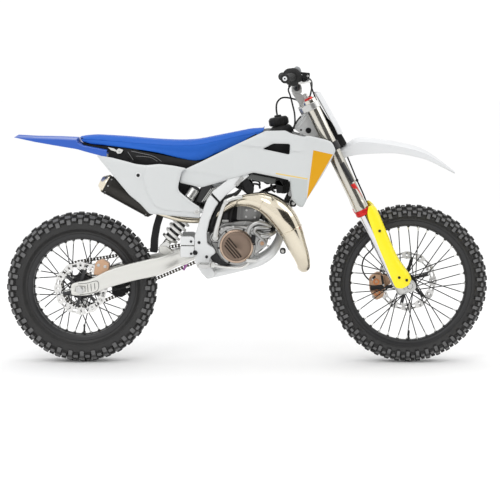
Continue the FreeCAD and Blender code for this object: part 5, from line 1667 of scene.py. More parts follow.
@dataclass
class Clamps:
    """Upper and lower fork clamps with stem, pinch bolts and bar mounts."""

    lower: Flat = (606.0, 640.0)
    upper: Flat = (785.0, 811.0)
    half: Sequence[Flat] = ((-20, 0), (-19, 26), (-4, 58), (-9, 76), (-12, 92), (2, 114), (24, 123), (44, 115),
                            (57, 97), (55, 76), (38, 54), (34, 26), (34, 0))

    def build(self) -> None:
        """Makes both clamps."""
        axis = STEER_AXIS
        parts = []
        for name, (low, high) in (("lower", self.lower), ("upper", self.upper)):
            finish = CLAMP_ALLOY if name == "upper" else BLACK_METAL
            half = [(e - 16 if name == "upper" and e < 5 and y > 60 else e, y) for e, y in self.half]
            outline = half + [(e, -y) for e, y in reversed(half[1:-1])]
            outline = rounded(outline, 10, 4)
            piece = Sculpt(f"{name}_clamp")
            piece.loft([[steer(s, e, y) for e, y in outline] for s in (low, high)])
            body = piece.done(finish, bevel=2.2)
            tools = []
            for y in (LEG_Y, -LEG_Y):
                tools.append(Sculpt("bore").lathe([(0, low - 5), (27.2, low - 5), (27.2, high + 5),
                        (0, high + 5)], steer(0, CLAMP_OFFSET, y), axis, 48).done(finish))
            for y in (44, -44):
                tools.append(Sculpt("pocket").lathe([(0, high - 7), (12, high - 7), (13, high + 2),
                        (0, high + 2)], steer(0, 8, y), axis, 24).done(finish))
            parts.append(cut(body, tools))
            for side in (1, -1):
                for s in (low + 8, high - 8):
                    BOLTS.add("steering", BLACK_METAL, (0, side, 0), 4.6, steer(s, -7, side * 110))
        stem = Sculpt("stem").lathe([(0, 600), (13.8, 600), (13.8, 812), (19, 812), (19, 822), (16, 824),
                (0, 824)], steer(0, 0), axis, 32)
        parts.append(stem.done(CLAMP_ALLOY))
        mounts = Sculpt("bar_mounts")
        for y in (40, -40):
            mounts.loft([[steer(809, e, y + v) for e, v in ((-14, -13), (26, -13), (26, 13), (-14, 13))],
                         [(829, y - 13, 1060), (865, y - 13, 1060), (865, y + 13, 1060), (829, y + 13, 1060)]])
            mounts.lathe([(8, 0), (8, 60)], steer(790, 20, y), axis, 12)
        parts.append(mounts.done(CLAMP_ALLOY, bevel=1.5))
        settle(joined("triple_clamp_set", parts), "steering", "dark_alloy", "triple_clamps")


@dataclass
class Cockpit:
    """Handlebar, crossbar, pad, grips, levers, perches, throttle and the hoses from them."""

    half: Sequence[Point] = ((846, 0, 1082), (846, 46, 1082), (847, 68, 1090), (848, 90, 1100),
                             (846, 150, 1126), (838, 190, 1128), (796, 372, 1122))

    def build(self) -> None:
        """Makes the cockpit."""
        self.bar()
        self.pad()
        self.grips()
        self.levers()
        self.lines()

    def bar(self) -> None:
        """Makes the bent bar with its crossbar and clamp blocks."""
        points = [(x, -y, z) for x, y, z in reversed(self.half[1:])] + list(self.half)
        radii = [11, 11, 11.2, 12, 13.4, 14] + [14, 14, 13.4, 12, 11.2, 11, 11]
        piece = Sculpt("bent_bar").tube(points, radii, 24, 8)
        piece.tube([(846, -140, 1121), (847, -60, 1133), (848, 0, 1134), (847, 60, 1133),
                    (846, 140, 1121)], 7, 16, 5)
        for y in (133, -133):
            piece.rod((846, y - 8, 1122), (846, y + 8, 1122), 15, 20, 2)
        settle(piece.done(BLACK_METAL), "steering", "black_metal", "handlebar")
        blocks = Sculpt("bar_blocks")
        for y in (40, -40):
            blocks.slab([(828, 1062.4), (866, 1062.4), (867, 1084), (862, 1098), (846, 1102), (830, 1098),
                                 (826, 1084)], y - 14, y + 14, 6)
            for x in (834, 858):
                BOLTS.add("steering", BLACK_METAL, UP, 4.2, (x, y - 8, 1099), (x, y + 8, 1099))
        settle(blocks.done(CLAMP_ALLOY, bevel=1.4), "steering", "dark_alloy")

    def pad(self) -> None:
        """Makes the crossbar's soft pad."""
        rings = []
        for y, share in smooth_path([(-84, 0.80), (-78, 0.96), (-66, 1.0), (0, 1.03), (66, 1.0), (78, 0.96),
                (84, 0.80)], 4):
            centre = (849, 1136)
            section = rounded([(842, 1169), (863, 1164), (868, 1114), (856, 1105), (838, 1110),
                               (831, 1152)], 12, 4)
            rings.append([(centre[0] + (x - centre[0]) * share, y, centre[1] + (z - centre[1]) * share)
                          for x, z in section])
        pad = Sculpt("crossbar_pad").loft(rings).done(FOAM, levels=1, angle=math.radians(80))
        settle(plumped(baked(pad), 0.004, 4.0, 0.004), "steering", "grey_foam", "bar_pad")

    def grips(self) -> None:
        """Makes the ribbed grips, their collars and the throttle housing."""
        for name, y in (("left", 1), ("right", -1)):
            inner, outer = Vector((825, y * 248, 1126)), Vector((797.2, y * 372, 1122))
            axis = (outer - inner).normalized()
            length = (outer - inner).length
            profile: list[Flat] = [(11.2, -5), (29, -5), (31, -3), (31, -1), (29, 0), (15.4, 1)]
            steps = 14
            for i in range(steps):
                s = 6 + (length - 14) * i / steps
                profile += [(15.0, s), (16.3, s + 1.2), (16.3, s + 5.2), (15.0, s + 6.4)]
            profile += [(15.4, length - 4), (17.6, length - 2), (17.8, length + 4), (16, length + 6),
                        (11.2, length + 6)]
            grip = Sculpt(f"{name}_grip_rubber").lathe(profile, inner, axis, 32, closed=True)
            grip.rod(outer + axis * 1, outer + axis * 6.5, 12, 20)
            settle(grip.done(RUBBER), "steering", "rubber", "grips")
            ring = Sculpt(f"{name}_bar_end").lathe([(3.4, 6), (8.6, 6), (8.6, 7.6), (7.8, 8.2), (4.2, 8.2),
                    (3.4, 7.6)], outer, axis, 24, closed=True)
            settle(ring.done(PLATE_WHITE), "steering", "white_plastic")
        start = Vector((825, -248, 1126))
        back = (start - Vector((797.2, -372, 1122))).normalized()
        housing = Sculpt("throttle_housing").lathe([(11.4, 5), (31, 5), (34, 8), (34, 24), (31, 30), (20, 34),
                (11.4, 34)], start, back, 36, closed=True)
        housing.tube([(832, -228, 1120), (820, -222, 1102), (815, -210, 1090)], [10, 7, 5], 16, 5)
        settle(housing.done(BLACK), "steering", "black_plastic")

    def levers(self) -> None:
        """Makes both levers on their perches and the brake's reservoir."""
        lever, perch = Sculpt("hand_levers"), Sculpt("lever_perches")
        for y in (1, -1):
            path = [(868, 188, 1116), (880, 200, 1113.5), (891, 222, 1110), (888, 246, 1108.4),
                    (868, 290, 1106), (857, 330, 1105), (852, 358, 1104.4)]
            lever.tube([(px, py * y, pz) for px, py, pz in path], [6.5, 7, 6, 5.2, 5.4, 5.8, 6.6], 16, 6, 0.62)
            perch.lathe([(11.4, -2), (16, -2), (17, 0), (17, 24), (16, 26), (11.4, 26)], (838, 181 * y, 1127.8),
                        (Vector((832, 206 * y, 1126.8)) - Vector((838, 182 * y, 1127.8))), 28, closed=True)
            outline = rounded([(840, 1113), (872, 1107), (886, 1110), (887, 1121), (872, 1128), (846, 1138)], 5)
            low, high = sorted((y * 182, y * 205))
            perch.slab(outline, low, high)
            BOLTS.add("steering", STEEL, UP, 5, (876, y * 194, 1124))
        perch.slab([(846, 1124), (890, 1118), (893, 1142), (850, 1146)], -236, -206, 5)
        BOLTS.add("steering", STEEL, RIGHT, 4.6, (858, -236, 1134), (884, -236, 1130))
        perch.tube([(870, -182, 1122), (874, -206, 1122), (876, -226, 1122)], 10, 16, 3)
        settle(lever.done(MACHINED), "steering", "alloy")
        settle(perch.done(BLACK_METAL, bevel=1.2), "steering", "black_metal")

    def lines(self) -> None:
        """Makes the throttle and clutch lines that run down to the head."""
        piece = Sculpt("control_lines")
        piece.tube([(816, -212, 1092), (812, -190, 1076), (820, -140, 1054), (830, -84, 1018), (838, -52, 985),
                    (840, -46, 950), (835, -46, 922)], 3.2, 12, 8)
        piece.tube([(884, 206, 1116), (904, 160, 1114), (910, 96, 1092), (900, 50, 1044), (880, 44, 990),
                    (850, 44, 950), (834, 46, 922)], 3.4, 12, 8)
        settle(piece.done(RUBBER), "steering", "rubber")


@dataclass
class FrontBrakeUnit:
    """Front caliper, its bracket and the hose down the right leg."""

    def build(self) -> None:
        """Makes the caliper with its rings and bridge, the hose and its guides."""
        outline = rounded([(1140, 330), (1172, 352), (1196, 344), (1206, 300), (1196, 250), (1166, 236),
                           (1142, 276)], 12)
        body = Sculpt("front_caliper").slab(outline, 38.2, 71.8).done(BRAKE_BRONZE, bevel=3)
        gap = Sculpt("gap").lathe([(0, -7), (127, -7), (127, 7), (0, 7)],
                                  (WHEELBASE, 56, FRONT_RADIUS), LEFT, 72)
        window = Sculpt("window").slab([(1158, 310), (1178, 326), (1186, 288), (1176, 262),
                (1160, 270)], 60, 80, 6)
        body = cut(body, [gap.done(BRAKE_BRONZE), window.done(BRAKE_BRONZE)])
        extra = Sculpt("caliper_details")
        for x, z in ((1164, 318), (1168, 266)):
            extra.lathe([(0, 4.6), (8.6, 4.6), (10.4, 3), (11.6, 0), (0, 0)], (x, 71, z), LEFT, 24)
        extra.slab([(1194, 342), (1224, 340), (1228, 300), (1196, 282)], 66, 73, 6)
        parts = [body, extra.done(BRAKE_BRONZE, bevel=1)]
        settle(joined("front_caliper", parts), "steering", "bronze", "front_brake")
        BOLTS.add("steering", STEEL, LEFT, 5.5, (1212, 73, 330), (1214, 73, 304))
        BOLTS.add("steering", STEEL, RIGHT, 5.5, (1152, 38, 322), (1156, 38, 252), (1196, 38, 300))
        rings = Sculpt("caliper_piston_rings")
        for x, z in ((1168, 312), (1172, 268)):
            rings.lathe([(7, -1), (12.6, -1), (12.6, 2.2), (11.6, 3), (8, 3), (7, 2.2)], (x, 38.4, z), RIGHT,
                        28, closed=True)
        settle(rings.done(SEAL_ORANGE, bevel=0.6), "steering", "bronze")
        bridge = Sculpt("caliper_bridge").slab([(1144, 296), (1196, 300), (1198, 282),
                (1144, 278)], 34.4, 39, 4)
        bridge.slab([(1184, 340), (1194, 336), (1200, 304), (1192, 300)], 35, 39, 3)
        bridge.slab([(1146, 322), (1162, 338), (1166, 332), (1150, 316)], 35, 39, 3)
        settle(bridge.done(BLACK_METAL, bevel=1), "steering", "black_metal")
        path = [(882, -194, 1116), (896, -130, 1110), (904, -60, 1084), (918, -10, 1050), steer(798, 52, 14),
                steer(700, 54, 34), steer(640, 66, 48), steer(560, 66, 58), steer(450, 60, 60),
                steer(360, 56, 60), steer(270, 34, 60), steer(205, 6, 58), (1154, 52, 446), (1122, 52, 410),
                (1112, 54, 372), (1122, 55, 338), (1146, 56, 312)]
        hose = Sculpt("front_brake_hose").tube(path, 3.0, 12, 6)
        settle(hose.done(RUBBER), "steering", "rubber")
        guides = Sculpt("hose_guides")
        for s, e in ((450, 60), (356, 55), (250, 32)):
            guides.rod(steer(s - 4, e, 60), steer(s + 4, e, 60), 5.2, 16)
            guides.slab([(p[0], p[2]) for p in (steer(s - 4, e, 0), steer(s - 4, e - 26, 0),
                    steer(s + 4, e - 26, 0), steer(s + 4, e, 0))], 59, 62)
        settle(guides.done(BLACK), "steering", "black_plastic")


# Chassis


@dataclass
class MainFrame:
    """Painted frame: head, backbone, beams, pivot plates, cradle and rear rails."""

    rail: float = 8.0

    def build(self) -> None:
        """Makes the frame and its guards."""
        axis = STEER_AXIS
        middle = Sculpt("frame_middle")
        middle.lathe([(14.4, 643), (30.5, 643), (31, 645), (31, 654), (28.6, 660), (28.6, 766), (31, 771),
                      (31, 780), (30.5, 782), (14.4, 782)], steer(0, 0), axis, 40, closed=True)
        middle.tube([steer(706, -4), steer(700, -14), (830, 0, 822), (740, 0, 778), (645, 0, 752)], 21, 28, 5)
        middle.tube([steer(712, -8), steer(655, -62), (862, 0, 722), (806, 0, 598), (787, 0, 522)],
                    [18, 17, 17, 17, 16.4], 28, 6)
        middle.slab([(p[0], p[2]) for p in (steer(776, -22), steer(652, -22), steer(650, -64))]
                    + [(850, 742), (840, 800)], -5, 5)
        plate = rounded([(836, 926), (880, 982), (896, 992), (936, 900), (905, 888), (862, 904)], 5)
        middle.slab(plate, 31, 34.5).slab(plate, -34.5, -31)
        for u0, u1 in (((846, 934), (886, 984)), ((856, 930), (892, 976))):
            for y in (35, -35):
                middle.rod((u0[0], y, u0[1]), (u1[0], y, u1[1]), 1.6, 8)
        for start, end, r in (((645, -70, 752), (645, 70, 752), 15), ((592, -70, 711), (592, 70, 711), 12),
                              ((506, -86, 356), (506, 86, 356), 10), ((242, -60, 766), (242, 60, 766), 6),
                              ((100, -60, 797), (100, 60, 797), 6)):
            middle.rod(start, end, r, 24)
        for y in (9, -31):
            middle.slab([(478, 704), (500, 712), (596, 724), (596, 698), (500, 680), (478, 682)], y, y + 6, 6)
        middle.tube([(797, 0, 560), (790, 0, 536), (786, 0, 514), (783, 3, 500)], [16.6, 17, 17.4, 15], 24, 4)
        sides = Sculpt("frame_sides")
        sides.tube([(786, 3, 520), (779, 26, 486), (752, 56, 440), (700, 66, 404), (620, 72, 382),
                    (536, 79, 362), (500, 88, 352)], [15, 16, 17, 17, 16, 15, 12], 24, 6)
        sides.tube([(610, 60, 764), (430, 62, 764), (300, 62, 762), (240, 62, 766), (150, 62, 786),
                    (106, 62, 796)], self.rail, 20, 5)
        sides.tube([(488, -76, 600), (420, -67, 630), (360, -62, 664), (300, -60, 704), (166, -62, 784)],
                   self.rail, 20, 5)
        sides.mirror()
        beams = Sculpt("frame_beams")
        beams.slab([(630, 766), (665, 746), (604, 697), (562, 658), (547, 641), (516, 674),
                    (522, 685)], 66, 98, 8)
        beams.mirror()
        parts = [middle.done(FRAME_PAINT, bevel=1.2), sides.done(FRAME_PAINT), beams.done(FRAME_PAINT, bevel=5)]
        settle(joined("frame_welded", parts), "chassis", "frame", "frame")
        plugs = Sculpt("head_plugs").rod((893, 34, 917), (893, 38, 917), 11, 24, 1.5).rod((864, 34, 919),
                (864, 36, 919), 4, 12)
        settle(plugs.mirror().done(BLACK), "chassis", "black_plastic")
        self.plates()
        self.guards()

    def plates(self) -> None:
        """Makes the pivot plates with the moulded covers on them."""
        lower = rounded([(513, 671), (544, 638), (535, 627), (519, 596), (508, 569), (497, 520), (499, 479),
                         (526, 461), (532, 442), (512, 429), (506, 411), (516, 384), (532, 362), (524, 345),
                         (498, 340), (478, 362), (454, 398), (450, 425), (450, 510), (462, 546), (470, 572),
                         (486, 620), (496, 646)], 7)
        cover = Sculpt("frame_covers").slab(lower, 68, 99.5).mirror()
        settle(cover.done(GUARD_WHITE, bevel=4), "chassis", "white_plastic")
        BOLTS.both_sides("chassis", BLACK_METAL, 6.0, (467, 99.5, 484), (496.5, 99.5, 428))
        BOLTS.both_sides("chassis", BLACK_METAL, 9.5, (452, 100, 444))
        hanger = Sculpt("engine_hangers").slab([(604, 710), (632, 744), (642, 735), (617, 702)], 97, 102, 3)
        settle(hanger.mirror().done(CAST, bevel=1), "chassis", "alloy")
        BOLTS.both_sides("chassis", STEEL, 5.5, (613, 102, 711), (633, 102, 736))
        # A black strip along the split between frame beam and cover: painted shade in the gap.
        seams = Sculpt("cover_seams").slab([(515, 673), (519, 677), (549, 644), (546, 640)], 70, 98.6).mirror()
        settle(seams.done(BLACK), "chassis", "black_plastic")

    def guards(self) -> None:
        """Makes the two-part guards behind the pivot."""
        piece = Sculpt("pivot_guards")
        piece.slab([(394, 473), (394, 507), (440, 507), (449, 500), (449, 473)], 84, 99, 5)
        piece.slab([(394, 426), (394, 469), (449, 469), (449, 432), (442, 426)], 84, 99, 5)
        piece.mirror()
        settle(piece.done(GUARD_WHITE, bevel=2.5), "chassis", "white_plastic", "frame_guards")
        BOLTS.both_sides("chassis", BLACK_METAL, 5.0, (436, 99.4, 488), (436, 99.4, 440))


@dataclass
class RearSuspension:
    """Swingarm, shock with spring, chain slider and rear caliper."""

    shock_low: Point = (320, -8, 448)
    shock_high: Point = (490, -8, 694)

    def build(self) -> None:
        """Makes the swingarm and shock."""
        self.arm()
        self.shock()
        self.caliper()

    def shock_at(self, s: float) -> Vector:
        """Gives the point s up the damper's axis."""
        low, high = Vector(self.shock_low), Vector(self.shock_high)
        return low + (high - low).normalized() * s

    def arm(self) -> None:
        """Makes the tapered swingarm with axle blocks, black lines of painted shade round them and the chain
        slider.
        """
        stations = [(-33, 91, 299, 11.5, 17), (-28, 91, 299.3, 12.6, 22), (-10, 91, 301, 13, 26),
                    (40, 91, 308, 13, 30), (110, 91, 339, 13, 34), (200, 90.5, 366, 13, 35),
                    (300, 90, 388, 13, 35), (350, 87, 405, 11, 32), (388, 77.5, 419, 6, 29),
                    (475, 77.5, 448, 5, 22)]
        piece = Sculpt("swingarm_beams")
        rings = []
        for x, y, z, t, h in smooth_path(stations, 4):
            e = min(5.0, t * 0.6)
            rings.append([(x, y + a, z + b) for a, b in ((-t + e, -h), (t - e, -h), (t - 1.4, -h + 1.4),
                    (t, -h + e), (t, -h * 0.5), (t - 1.2, -h * 0.42), (t - 1.2, h * 0.42), (t, h * 0.5),
                    (t, h - e), (t - 1.4, h - 1.4), (t - e, h), (-t + e, h), (-t, h - e), (-t, -h + e))])
        piece.loft(rings).mirror()
        body = piece.done(SWINGARM_ALLOY)
        slot = Sculpt("slot").slab([(-18, 289), (24, 289), (24, 311), (-18, 311)], 97, 120, 9).mirror()
        body = cut(body, [slot.done(SWINGARM_ALLOY)])
        middle = Sculpt("swingarm_cross")
        middle.slab([(350, 384), (425, 396), (432, 440), (404, 446), (350, 436)], -78, 78, 10)
        middle.lathe([(8.2, -82), (19, -82), (19, 50), (13, 50), (13, 82), (8.2, 82)], (452, 0, 444), LEFT,
                     36, closed=True)
        middle.slab([(420, 400), (452, 428), (452, 460), (420, 440)], -70, 50, 6)
        for y in (9, -32):
            middle.slab([(306, 440), (310, 462), (334, 462), (372, 432), (356, 410)], y, y + 7, 8)
        for side in (1, -1):
            middle.lathe([(10.8, 0), (17, 0), (17, 8), (10.8, 8)], (0, 71 * side, REAR_RADIUS), (0, side, 0),
                         32, closed=True)
        parts = [body, middle.done(SWINGARM_ALLOY, bevel=2.5)]
        settle(joined("swingarm_welded", parts), "chassis", "alloy", "swingarm")
        blocks = Sculpt("axle_blocks")
        blocks.slab([(-15, 290.5), (20, 290.5), (20, 309.5), (-15, 309.5)], 98.5, 104.6, 5).mirror()
        for side in (1, -1):
            blocks.rod((-38, 91 * side, 299), (-30, 91 * side, 299), 5.5, 6, 0.6)
        settle(blocks.done(MACHINED, bevel=1), "chassis", "alloy")
        # Black lines where the grooves round the axle blocks lie: painted shade in the grooves.
        seams = Sculpt("axle_block_seams")
        for line in (
                [(-6, 104, 322), (30, 104, 325), (62, 104, 333), (74, 104, 326), (71, 104, 298), (48, 104, 286),
                 (0, 104, 279)], [(31, 104, 320), (33, 104, 289)], [(44, 104, 322), (46, 104, 293)],
                [(58, 104, 324), (60, 104, 299)]):
            seams.tube(line, 1.0, 8, 4)
        settle(seams.mirror().done(BLACK_METAL), "chassis", "black_metal")
        slider = Sculpt("chain_slider")
        slider.slab([(352, 430), (424, 436), (424, 452), (352, 436)], 54, 76, 4)
        settle(slider.done(BLACK, bevel=2), "chassis", "black_plastic")

    def shock(self) -> None:
        """Makes the damper, reservoir and white spring."""
        axis = Vector(self.shock_high) - Vector(self.shock_low)
        body = Sculpt("damper_body")
        clevis = Sculpt("damper_clevis").lathe([(0, -4), (13, -4), (14.5, 0), (14.5, 40), (19, 44), (32.4, 47),
                (33.6, 50), (33.6, 57.6), (0, 57.6)], self.shock_low, axis, 40)
        for y in (-17, 12):
            clevis.slab([(304, 434), (330, 430), (352, 470), (334, 482), (306, 460)], -8 + y, -3 + y, 6)
        settle(clevis.done(MACHINED, bevel=1), "chassis", "alloy")
        body.lathe([(0, 2), (12, 2), (12, 50), (31, 50), (33, 52), (33, 56), (31, 57.5), (22, 57.5), (22, 187),
                    (31, 187), (33, 189), (33, 196), (31, 197.5), (23.5, 197.5), (23.5, 204), (22, 205),
                    (22, 268), (14, 272), (14, 297), (0, 297)], self.shock_low, axis, 40)
        for point in (self.shock_low, self.shock_high):
            body.lathe([(0, -16.4), (13, -16.4), (13, 16.4), (0, 16.4)], point, LEFT, 28)
        settle(body.done(DARK_ALLOY), "chassis", "cast_alloy", "shock")
        collar = Sculpt("preload_rings")
        for s in (198, 206):
            collar.lathe([(22.4, s), (27, s), (28, s + 1), (28, s + 5), (27, s + 6), (22.4, s + 6)],
                         self.shock_low, axis, 40, closed=True)
        settle(collar.done(MACHINED), "chassis", "alloy")
        self.reservoir()
        coil = in_scene("shock_coil", bpy.data.meshes.new("shock_coil"))
        grown(coil, spring_tree(), SPRING_WHITE, Radius=0.0295, Height=0.1215, Turns=5.5, Wire=0.0060)
        turn = axis.to_track_quat("Z", "Y").to_matrix().to_4x4()
        place = Matrix.Translation(at(*self.shock_at(61.8)))
        coil.data.transform(place @ turn)
        settle(coil, "chassis", "white_metal", "shock_spring")

    def reservoir(self) -> None:
        """Makes the damper's bright gas reservoir with its bridge and clamps."""
        axis = Vector(self.shock_high) - Vector(self.shock_low)
        can = Sculpt("gas_reservoir")
        can.lathe([(0, 0), (17, 0), (20, 3), (20, 26), (21.5, 28), (21.5, 33), (20, 35), (20, 66), (17, 70),
                   (0, 70)], (412, -72, 634), axis, 40)
        for k in range(4):
            base = Vector((478 + 9 * k, -62, 640 + 3 * k))
            can.lathe([(0, 0), (2.4, 0), (2.4, 62), (0, 62)], base, axis, 12)
        settle(can.done(MACHINED), "chassis", "alloy")
        block = Sculpt("reservoir_bridge")
        block.slab([(454, 640), (500, 628), (528, 676), (520, 704), (478, 704)], -58, -20, 6)
        block.lathe([(14, 70), (18.6, 70), (18.6, 78), (10, 80), (0, 80)], (412, -72, 634), axis, 32)
        settle(block.done(DARK_ALLOY, bevel=2), "chassis", "dark_alloy")

    def caliper(self) -> None:
        """Makes the rear caliper over the disc."""
        outline = rounded([(52, 352), (60, 404), (88, 416), (116, 398), (112, 366), (82, 352)], 9)
        body = Sculpt("rear_caliper_body").slab(outline, -77.4, -42.2).done(BRAKE_BRONZE, bevel=3)
        gap = Sculpt("gap").lathe([(0, -7), (113, -7), (113, 7), (0, 7)], (0, -58, REAR_RADIUS), LEFT, 72)
        body = cut(body, [gap.done(BRAKE_BRONZE)])
        settle(body, "chassis", "bronze", "rear_caliper")
        BOLTS.add("chassis", STEEL, RIGHT, 6.5, (72, -77.4, 392), (98, -77.4, 386))


@dataclass
class DriveTrain:
    """Roller chain, rear sprocket, guide and the axle ends."""

    pitch: float = 12.7
    rear_teeth: int = 46
    front_teeth: int = 13
    y: float = 62.0
    front: Flat = (528.0, 452.0)
    link_end: float = 0.0048
    roller: float = 0.0039
    roller_half: float = 0.0068

    def radius(self, teeth: int) -> float:
        """Gives a sprocket's pitch radius."""
        return self.pitch / (2 * math.sin(math.pi / teeth))

    def build(self) -> None:
        """Makes the drive."""
        self.chain()
        self.sprocket()
        self.guide()
        self.axles()

    def loop(self) -> list[Flat]:
        """Gives the pitch line as closely spaced (x, z) points."""
        rear, front = self.radius(self.rear_teeth), self.radius(self.front_teeth)
        dx, dz = self.front[0], self.front[1] - REAR_RADIUS
        base, tilt = math.atan2(dz, dx), math.acos((rear - front) / math.hypot(dx, dz))
        points = [(self.front[0] + front * math.cos(t), self.front[1] + front * math.sin(t))
                  for t in (base - tilt + 2 * tilt * i / 16 for i in range(17))]
        sweep = 2 * math.pi - 2 * tilt
        points += [(rear * math.cos(t), REAR_RADIUS + rear * math.sin(t))
                   for t in (base + tilt + sweep * i / 60 for i in range(61))]
        return points

    @staticmethod
    def prism(bm: bmesh.types.BMesh, ring: Sequence[Flat], low: float, high: float) -> None:
        """Adds a ring of (x, z), in metres, drawn out from low to high across the chain."""
        near = [bm.verts.new((a, low, b)) for a, b in ring]
        far = [bm.verts.new((a, high, b)) for a, b in ring]
        bm.faces.new(near)
        bm.faces.new(far[::-1])
        for i in range(len(ring)):
            j = (i + 1) % len(ring)
            bm.faces.new((near[i], near[j], far[j], far[i]))

    def chain(self) -> None:
        """Makes inner and outer links along the pitch line."""
        points = self.loop()
        length = sum(math.dist(a, b) for a, b in zip(points, points[1:] + points[:1]))
        count = 2 * round(length / self.pitch / 2)
        curve = bpy.data.curves.new("pitch_line", "CURVE")
        curve.dimensions = "3D"
        curve.twist_mode = "Z_UP"
        spline = curve.splines.new("POLY")
        spline.points.add(len(points) - 1)
        for item, (x, z) in zip(spline.points, points):
            item.co = (*at(x, self.y, z), 1)
        spline.use_cyclic_u = True
        line = in_scene("pitch_line", curve)
        parts = []
        step = length / count / 1000
        for parity, gap, thick in ((0, 2.6, 1.5), (1, 4.6, 1.5)):
            bm = bmesh.new()
            for side in (1, -1):
                ring = []
                for t in even_turns(16):
                    along_x = (step / 2) * (1 if math.cos(t) > 0 else -1) + self.link_end * math.cos(t)
                    waist = 1.0 if abs(math.cos(t)) > 0.2 else 0.82
                    ring.append((self.link_end * math.sin(t) * waist, along_x))
                y0, y1 = side * gap / 1000, side * (gap + thick) / 1000
                self.prism(bm, ring, y0, y1)
            if parity == 0:
                for along_z in (-step / 2, step / 2):
                    self.prism(bm, [(self.roller * math.cos(t), self.roller * math.sin(t) + along_z)
                                    for t in even_turns(10)], -self.roller_half, self.roller_half)
            bmesh.ops.recalc_face_normals(bm, faces=bm.faces)
            link = in_scene(f"links_{parity}", meshed("links", bm))
            parts.append(grown(link, path_tree(), CHAIN, Path=line, Count=count + 1, Parity=parity))
        bpy.data.objects.remove(line)
        settle(joined("chain_links", parts), "chassis", "chain_steel", "chain")

    def sprocket(self) -> None:
        """Makes the rear sprocket with rounded teeth and windows."""
        r = self.radius(self.rear_teeth)
        outline = toothed((0, REAR_RADIUS), self.rear_teeth,
                          ((0.0, r - 4.2), (0.16, r - 3.4), (0.32, r + 0.2), (0.44, r + 3.2), (0.56, r + 3.2),
                           (0.68, r + 0.2), (0.84, r - 3.4)))
        plate = Sculpt("sprocket_plate").slab(outline, self.y - 2, self.y + 2).done(MACHINED)
        tools = [Sculpt("bore").lathe([(0, -6), (30, -6), (30, 6), (0, 6)], (0, self.y, REAR_RADIUS), LEFT,
                48).done(MACHINED)]
        window = Sculpt("window").slab([(-16, REAR_RADIUS + 48), (16, REAR_RADIUS + 48), (24, REAR_RADIUS + 76),
                (0, REAR_RADIUS + 81), (-24, REAR_RADIUS + 76)], self.y - 6, self.y + 6, 7)
        tools.append(ringed(window.done(MACHINED), MACHINED, (0, 0, REAR_RADIUS), 6, 30))
        plate = cut(plate, tools)
        boss = Sculpt("sprocket_boss").lathe([(20.6, 34.2), (38, 34.2), (38, 60), (40, 60), (40, 64), (30, 64),
                (20.6, 50)], (0, 0, REAR_RADIUS), LEFT, 48, closed=True)
        parts = [plate, boss.done(MACHINED)]
        settle(joined("rear_sprocket_plate", parts), "rear_wheel", "alloy", "rear_sprocket")
        for k in range(6):
            t = math.pi / 3 * k
            BOLTS.add("rear_wheel", STEEL, LEFT, 5.2, (35 * math.sin(t), 64, REAR_RADIUS + 35 * math.cos(t)))

    def guide(self) -> None:
        """Makes the chain guide under the left beam and the small pad behind the pivot."""
        block = Sculpt("chain_guide_block").slab([(112, 305), (186, 328), (190, 300), (176, 262), (150, 246),
                (112, 258)], 48.2, 77.2, 7).done(BLACK, bevel=2)
        channel = Sculpt("channel").slab([(80, 222), (80, 262), (220, 318), (220, 282)], 50, 74).done(BLACK)
        settle(cut(block, [channel]), "chassis", "black_plastic", "chain_guide")

        pad = Sculpt("chain_pad").slab([(396, 358), (404, 356), (420, 388), (408, 392)], 40, 47)
        settle(pad.done(PURPLE, bevel=1), "chassis", "red_anodised")

    def axles(self) -> None:
        """Makes the bright axle ends and nuts."""
        rear = Sculpt("rear_axle_ends").rod((0, -113, REAR_RADIUS), (0, 113, REAR_RADIUS), 9.4, 32)
        rear.lathe([(9.4, 105), (16, 105), (16, 106.6), (14.2, 107), (14.2, 113.2), (12.6, 114), (9.4, 114)],
                   (0, 0, REAR_RADIUS), RIGHT, 6, closed=True)
        rear.lathe([(9.4, 104.8), (15, 104.8), (15.5, 106), (15.5, 112), (14, 113.6), (9.4, 113.6)],
                   (0, 0, REAR_RADIUS), LEFT, 32, closed=True)
        settle(rear.done(STEEL), "chassis", "steel", "rear_axle")
        front = Sculpt("front_axle_ends").rod((WHEELBASE, -108, FRONT_RADIUS),
                (WHEELBASE, 112, FRONT_RADIUS), 9.4, 32)
        front.lathe([(9.4, 106), (15.5, 106), (15.5, 112), (14, 114.5), (9.4, 114.5)],
                    (WHEELBASE, 0, FRONT_RADIUS), LEFT, 6, closed=True)
        settle(front.done(STEEL), "steering", "steel", "front_axle")


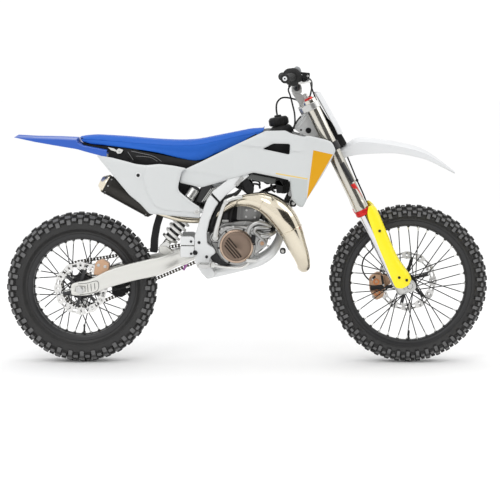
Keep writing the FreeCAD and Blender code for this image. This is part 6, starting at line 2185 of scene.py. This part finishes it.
@dataclass
class FootControls:
    """Toothed pegs, brake pedal and shift lever."""

    def build(self) -> None:
        """Makes the foot controls."""
        pegs = Sculpt("foot_peg_pair")
        frame_out = rounded([(466, 130), (514, 130), (516, 150), (516, 198), (510, 207), (470, 207),
                             (464, 198), (464, 150)], 5)
        inner = rounded([(474, 138), (506, 138), (507, 152), (507, 192), (503, 198), (477, 198),
                         (473, 192), (473, 152)], 4)
        ring_low = [(x, y, 398) for x, y in frame_out]
        ring_high = [(x, y, 410) for x, y in frame_out]
        hole_high = [(x, y, 410) for x, y in inner]
        hole_low = [(x, y, 398) for x, y in inner]
        pegs.loft([ring_low, ring_high, hole_high, hole_low, ring_low], caps=False)
        for y in (160, 180):
            pegs.slab([(472, 399), (508, 399), (508, 410), (472, 410)], y - 1.6, y + 1.6)
        for y in range(136, 206, 10):
            for x in (466.5, 510.0):
                pegs.loft([[(x, y - 3, 409), (x + 4, y - 3, 409), (x + 4, y + 3, 409), (x, y + 3, 409)],
                           [(x + 1.2, y - 0.8, 415), (x + 2.8, y - 0.8, 415), (x + 2.8, y + 0.8, 415),
                            (x + 1.2, y + 0.8, 415)]])
        pegs.slab([(476, 386), (500, 386), (502, 402), (474, 402)], 98.4, 133, 4)
        pegs.rod((488, 96, 392), (488, 112, 392), 8, 20)
        pegs.mirror()
        controls = Sculpt("pedal_and_shifter")
        controls.tube([(520, -108, 398), (545, -111, 391), (580, -114, 387), (632, -120, 387),
                       (662, -124, 408)], [9, 7.5, 6.5, 6.5, 6.5], 18, 6, 0.8)
        controls.slab([(650, 411), (690, 411), (691, 421), (652, 423)], -137, -111, 3)
        for x in range(656, 690, 8):
            controls.slab([(x, 420), (x + 3, 420), (x + 2, 426), (x + 1, 426)], -136, -112)
        controls.lathe([(0, -10), (11, -10), (11, 8), (0, 8)], (520, -107, 398), LEFT, 24)
        controls.tube([(600, 90, 424), (650, 94, 413), (690, 98, 418)], 6, 16, 6, 0.8)
        controls.rod((600, 46, 424), (600, 96, 424), 8, 24)
        controls.lathe([(0, 0), (7.6, 0), (8.4, 4), (8.4, 32), (7.6, 36), (0, 36)], (690, 91, 418), LEFT, 20)
        parts = [pegs.done(STEEL, bevel=0.8), controls.done(MACHINED, bevel=0.8)]
        settle(joined("foot_control_set", parts), "chassis", "steel", "foot_controls")


@dataclass
class AirBox:
    """Air box between the rails with the mudflap behind the shock."""

    def build(self) -> None:
        """Makes the box and flap."""
        box = Sculpt("air_box_shell")
        box.slab([(206, 786), (430, 756), (440, 722), (434, 690), (376, 610), (300, 676),
                  (250, 712)], -46, 46, 14)
        box.slab([(300, 690), (299, 592), (283, 540), (274, 490), (271, 438), (299, 435), (302, 490),
                  (311, 540), (328, 592), (330, 680)], -28, 28, 5)
        settle(box.done(BLACK, bevel=4), "chassis", "black_plastic", "airbox")


# Engine


@dataclass
class Engine:
    """Crankcase with covers, cylinder, carburettor and kick lever."""

    cover: Flat = (613.0, 470.0)

    def build(self) -> None:
        """Makes the engine."""
        self.case()
        self.clutch()
        self.cylinder()
        self.carburettor()
        self.kick()

    def case(self) -> None:
        """Makes the crankcase halves, side covers, ribs and drive sprocket."""
        case = Sculpt("crankcase").slab([(512, 476), (516, 520), (560, 556), (640, 566), (716, 560), (748, 526),
                (728, 470), (694, 438), (664, 412), (600, 404), (560, 406), (540, 430)], -64, 46, 12)
        side = Sculpt("right_cover").slab([(540, 474), (536, 520), (566, 548), (650, 548), (712, 526),
                (740, 492), (722, 466), (690, 440), (650, 412), (590, 405), (552, 428)], -95, -64, 14)
        details = Sculpt("case_details")
        x, z = self.cover
        details.lathe([(0, 60), (76, 60), (76, 92), (74, 98), (71, 102), (66.4, 102), (66, 98), (0, 98)],
                      (x, 0, z), RIGHT, 64)
        details.lathe([(0, 60), (19, 60), (19, 100), (17, 105), (12, 107), (11, 104), (0, 104)],
                      (713, 0, 481), RIGHT, 36)
        details.lathe([(0, 60), (22, 60), (22, 96), (19, 102), (0, 104)], (531, 0, 505), RIGHT, 32)
        details.lathe([(0, 60), (12, 60), (12, 99), (9, 102), (0, 102)], (668, 0, 538), RIGHT, 24)
        details.lathe([(0, 0), (53, 0), (53, 64), (50, 67), (45, 68), (44, 71), (40, 72), (0, 70)],
                      (676, 0, 482), LEFT, 56)
        details.lathe([(0, 30), (9, 30), (9, 66), (0, 66)], (528, 0, 452), LEFT, 24)
        for a, b in (
                ((560, 545), (600, 560)), ((640, 549), (650, 566)), ((700, 530), (722, 552)),
                ((734, 500), (748, 520)), ((690, 440), (700, 426)), ((650, 412), (668, 408)),
                ((600, 405), (604, 398))):
            details.loft([[(px + dx, y, pz + dz) for px, pz, y in ((a[0], a[1], -80), (b[0], b[1], -80),
                    (b[0], b[1], 40), (a[0], a[1], 40))] for dx, dz in ((-2, 0), (2, 0))])
        details.tube([(656, -97, 512), (662, -99, 536), (676, -100, 554), (700, -100, 562), (726, -95, 556),
                      (746, -82, 546)], [9, 8.4, 8, 8, 8.4, 9], 20, 6)
        details.tube([(718, -101, 494), (698, -102, 512), (685, -102, 526), (688, -101, 540), (710, -99, 543),
                      (738, -90, 540)], [8, 7.4, 7, 7, 7.4, 8], 20, 6)
        details.tube([(700, -97, 506), (724, -99, 509), (746, -90, 516), (762, -70, 524)],
                     [10, 9.4, 9.4, 9], 20, 5)
        details.slab([(498, 474), (497, 500), (508, 530), (540, 552), (560, 556), (560, 500),
                      (530, 470)], -58, -20, 8)
        for k in range(4):
            details.slab([(700 + 6 * k, 500 + 9 * k), (736 + 3 * k, 506 + 8 * k), (736 + 3 * k, 509 + 8 * k),
                          (700 + 6 * k, 503 + 9 * k)], -99, -90)
        parts = [case.done(CAST, bevel=4), side.done(CAST, bevel=5), details.done(CAST, bevel=1.2)]
        settle(self.with_painted_shade(joined("engine_castings", parts)), "chassis", "cast_alloy", "engine_case")
        lug = Sculpt("cover_lug").slab([(668, 484), (684, 482), (688, 510), (672, 516)], -112, -95, 5)
        settle(lug.done(BLACK, bevel=2), "chassis", "black_plastic")
        for px, pz in ((552, 440), (590, 412), (644, 418), (690, 450), (712, 516), (660, 544),
                       (600, 544), (556, 536)):
            BOLTS.add("chassis", STEEL, RIGHT, 5.5, (px, -95.5, pz))
        for k in range(5):
            t = 2 * math.pi * (k + 0.3) / 5
            BOLTS.add("chassis", STEEL, LEFT, 5.2, (676 + 47 * math.sin(t), 68, 482 + 47 * math.cos(t)))
        BOLTS.add("chassis", BRAKE_BRONZE, RIGHT, 8, (713, -104, 481))
        BOLTS.add("chassis", STEEL, RIGHT, 5.0, (736, -98, 470), (742, -98, 500), (708, -98, 506))
        drive = DriveTrain()
        r = drive.radius(drive.front_teeth)
        outline = toothed(drive.front, drive.front_teeth,
                          ((0.0, r - 4), (0.2, r - 3), (0.4, r + 2.4), (0.6, r + 2.4), (0.8, r - 3)))
        settle(Sculpt("drive_sprocket").slab(outline, 60, 64).done(STEEL), "chassis", "steel")

    @staticmethod
    def with_painted_shade(piece: bpy.types.Object) -> bpy.types.Object:
        """Paints shade onto a casting: darker towards the middle of the bike, where little light falls."""
        layer = piece.data.attributes.new("painted_light_mask", "FLOAT", "POINT")
        for vertex, item in zip(piece.data.vertices, layer.data):
            # Painted shade: full near the middle plane, fading out by 96 mm to either side.
            item.value = 0.85 * (1 - step_up(abs(vertex.co.y) * 1000, 20, 96))
        return piece

    def clutch(self) -> None:
        """Makes the bronze clutch cover with its bright rim and slanting grooves."""
        x, z = self.cover
        rim = Sculpt("cover_rim").lathe([(56, 100), (66.2, 100), (66.2, 108), (64.5, 111.5), (61, 113),
                (57.5, 113), (56, 111)], (x, 0, z), RIGHT, 72, closed=True)
        settle(rim.done(COVER_RIM), "chassis", "bronze")
        disc = Sculpt("cover_face").lathe([(0, 100), (57, 100), (57, 112), (56, 115), (53, 117), (48, 117.4),
                (0, 117.4)], (x, 0, z), RIGHT, 72).done(BRONZE)
        direction = Vector((math.cos(math.radians(-50)), 0, math.sin(math.radians(-50))))
        across = Vector((-direction.z, 0, direction.x))
        tools = []
        for k in range(4):
            centre = Vector((x, 0, z)) + across * (k * 10 - 32)
            half = math.sqrt(max(46 ** 2 - (k * 10 - 32) ** 2, 10))
            start, end = centre - direction * half, centre + direction * half
            if k == 3:
                end = centre + direction * 4
            tool = Sculpt("groove").rod((start.x, -117.6, start.z), (end.x, -117.6, end.z), 2.9, 12, 0.5)
            tools.append(tool.done(GROOVE))
        settle(cut(disc, tools), "chassis", "bronze", "clutch_cover")
        for k in range(6):
            t = 2 * math.pi * (k + 0.4) / 6
            BOLTS.add("chassis", BLACK_METAL, RIGHT, 4.2, (x + 70 * math.sin(t), -102, z + 70 * math.cos(t)))

    def cylinder(self) -> None:
        """Makes the barrel, head, exhaust spigot and spark plug."""
        body = Sculpt("barrel")
        body.slab([(612, 566), (640, 566), (700, 561), (712, 596), (704, 622), (616, 622)], -42, 42, 8)
        body.slab([(606, 622), (714, 622), (712, 634), (608, 634)], -46, 46, 4)
        body.slab([(616, 634), (706, 634), (694, 650), (630, 652)], -38, 38, 6)
        body.slab([(642, 650), (684, 648), (680, 656), (646, 657)], -16, 16, 3)
        body.slab([(640, 572), (690, 570), (694, 612), (644, 614)], -50, -40, 7)
        body.slab([(716, 560), (732, 566), (724, 612), (708, 606)], -26, 24, 5)
        metal = body.done(CAST, bevel=3)
        rib = Sculpt("barrel_rib").slab([(622, 570), (626, 570), (630, 620), (626, 620)], -46.5,
                46.5).done(CAST)
        ribs = rowed(rib, CAST, 6, (14, 0, 0))
        spigot = Sculpt("spigot").tube([(700, 0, 596), (718, -1, 590), (736, -4, 580), (752, -12, 572)],
                [28, 27, 24.6, 24.6], 32, 4)
        spigot.lathe([(0, -2), (28, -2), (29, 0), (29, 4), (0, 4)], (742, -7, 577), (0.80, -0.45, -0.40), 32)
        parts = [metal, ribs, spigot.done(CAST)]
        settle(self.with_painted_shade(joined("cylinder_castings", parts)), "chassis", "cast_alloy", "cylinder")
        for px in (618, 660, 704):
            for py in (-34, 34):
                BOLTS.add("chassis", STEEL, UP, 6, (px, py, 634 if px != 660 else 650))
        BOLTS.add("chassis", STEEL, RIGHT, 4.5, (650, -50, 580), (684, -50, 578), (652, -50, 606),
                  (686, -50, 604))
        plug = Sculpt("plug_cap").rod((662, 0, 650), (664, 0, 676), 9, 24)
        plug.tube([(664, 0, 670), (652, 0, 684), (634, 0, 688)], [9, 8, 7], 20, 5)
        plug.tube([(640, 0, 686), (616, 4, 690), (600, 10, 706), (612, 14, 728)], 3.6, 12, 6)
        settle(plug.done(RUBBER), "chassis", "rubber")

    def carburettor(self) -> None:
        """Makes the carburettor with bowl, boots and hoses, and the dark lugs below the engine."""
        body = Sculpt("carburettor_body")
        body.lathe([(0, 0), (19, 0), (21, 3), (21, 12), (17, 16), (17, 32), (21, 36), (21, 46), (0, 48)],
                   (588, 0, 602), (-48, 0, 4), 32)
        body.lathe([(0, 0), (17, 0), (19, 4), (19, 48), (20.5, 50), (20.5, 58), (16, 62), (0, 62)],
                   (566, 0, 600), (-10, 0, 62), 32)
        body.slab([(544, 598), (582, 594), (580, 561), (548, 564)], -20, 20, 6)
        parts = [body.done(DARK_ALLOY, bevel=1.5)]
        settle(joined("carburettor_body", parts), "chassis", "dark_alloy", "carburettor")
        boots = Sculpt("intake_boots")
        boots.lathe([(0, 0), (24, 0), (25, 3), (22, 6), (22, 12), (25, 15), (24, 19), (0, 19)], (604, 0, 600),
                    (-1, 0, 0.08), 32)
        boots.tube([(542, 0, 606), (506, 22, 614), (462, 40, 632), (430, 40, 656), (404, 36, 672)],
                   [23, 21, 20, 20, 20], 28, 6)
        boots.tube([(556, -14, 566), (548, -24, 530), (530, -40, 470), (520, -52, 410)], 3, 10, 6)
        boots.tube([(570, 14, 566), (562, 24, 530), (545, 40, 470), (536, 52, 410)], 3, 10, 6)
        for line, size in (
                ([(566, -46, 664), (544, -56, 624), (524, -60, 584), (514, -60, 544), (522, -56, 500)], 9),
                ([(592, -40, 652), (570, -50, 612), (550, -54, 572), (544, -54, 532), (556, -56, 512)], 7),
                ([(606, -34, 640), (594, -46, 604), (588, -50, 566), (592, -48, 548)], 6),
                ([(520, -30, 652), (510, -44, 610), (504, -52, 566), (500, -56, 520)], 8)):
            boots.tube(line, size, 14, 6)
        boots.tube([(566, -92, 652), (583, -100, 664), (598, -102, 671), (612, -102, 675), (630, -96, 692)],
                   [5, 8, 5.5, 8, 5], 12, 6)
        boots.slab([(524, 604), (532, 652), (572, 664), (590, 630), (584, 596), (548, 590)], -36, -12, 8)
        boots.slab([(510, 592), (550, 600), (548, 540), (512, 534)], -50, -30, 5)
        boots.slab([(576, 560), (622, 560), (620, 630), (578, 628)], -22, 22, 4)
        boots.slab([(594, 704), (612, 720), (626, 738), (654, 727), (673, 672), (655, 668), (628, 692),
                    (606, 697)], -62, -46, 5)
        boots.slab([(766, 740), (800, 736), (817, 724), (823, 686), (806, 672), (786, 672),
                    (774, 690)], -60, -48, 7)
        for k in range(4):
            boots.slab([(778 + 9 * k, 722 - 3 * k), (783 + 9 * k, 721 - 3 * k), (783 + 9 * k, 680),
                        (778 + 9 * k, 680)], -64, -58)
        settle(boots.done(RUBBER), "chassis", "rubber")
        sump = Sculpt("engine_lower_lugs")
        sump.slab([(508, 424), (538, 442), (562, 420), (600, 402), (656, 398), (654, 382), (600, 372),
                   (554, 388), (518, 404)], -58, -22, 5)
        sump.slab([(505, 512), (512, 536), (532, 544), (556, 534), (560, 506), (536, 486),
                   (512, 490)], -64, -30, 8)
        for x, z in ((560, 408), (590, 396), (622, 391), (646, 390)):
            sump.rod((x, -64, z), (x, -56, z), 7, 20, 1)
        sump.rod((531, -99, 505), (531, -84, 505), 23, 32, 2)
        sump.rod((531, -103, 505), (531, -98, 505), 17, 32, 1)
        settle(sump.done(DARK_ALLOY, bevel=2), "chassis", "dark_alloy")
        bowl = Sculpt("float_bowl").slab([(548, 566), (550, 538), (578, 536), (582, 566)], -24, 24, 5)
        bowl.rod((565, -44, 618), (565, -20, 618), 9, 20, 1.5).rod((548, -50, 586), (548, -20, 586), 5, 16, 1)
        settle(bowl.done(MACHINED, bevel=2), "chassis", "alloy")

    def kick(self) -> None:
        """Makes the folded kick lever."""
        lever = Sculpt("kick_lever")
        lever.rod((531, -126, 505), (531, -102.4, 505), 12, 32, 2)
        lever.tube([(531, -121, 508), (538, -122, 548), (552, -124, 596), (566, -124, 634), (580, -124, 650),
                    (606, -123, 659), (636, -122, 664)], [11, 8.6, 7.6, 7.6, 8.2, 7.8, 7.4], 22, 6)
        lever.rod((573, -133, 645), (573, -114, 645), 9.5, 24, 1)
        settle(lever.done(MACHINED), "chassis", "alloy", "kick_starter")
        BOLTS.add("chassis", STEEL, RIGHT, 7, (531, -126, 505))


@dataclass
class ExhaustSystem:
    """Plated expansion pipe with its welds and the silencer."""

    path: Sequence[tuple[float, float, float, float]] = ((752.2, -12.1, 571.9, 23), (776, -33, 556, 21),
            (798, -49, 532, 20), (822, -52, 500, 19), (842, -50, 458, 19), (856, -50, 424, 19),
            (868, -58, 402, 20), (874, -72, 390, 23), (876, -92, 394, 25), (866, -106, 430, 31),
            (850, -112, 470, 37), (823, -114, 535, 46), (795, -112, 581, 51), (761, -106, 616, 50),
            (720, -98, 640, 42), (672, -88, 648, 29), (630, -80, 645, 21), (600, -66, 634, 16),
            (560, -53, 608, 12), (512, -50, 577, 12), (464, -52, 567, 12), (404, -60, 571, 12),
            (340, -68, 588, 12), (296, -68, 604, 12.5))

    def build(self) -> None:
        """Makes the pipe and silencer."""
        places = [p[:3] for p in self.path]
        radii = [p[3] for p in self.path]
        pipe = Sculpt("expansion_pipe").tube(places, radii, 48, 8)
        settle(pipe.done(NICKEL), "chassis", "nickel", "exhaust_pipe")
        self.welds()
        self.silencer()

    def welds(self) -> None:
        """Makes the raised welds round the pipe, its lengthwise seams and its rubber mounts."""
        dense = smooth_path(self.path, 8)
        beads = Sculpt("pipe_welds")
        for index in (56, 88, 112, 136):
            here, ahead = Vector(dense[index][:3]), Vector(dense[index + 1][:3]) - Vector(dense[index - 1][:3])
            r = dense[index][3]
            high = 2.6 if index == 88 else 1.6
            beads.lathe([(r - 1.0, -3.0), (r + high - 0.6, -1.8), (r + high, 0), (r + high - 0.6, 1.8),
                         (r - 1.0, 3.0)], here, ahead, 48, closed=True)
        for sign in (1, -1):
            line = []
            for i in range(64, 134, 3):
                here, ahead = Vector(dense[i][:3]), (Vector(dense[i + 1][:3])
                        - Vector(dense[i - 1][:3])).normalized()
                out = (Vector(RIGHT) - ahead * ahead.dot(Vector(RIGHT))).normalized()
                side = ahead.cross(out) * sign
                line.append(here + (out * 0.55 + side * 0.83).normalized() * (dense[i][3] + 0.1))
            beads.tube(line, 1.1, 8, 2)
        settle(beads.done(NICKEL), "chassis", "nickel")
        clip = Sculpt("pipe_mounts")
        clip.slab([(820, 622), (846, 622), (846, 648), (820, 648)], -84, -66, 12)
        clip.slab([(782, 439), (805, 439), (805, 462), (782, 462)], -96, -80, 11)
        settle(clip.done(RUBBER, bevel=2), "chassis", "rubber")
        BOLTS.add("chassis", STEEL, RIGHT, 6.5, (833, -84, 635), (793, -96, 450))

    def silencer(self) -> None:
        """Makes the can, its cap and hanger."""
        front, rear = Vector((284, -68, 612)), Vector((108, -68, 709))
        back = (rear - front).normalized()
        length = (rear - front).length
        can = Sculpt("silencer_can").lathe([(0, -12), (18, -12), (24, -8), (35, -1), (37, 2), (37, length - 2),
                (37.6, length - 1), (37.6, length + 3), (0, length + 3)], front, back, 48)
        tab = rounded([(196, 668), (222, 660), (214, 786), (204, 790)], 4)
        can.slab(tab, -68, -63)
        settle(can.done(CAN), "chassis", "dark_alloy", "silencer")
        cap = Sculpt("silencer_end_cap").lathe([(14, length + 3), (38.2, length + 3), (38.5, length + 6),
                (36, length + 10), (22, length + 27), (18, length + 28.5), (15, length + 27),
                (14, length + 20)], front, back, 48, closed=True)
        settle(cap.done(CAP), "chassis", "nickel")
        inner = Sculpt("silencer_core").lathe([(0, length + 6), (13, length + 6), (14.5, length + 22),
                (13.4, length + 22), (12, length + 10), (0, length + 10)], front, back, 32)
        settle(inner.done(BLACK_METAL), "chassis", "black_metal")
        bands = Sculpt("silencer_bands")
        for s in (8, length - 12):
            bands.lathe([(36.9, s), (38, s + 0.6), (38, s + 7.4), (36.9, s + 8)], front, back, 48, closed=True)
        settle(bands.done(CAN), "chassis", "dark_alloy")
        side = back.cross(Vector(LEFT))
        for s in (12, length - 8):
            for t in range(0, 360, 45):
                out = Vector(LEFT) * math.cos(math.radians(t)) + side * math.sin(math.radians(t))
                BOLTS.add("chassis", STEEL, tuple(out), 2.6, tuple(front + back * s + out * 38.2))


@dataclass
class CoolingAndFuel:
    """Radiators with louvres, hoses, tank, cap and breather."""

    def build(self) -> None:
        """Makes cooling and fuel pieces."""
        self.radiators()
        self.hoses()
        self.tank()

    def radiators(self) -> None:
        """Makes the finned cores with end tanks and louvred screens."""
        metal = Sculpt("radiator_cores")
        metal.slab([(818, 680), (850, 676), (867, 842), (836, 846)], 62, 126, 3)
        metal.slab([(813, 668), (855, 663), (857, 681), (815, 686)], 56, 132, 6)
        metal.slab([(832, 841), (872, 837), (874, 856), (834, 860)], 56, 132, 6)
        metal.mirror()
        settle(metal.done(RADIATOR, bevel=1.5), "chassis", "alloy", "radiators")
        blade = Sculpt("radiator_blade").loft([[(853, 60, 684), (861, 60, 688), (861, 60, 690), (853, 60, 686)],
                [(853, 128, 684), (861, 128, 688), (861, 128, 690), (853, 128, 686)]])
        left = rowed(blade.done(BLACK), BLACK, 13, (1.15, 0, 12.2))
        mesh = bmesh.new()
        mesh.from_mesh(left.data)
        twinned(mesh)
        bmesh.ops.recalc_face_normals(mesh, faces=mesh.faces)
        mesh.to_mesh(left.data)
        mesh.free()
        left.name = "radiator_louvres"
        settle(left, "chassis", "black_plastic")

    def hoses(self) -> None:
        """Makes the coolant hoses with their clamps."""
        piece = Sculpt("coolant_hoses")
        piece.tube([(680, 26, 646), (700, 34, 660), (728, 46, 676), (770, 60, 690), (822, 70, 694)], 9, 20, 6)
        piece.tube([(730, 30, 500), (748, 56, 520), (786, 70, 590), (824, 76, 668)], 9, 20, 6)
        piece.tube([(830, -62, 694), (818, -36, 694), (818, 36, 694), (830, 62, 694)], 8, 20, 6)
        piece.tube([(730, -84, 500), (762, -66, 540), (790, -62, 600), (822, -70, 668)], 8, 20, 6)
        settle(piece.done(RUBBER), "chassis", "rubber", "hoses")

    def tank(self) -> None:
        """Makes the black tank, its lower shell, the cap and the breather hose."""
        plan = [(560, 50), (620, 78), (700, 91), (780, 95), (830, 84), (862, 60)]
        top = [(575, 800, 800), (600, 842, 784), (660, 884, 778), (720, 906, 716), (750, 915, 714),
               (812, 915, 742), (836, 902, 830), (850, 876, 852)]
        rings = []
        for x, high, low in smooth_path(top, 4):
            w = along(plan, x)[0]
            rings.append([(x, y, z) for y, z in ((0, high), (w * 0.5, high - 1), (w * 0.82, high - 7),
                    (w * 0.97, high - 20), (w, (high + low) / 2), (w, low + 6), (w * 0.9, low), (0, low),
                    (-w * 0.9, low), (-w, low + 6), (-w, (high + low) / 2), (-w * 0.97, high - 20),
                    (-w * 0.82, high - 7), (-w * 0.5, high - 1))])
        tank = Sculpt("fuel_tank_shell").loft(rings)
        up = Vector((-0.17, 0, 0.985))
        tank.lathe([(0, 0), (48, 0), (46, 16), (40, 26), (33, 32), (0, 32)], (790, 0, 904), up, 36)
        shell = tank.done(BLACK)
        lower = Sculpt("tank_lower").slab([(640, 740), (672, 760), (770, 742), (800, 700), (776, 706),
                (758, 712), (660, 730)], 28, 92, 7).mirror()
        face = Sculpt("tank_face").slab([(668, 751), (768, 732), (759, 711), (653, 732)], 91, 97, 4).mirror()
        straps = Sculpt("tank_straps")
        straps.slab([(624, 744), (650, 746), (682, 694), (678, 676), (654, 676)], 84, 92, 4)
        straps.slab([(766, 736), (794, 730), (792, 676), (768, 676)], 84, 92, 4)
        straps.tube([(656, 80, 705), (680, 86, 712), (700, 88, 708), (704, 86, 694)], 4, 10, 6)
        straps.tube([(756, 86, 706), (748, 88, 692), (764, 88, 680)], 4, 10, 6)
        straps.mirror()
        parts = [shell, lower.done(BLACK, bevel=3), straps.done(BLACK)]
        settle(joined("fuel_tank_shell", parts), "chassis", "black_plastic", "fuel_tank")
        settle(face.done(TANK_FACE, bevel=2), "chassis", "black_plastic")
        cap = Sculpt("filler_cap")
        profile = [(0, 41), (11, 41), (14, 39), (14, 34), (30, 33), (35, 30), (37, 25), (37, 4),
                   (35, 0.4), (0, 0.4)]
        foot, across = Vector((780, 0, 936)), up.cross(Vector(LEFT))
        cap.lathe(profile, foot, up, 40)
        for k in range(12):
            out = across * math.cos(math.pi / 6 * k) + Vector((0, math.sin(math.pi / 6 * k), 0))
            cap.rod(foot + up * 4 + out * 36.4, foot + up * 25 + out * 36.4, 2.6, 8, 0.8)
        cap.tube([(772, 0, 972), (768, 2, 1000), (771, 5, 1024), (786, 8, 1041), (808, 8, 1044), (838, 5, 1038),
                  (858, 2, 1031), (869, 0, 1024)], 3.4, 12, 6)
        settle(cap.done(BLACK), "chassis", "black_plastic", "fuel_cap")


# Studio


@dataclass(frozen=True)
class Lamp:
    """A round soft lamp: its place and aim in metres, its diameter and its power in watts."""

    name: str
    place: Point
    aim: Point
    size: float
    power: float

    def hang(self) -> None:
        """Puts the lamp in the scene."""
        data = bpy.data.lights.new(self.name, "AREA")
        data.shape = "DISK"
        data.size = self.size
        data.energy = self.power
        lamp = in_scene(self.name, data)
        lamp.location = self.place
        lamp.rotation_mode = "QUATERNION"
        lamp.rotation_quaternion = (Vector(self.aim) - Vector(self.place)).to_track_quat("-Z", "Y")


@dataclass
class Studio:
    """Pale floor, soft lamps, two cards and the camera at the photograph's angle; places in metres."""

    camera_place: Point = (707.9, -6518.7, 1188.2)
    pitch: float = 0.11375
    yaw: float = -0.0066
    focal_pixels: float = 1658.7
    frame_pixels: float = 500.0
    sensor: float = 36.0
    floor_half: float = 60.0
    surround: float = 1.08
    card_strength: float = 2.4
    dark_card: Sequence[Point] = ((0.30, -3.15, -0.5), (2.35, -1.3, -0.5), (2.35, -1.3, 1.35),
            (0.30, -3.15, 1.35))
    bright_card: Sequence[Point] = ((1.3, -1.9, 2.2), (3.2, -1.9, 1.2), (3.2, 1.2, 1.2), (1.3, 1.2, 2.2))
    lamps: Sequence[Lamp] = (Lamp("key_light", (-1.6, -3.6, 3.2), (0.1, 0.0, -0.3), 1.8, 34.0),
                             Lamp("fill_light", (3.2, -3.0, 1.6), (0.3, 0.0, -0.3), 2.4, 6.0),
                             Lamp("top_light", (0.3, 0.4, 3.6), (0.25, 0.0, -0.4), 3.0, 22.0),
                             Lamp("back_light", (0.2, 3.6, 2.6), (0.25, 0.0, -0.2), 3.0, 10.0))

    def build(self) -> None:
        """Makes floor, world, lamps, cards and camera."""
        self.floor()
        self.world()
        for lamp in self.lamps:
            lamp.hang()
        self.cards()
        self.camera()

    @staticmethod
    def sheet(name: str, corners: Sequence[Point], look: bpy.types.Material) -> bpy.types.Object:
        """Stages one flat four-cornered sheet, given in metres."""
        build = bmesh.new()
        build.faces.new([build.verts.new(corner) for corner in corners])
        made = in_scene(name, meshed(name, build))
        made.data.materials.append(look)
        return made

    def floor(self) -> None:
        """Makes the wide flat floor."""
        ground, half = -SEAT_POINT[2] / 1000, self.floor_half
        corners = [(x, y, ground) for x, y in ((-half, -half), (half, -half), (half, half), (-half, half))]
        self.sheet("studio_floor", corners, FLOOR.material())

    def world(self) -> None:
        """Sets a soft white surrounding light."""
        world = bpy.data.worlds.new("studio_world")
        world.use_nodes = True
        background = world.node_tree.nodes["Background"]
        background.inputs[0].default_value = (1.0, 1.0, 1.0, 1.0)
        background.inputs[1].default_value = self.surround
        bpy.context.scene.world = world

    def cards(self) -> None:
        """Hangs a dark and a bright card, as for plated metal; only glossy surfaces see them."""
        for name, corners, look in (("dark_card", self.dark_card, RUBBER.material()),
                                    ("bright_card", self.bright_card, self.glow())):
            card = self.sheet(name, corners, look)
            card.visible_camera = card.visible_diffuse = False
            card.visible_shadow = card.visible_transmission = False

    def glow(self) -> bpy.types.Material:
        """Gives the shining material of the bright card."""
        look = bpy.data.materials.new("card_glow")
        look.use_nodes = True
        tree = look.node_tree
        tree.nodes.clear()
        shine = tree.nodes.new("ShaderNodeEmission")
        shine.inputs["Strength"].default_value = self.card_strength
        tree.links.new(shine.outputs[0], tree.nodes.new("ShaderNodeOutputMaterial").inputs["Surface"])
        return look

    def camera(self) -> None:
        """Sets the camera where the photograph was taken from."""
        data = bpy.data.cameras.new("photo_camera")
        data.sensor_width = self.sensor
        data.lens = self.focal_pixels / self.frame_pixels * self.sensor
        data.clip_end = 50.0
        camera = in_scene("photo_camera", data)
        camera.location = at(*self.camera_place)
        ahead = Vector((math.sin(self.yaw) * math.cos(self.pitch), math.cos(self.yaw) * math.cos(self.pitch),
                        -math.sin(self.pitch)))
        camera.rotation_mode = "QUATERNION"
        camera.rotation_quaternion = ahead.to_track_quat("-Z", "Y")
        bpy.context.scene.camera = camera
        bpy.context.scene.view_settings.view_transform = "Standard"


def main() -> None:
    """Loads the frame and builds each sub-assembly."""
    logging.basicConfig(level=logging.INFO, format="%(name)s %(message)s")
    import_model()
    Studio().build()
    Wheel("front", "front_wheel", WHEELBASE, FRONT_RADIUS, rim=250, bed=236, rim_in=226, half_rim=22, half=41,
          rows=46, flange=34, flange_y=24, hub_half=61.5, spoke_turn=62, disc_y=56, disc_radius=120).build()
    Wheel("rear", "rear_wheel", 0, REAR_RADIUS, rim=212, bed=198, rim_in=188, half_rim=29, half=50, rows=36,
          flange=46, flange_y=28, hub_half=66.5, spoke_turn=66, disc_y=-58, disc_radius=106).build()
    for assembly in (ForkLegs(), Clamps(), Cockpit(), FrontBrakeUnit(), MainFrame(), RearSuspension(),
                     DriveTrain(), FootControls(), AirBox(), Engine(), ExhaustSystem(),
                     CoolingAndFuel(), Bodywork()):
        assembly.build()
    BOLTS.build()


if __name__ == "__main__":
    main()
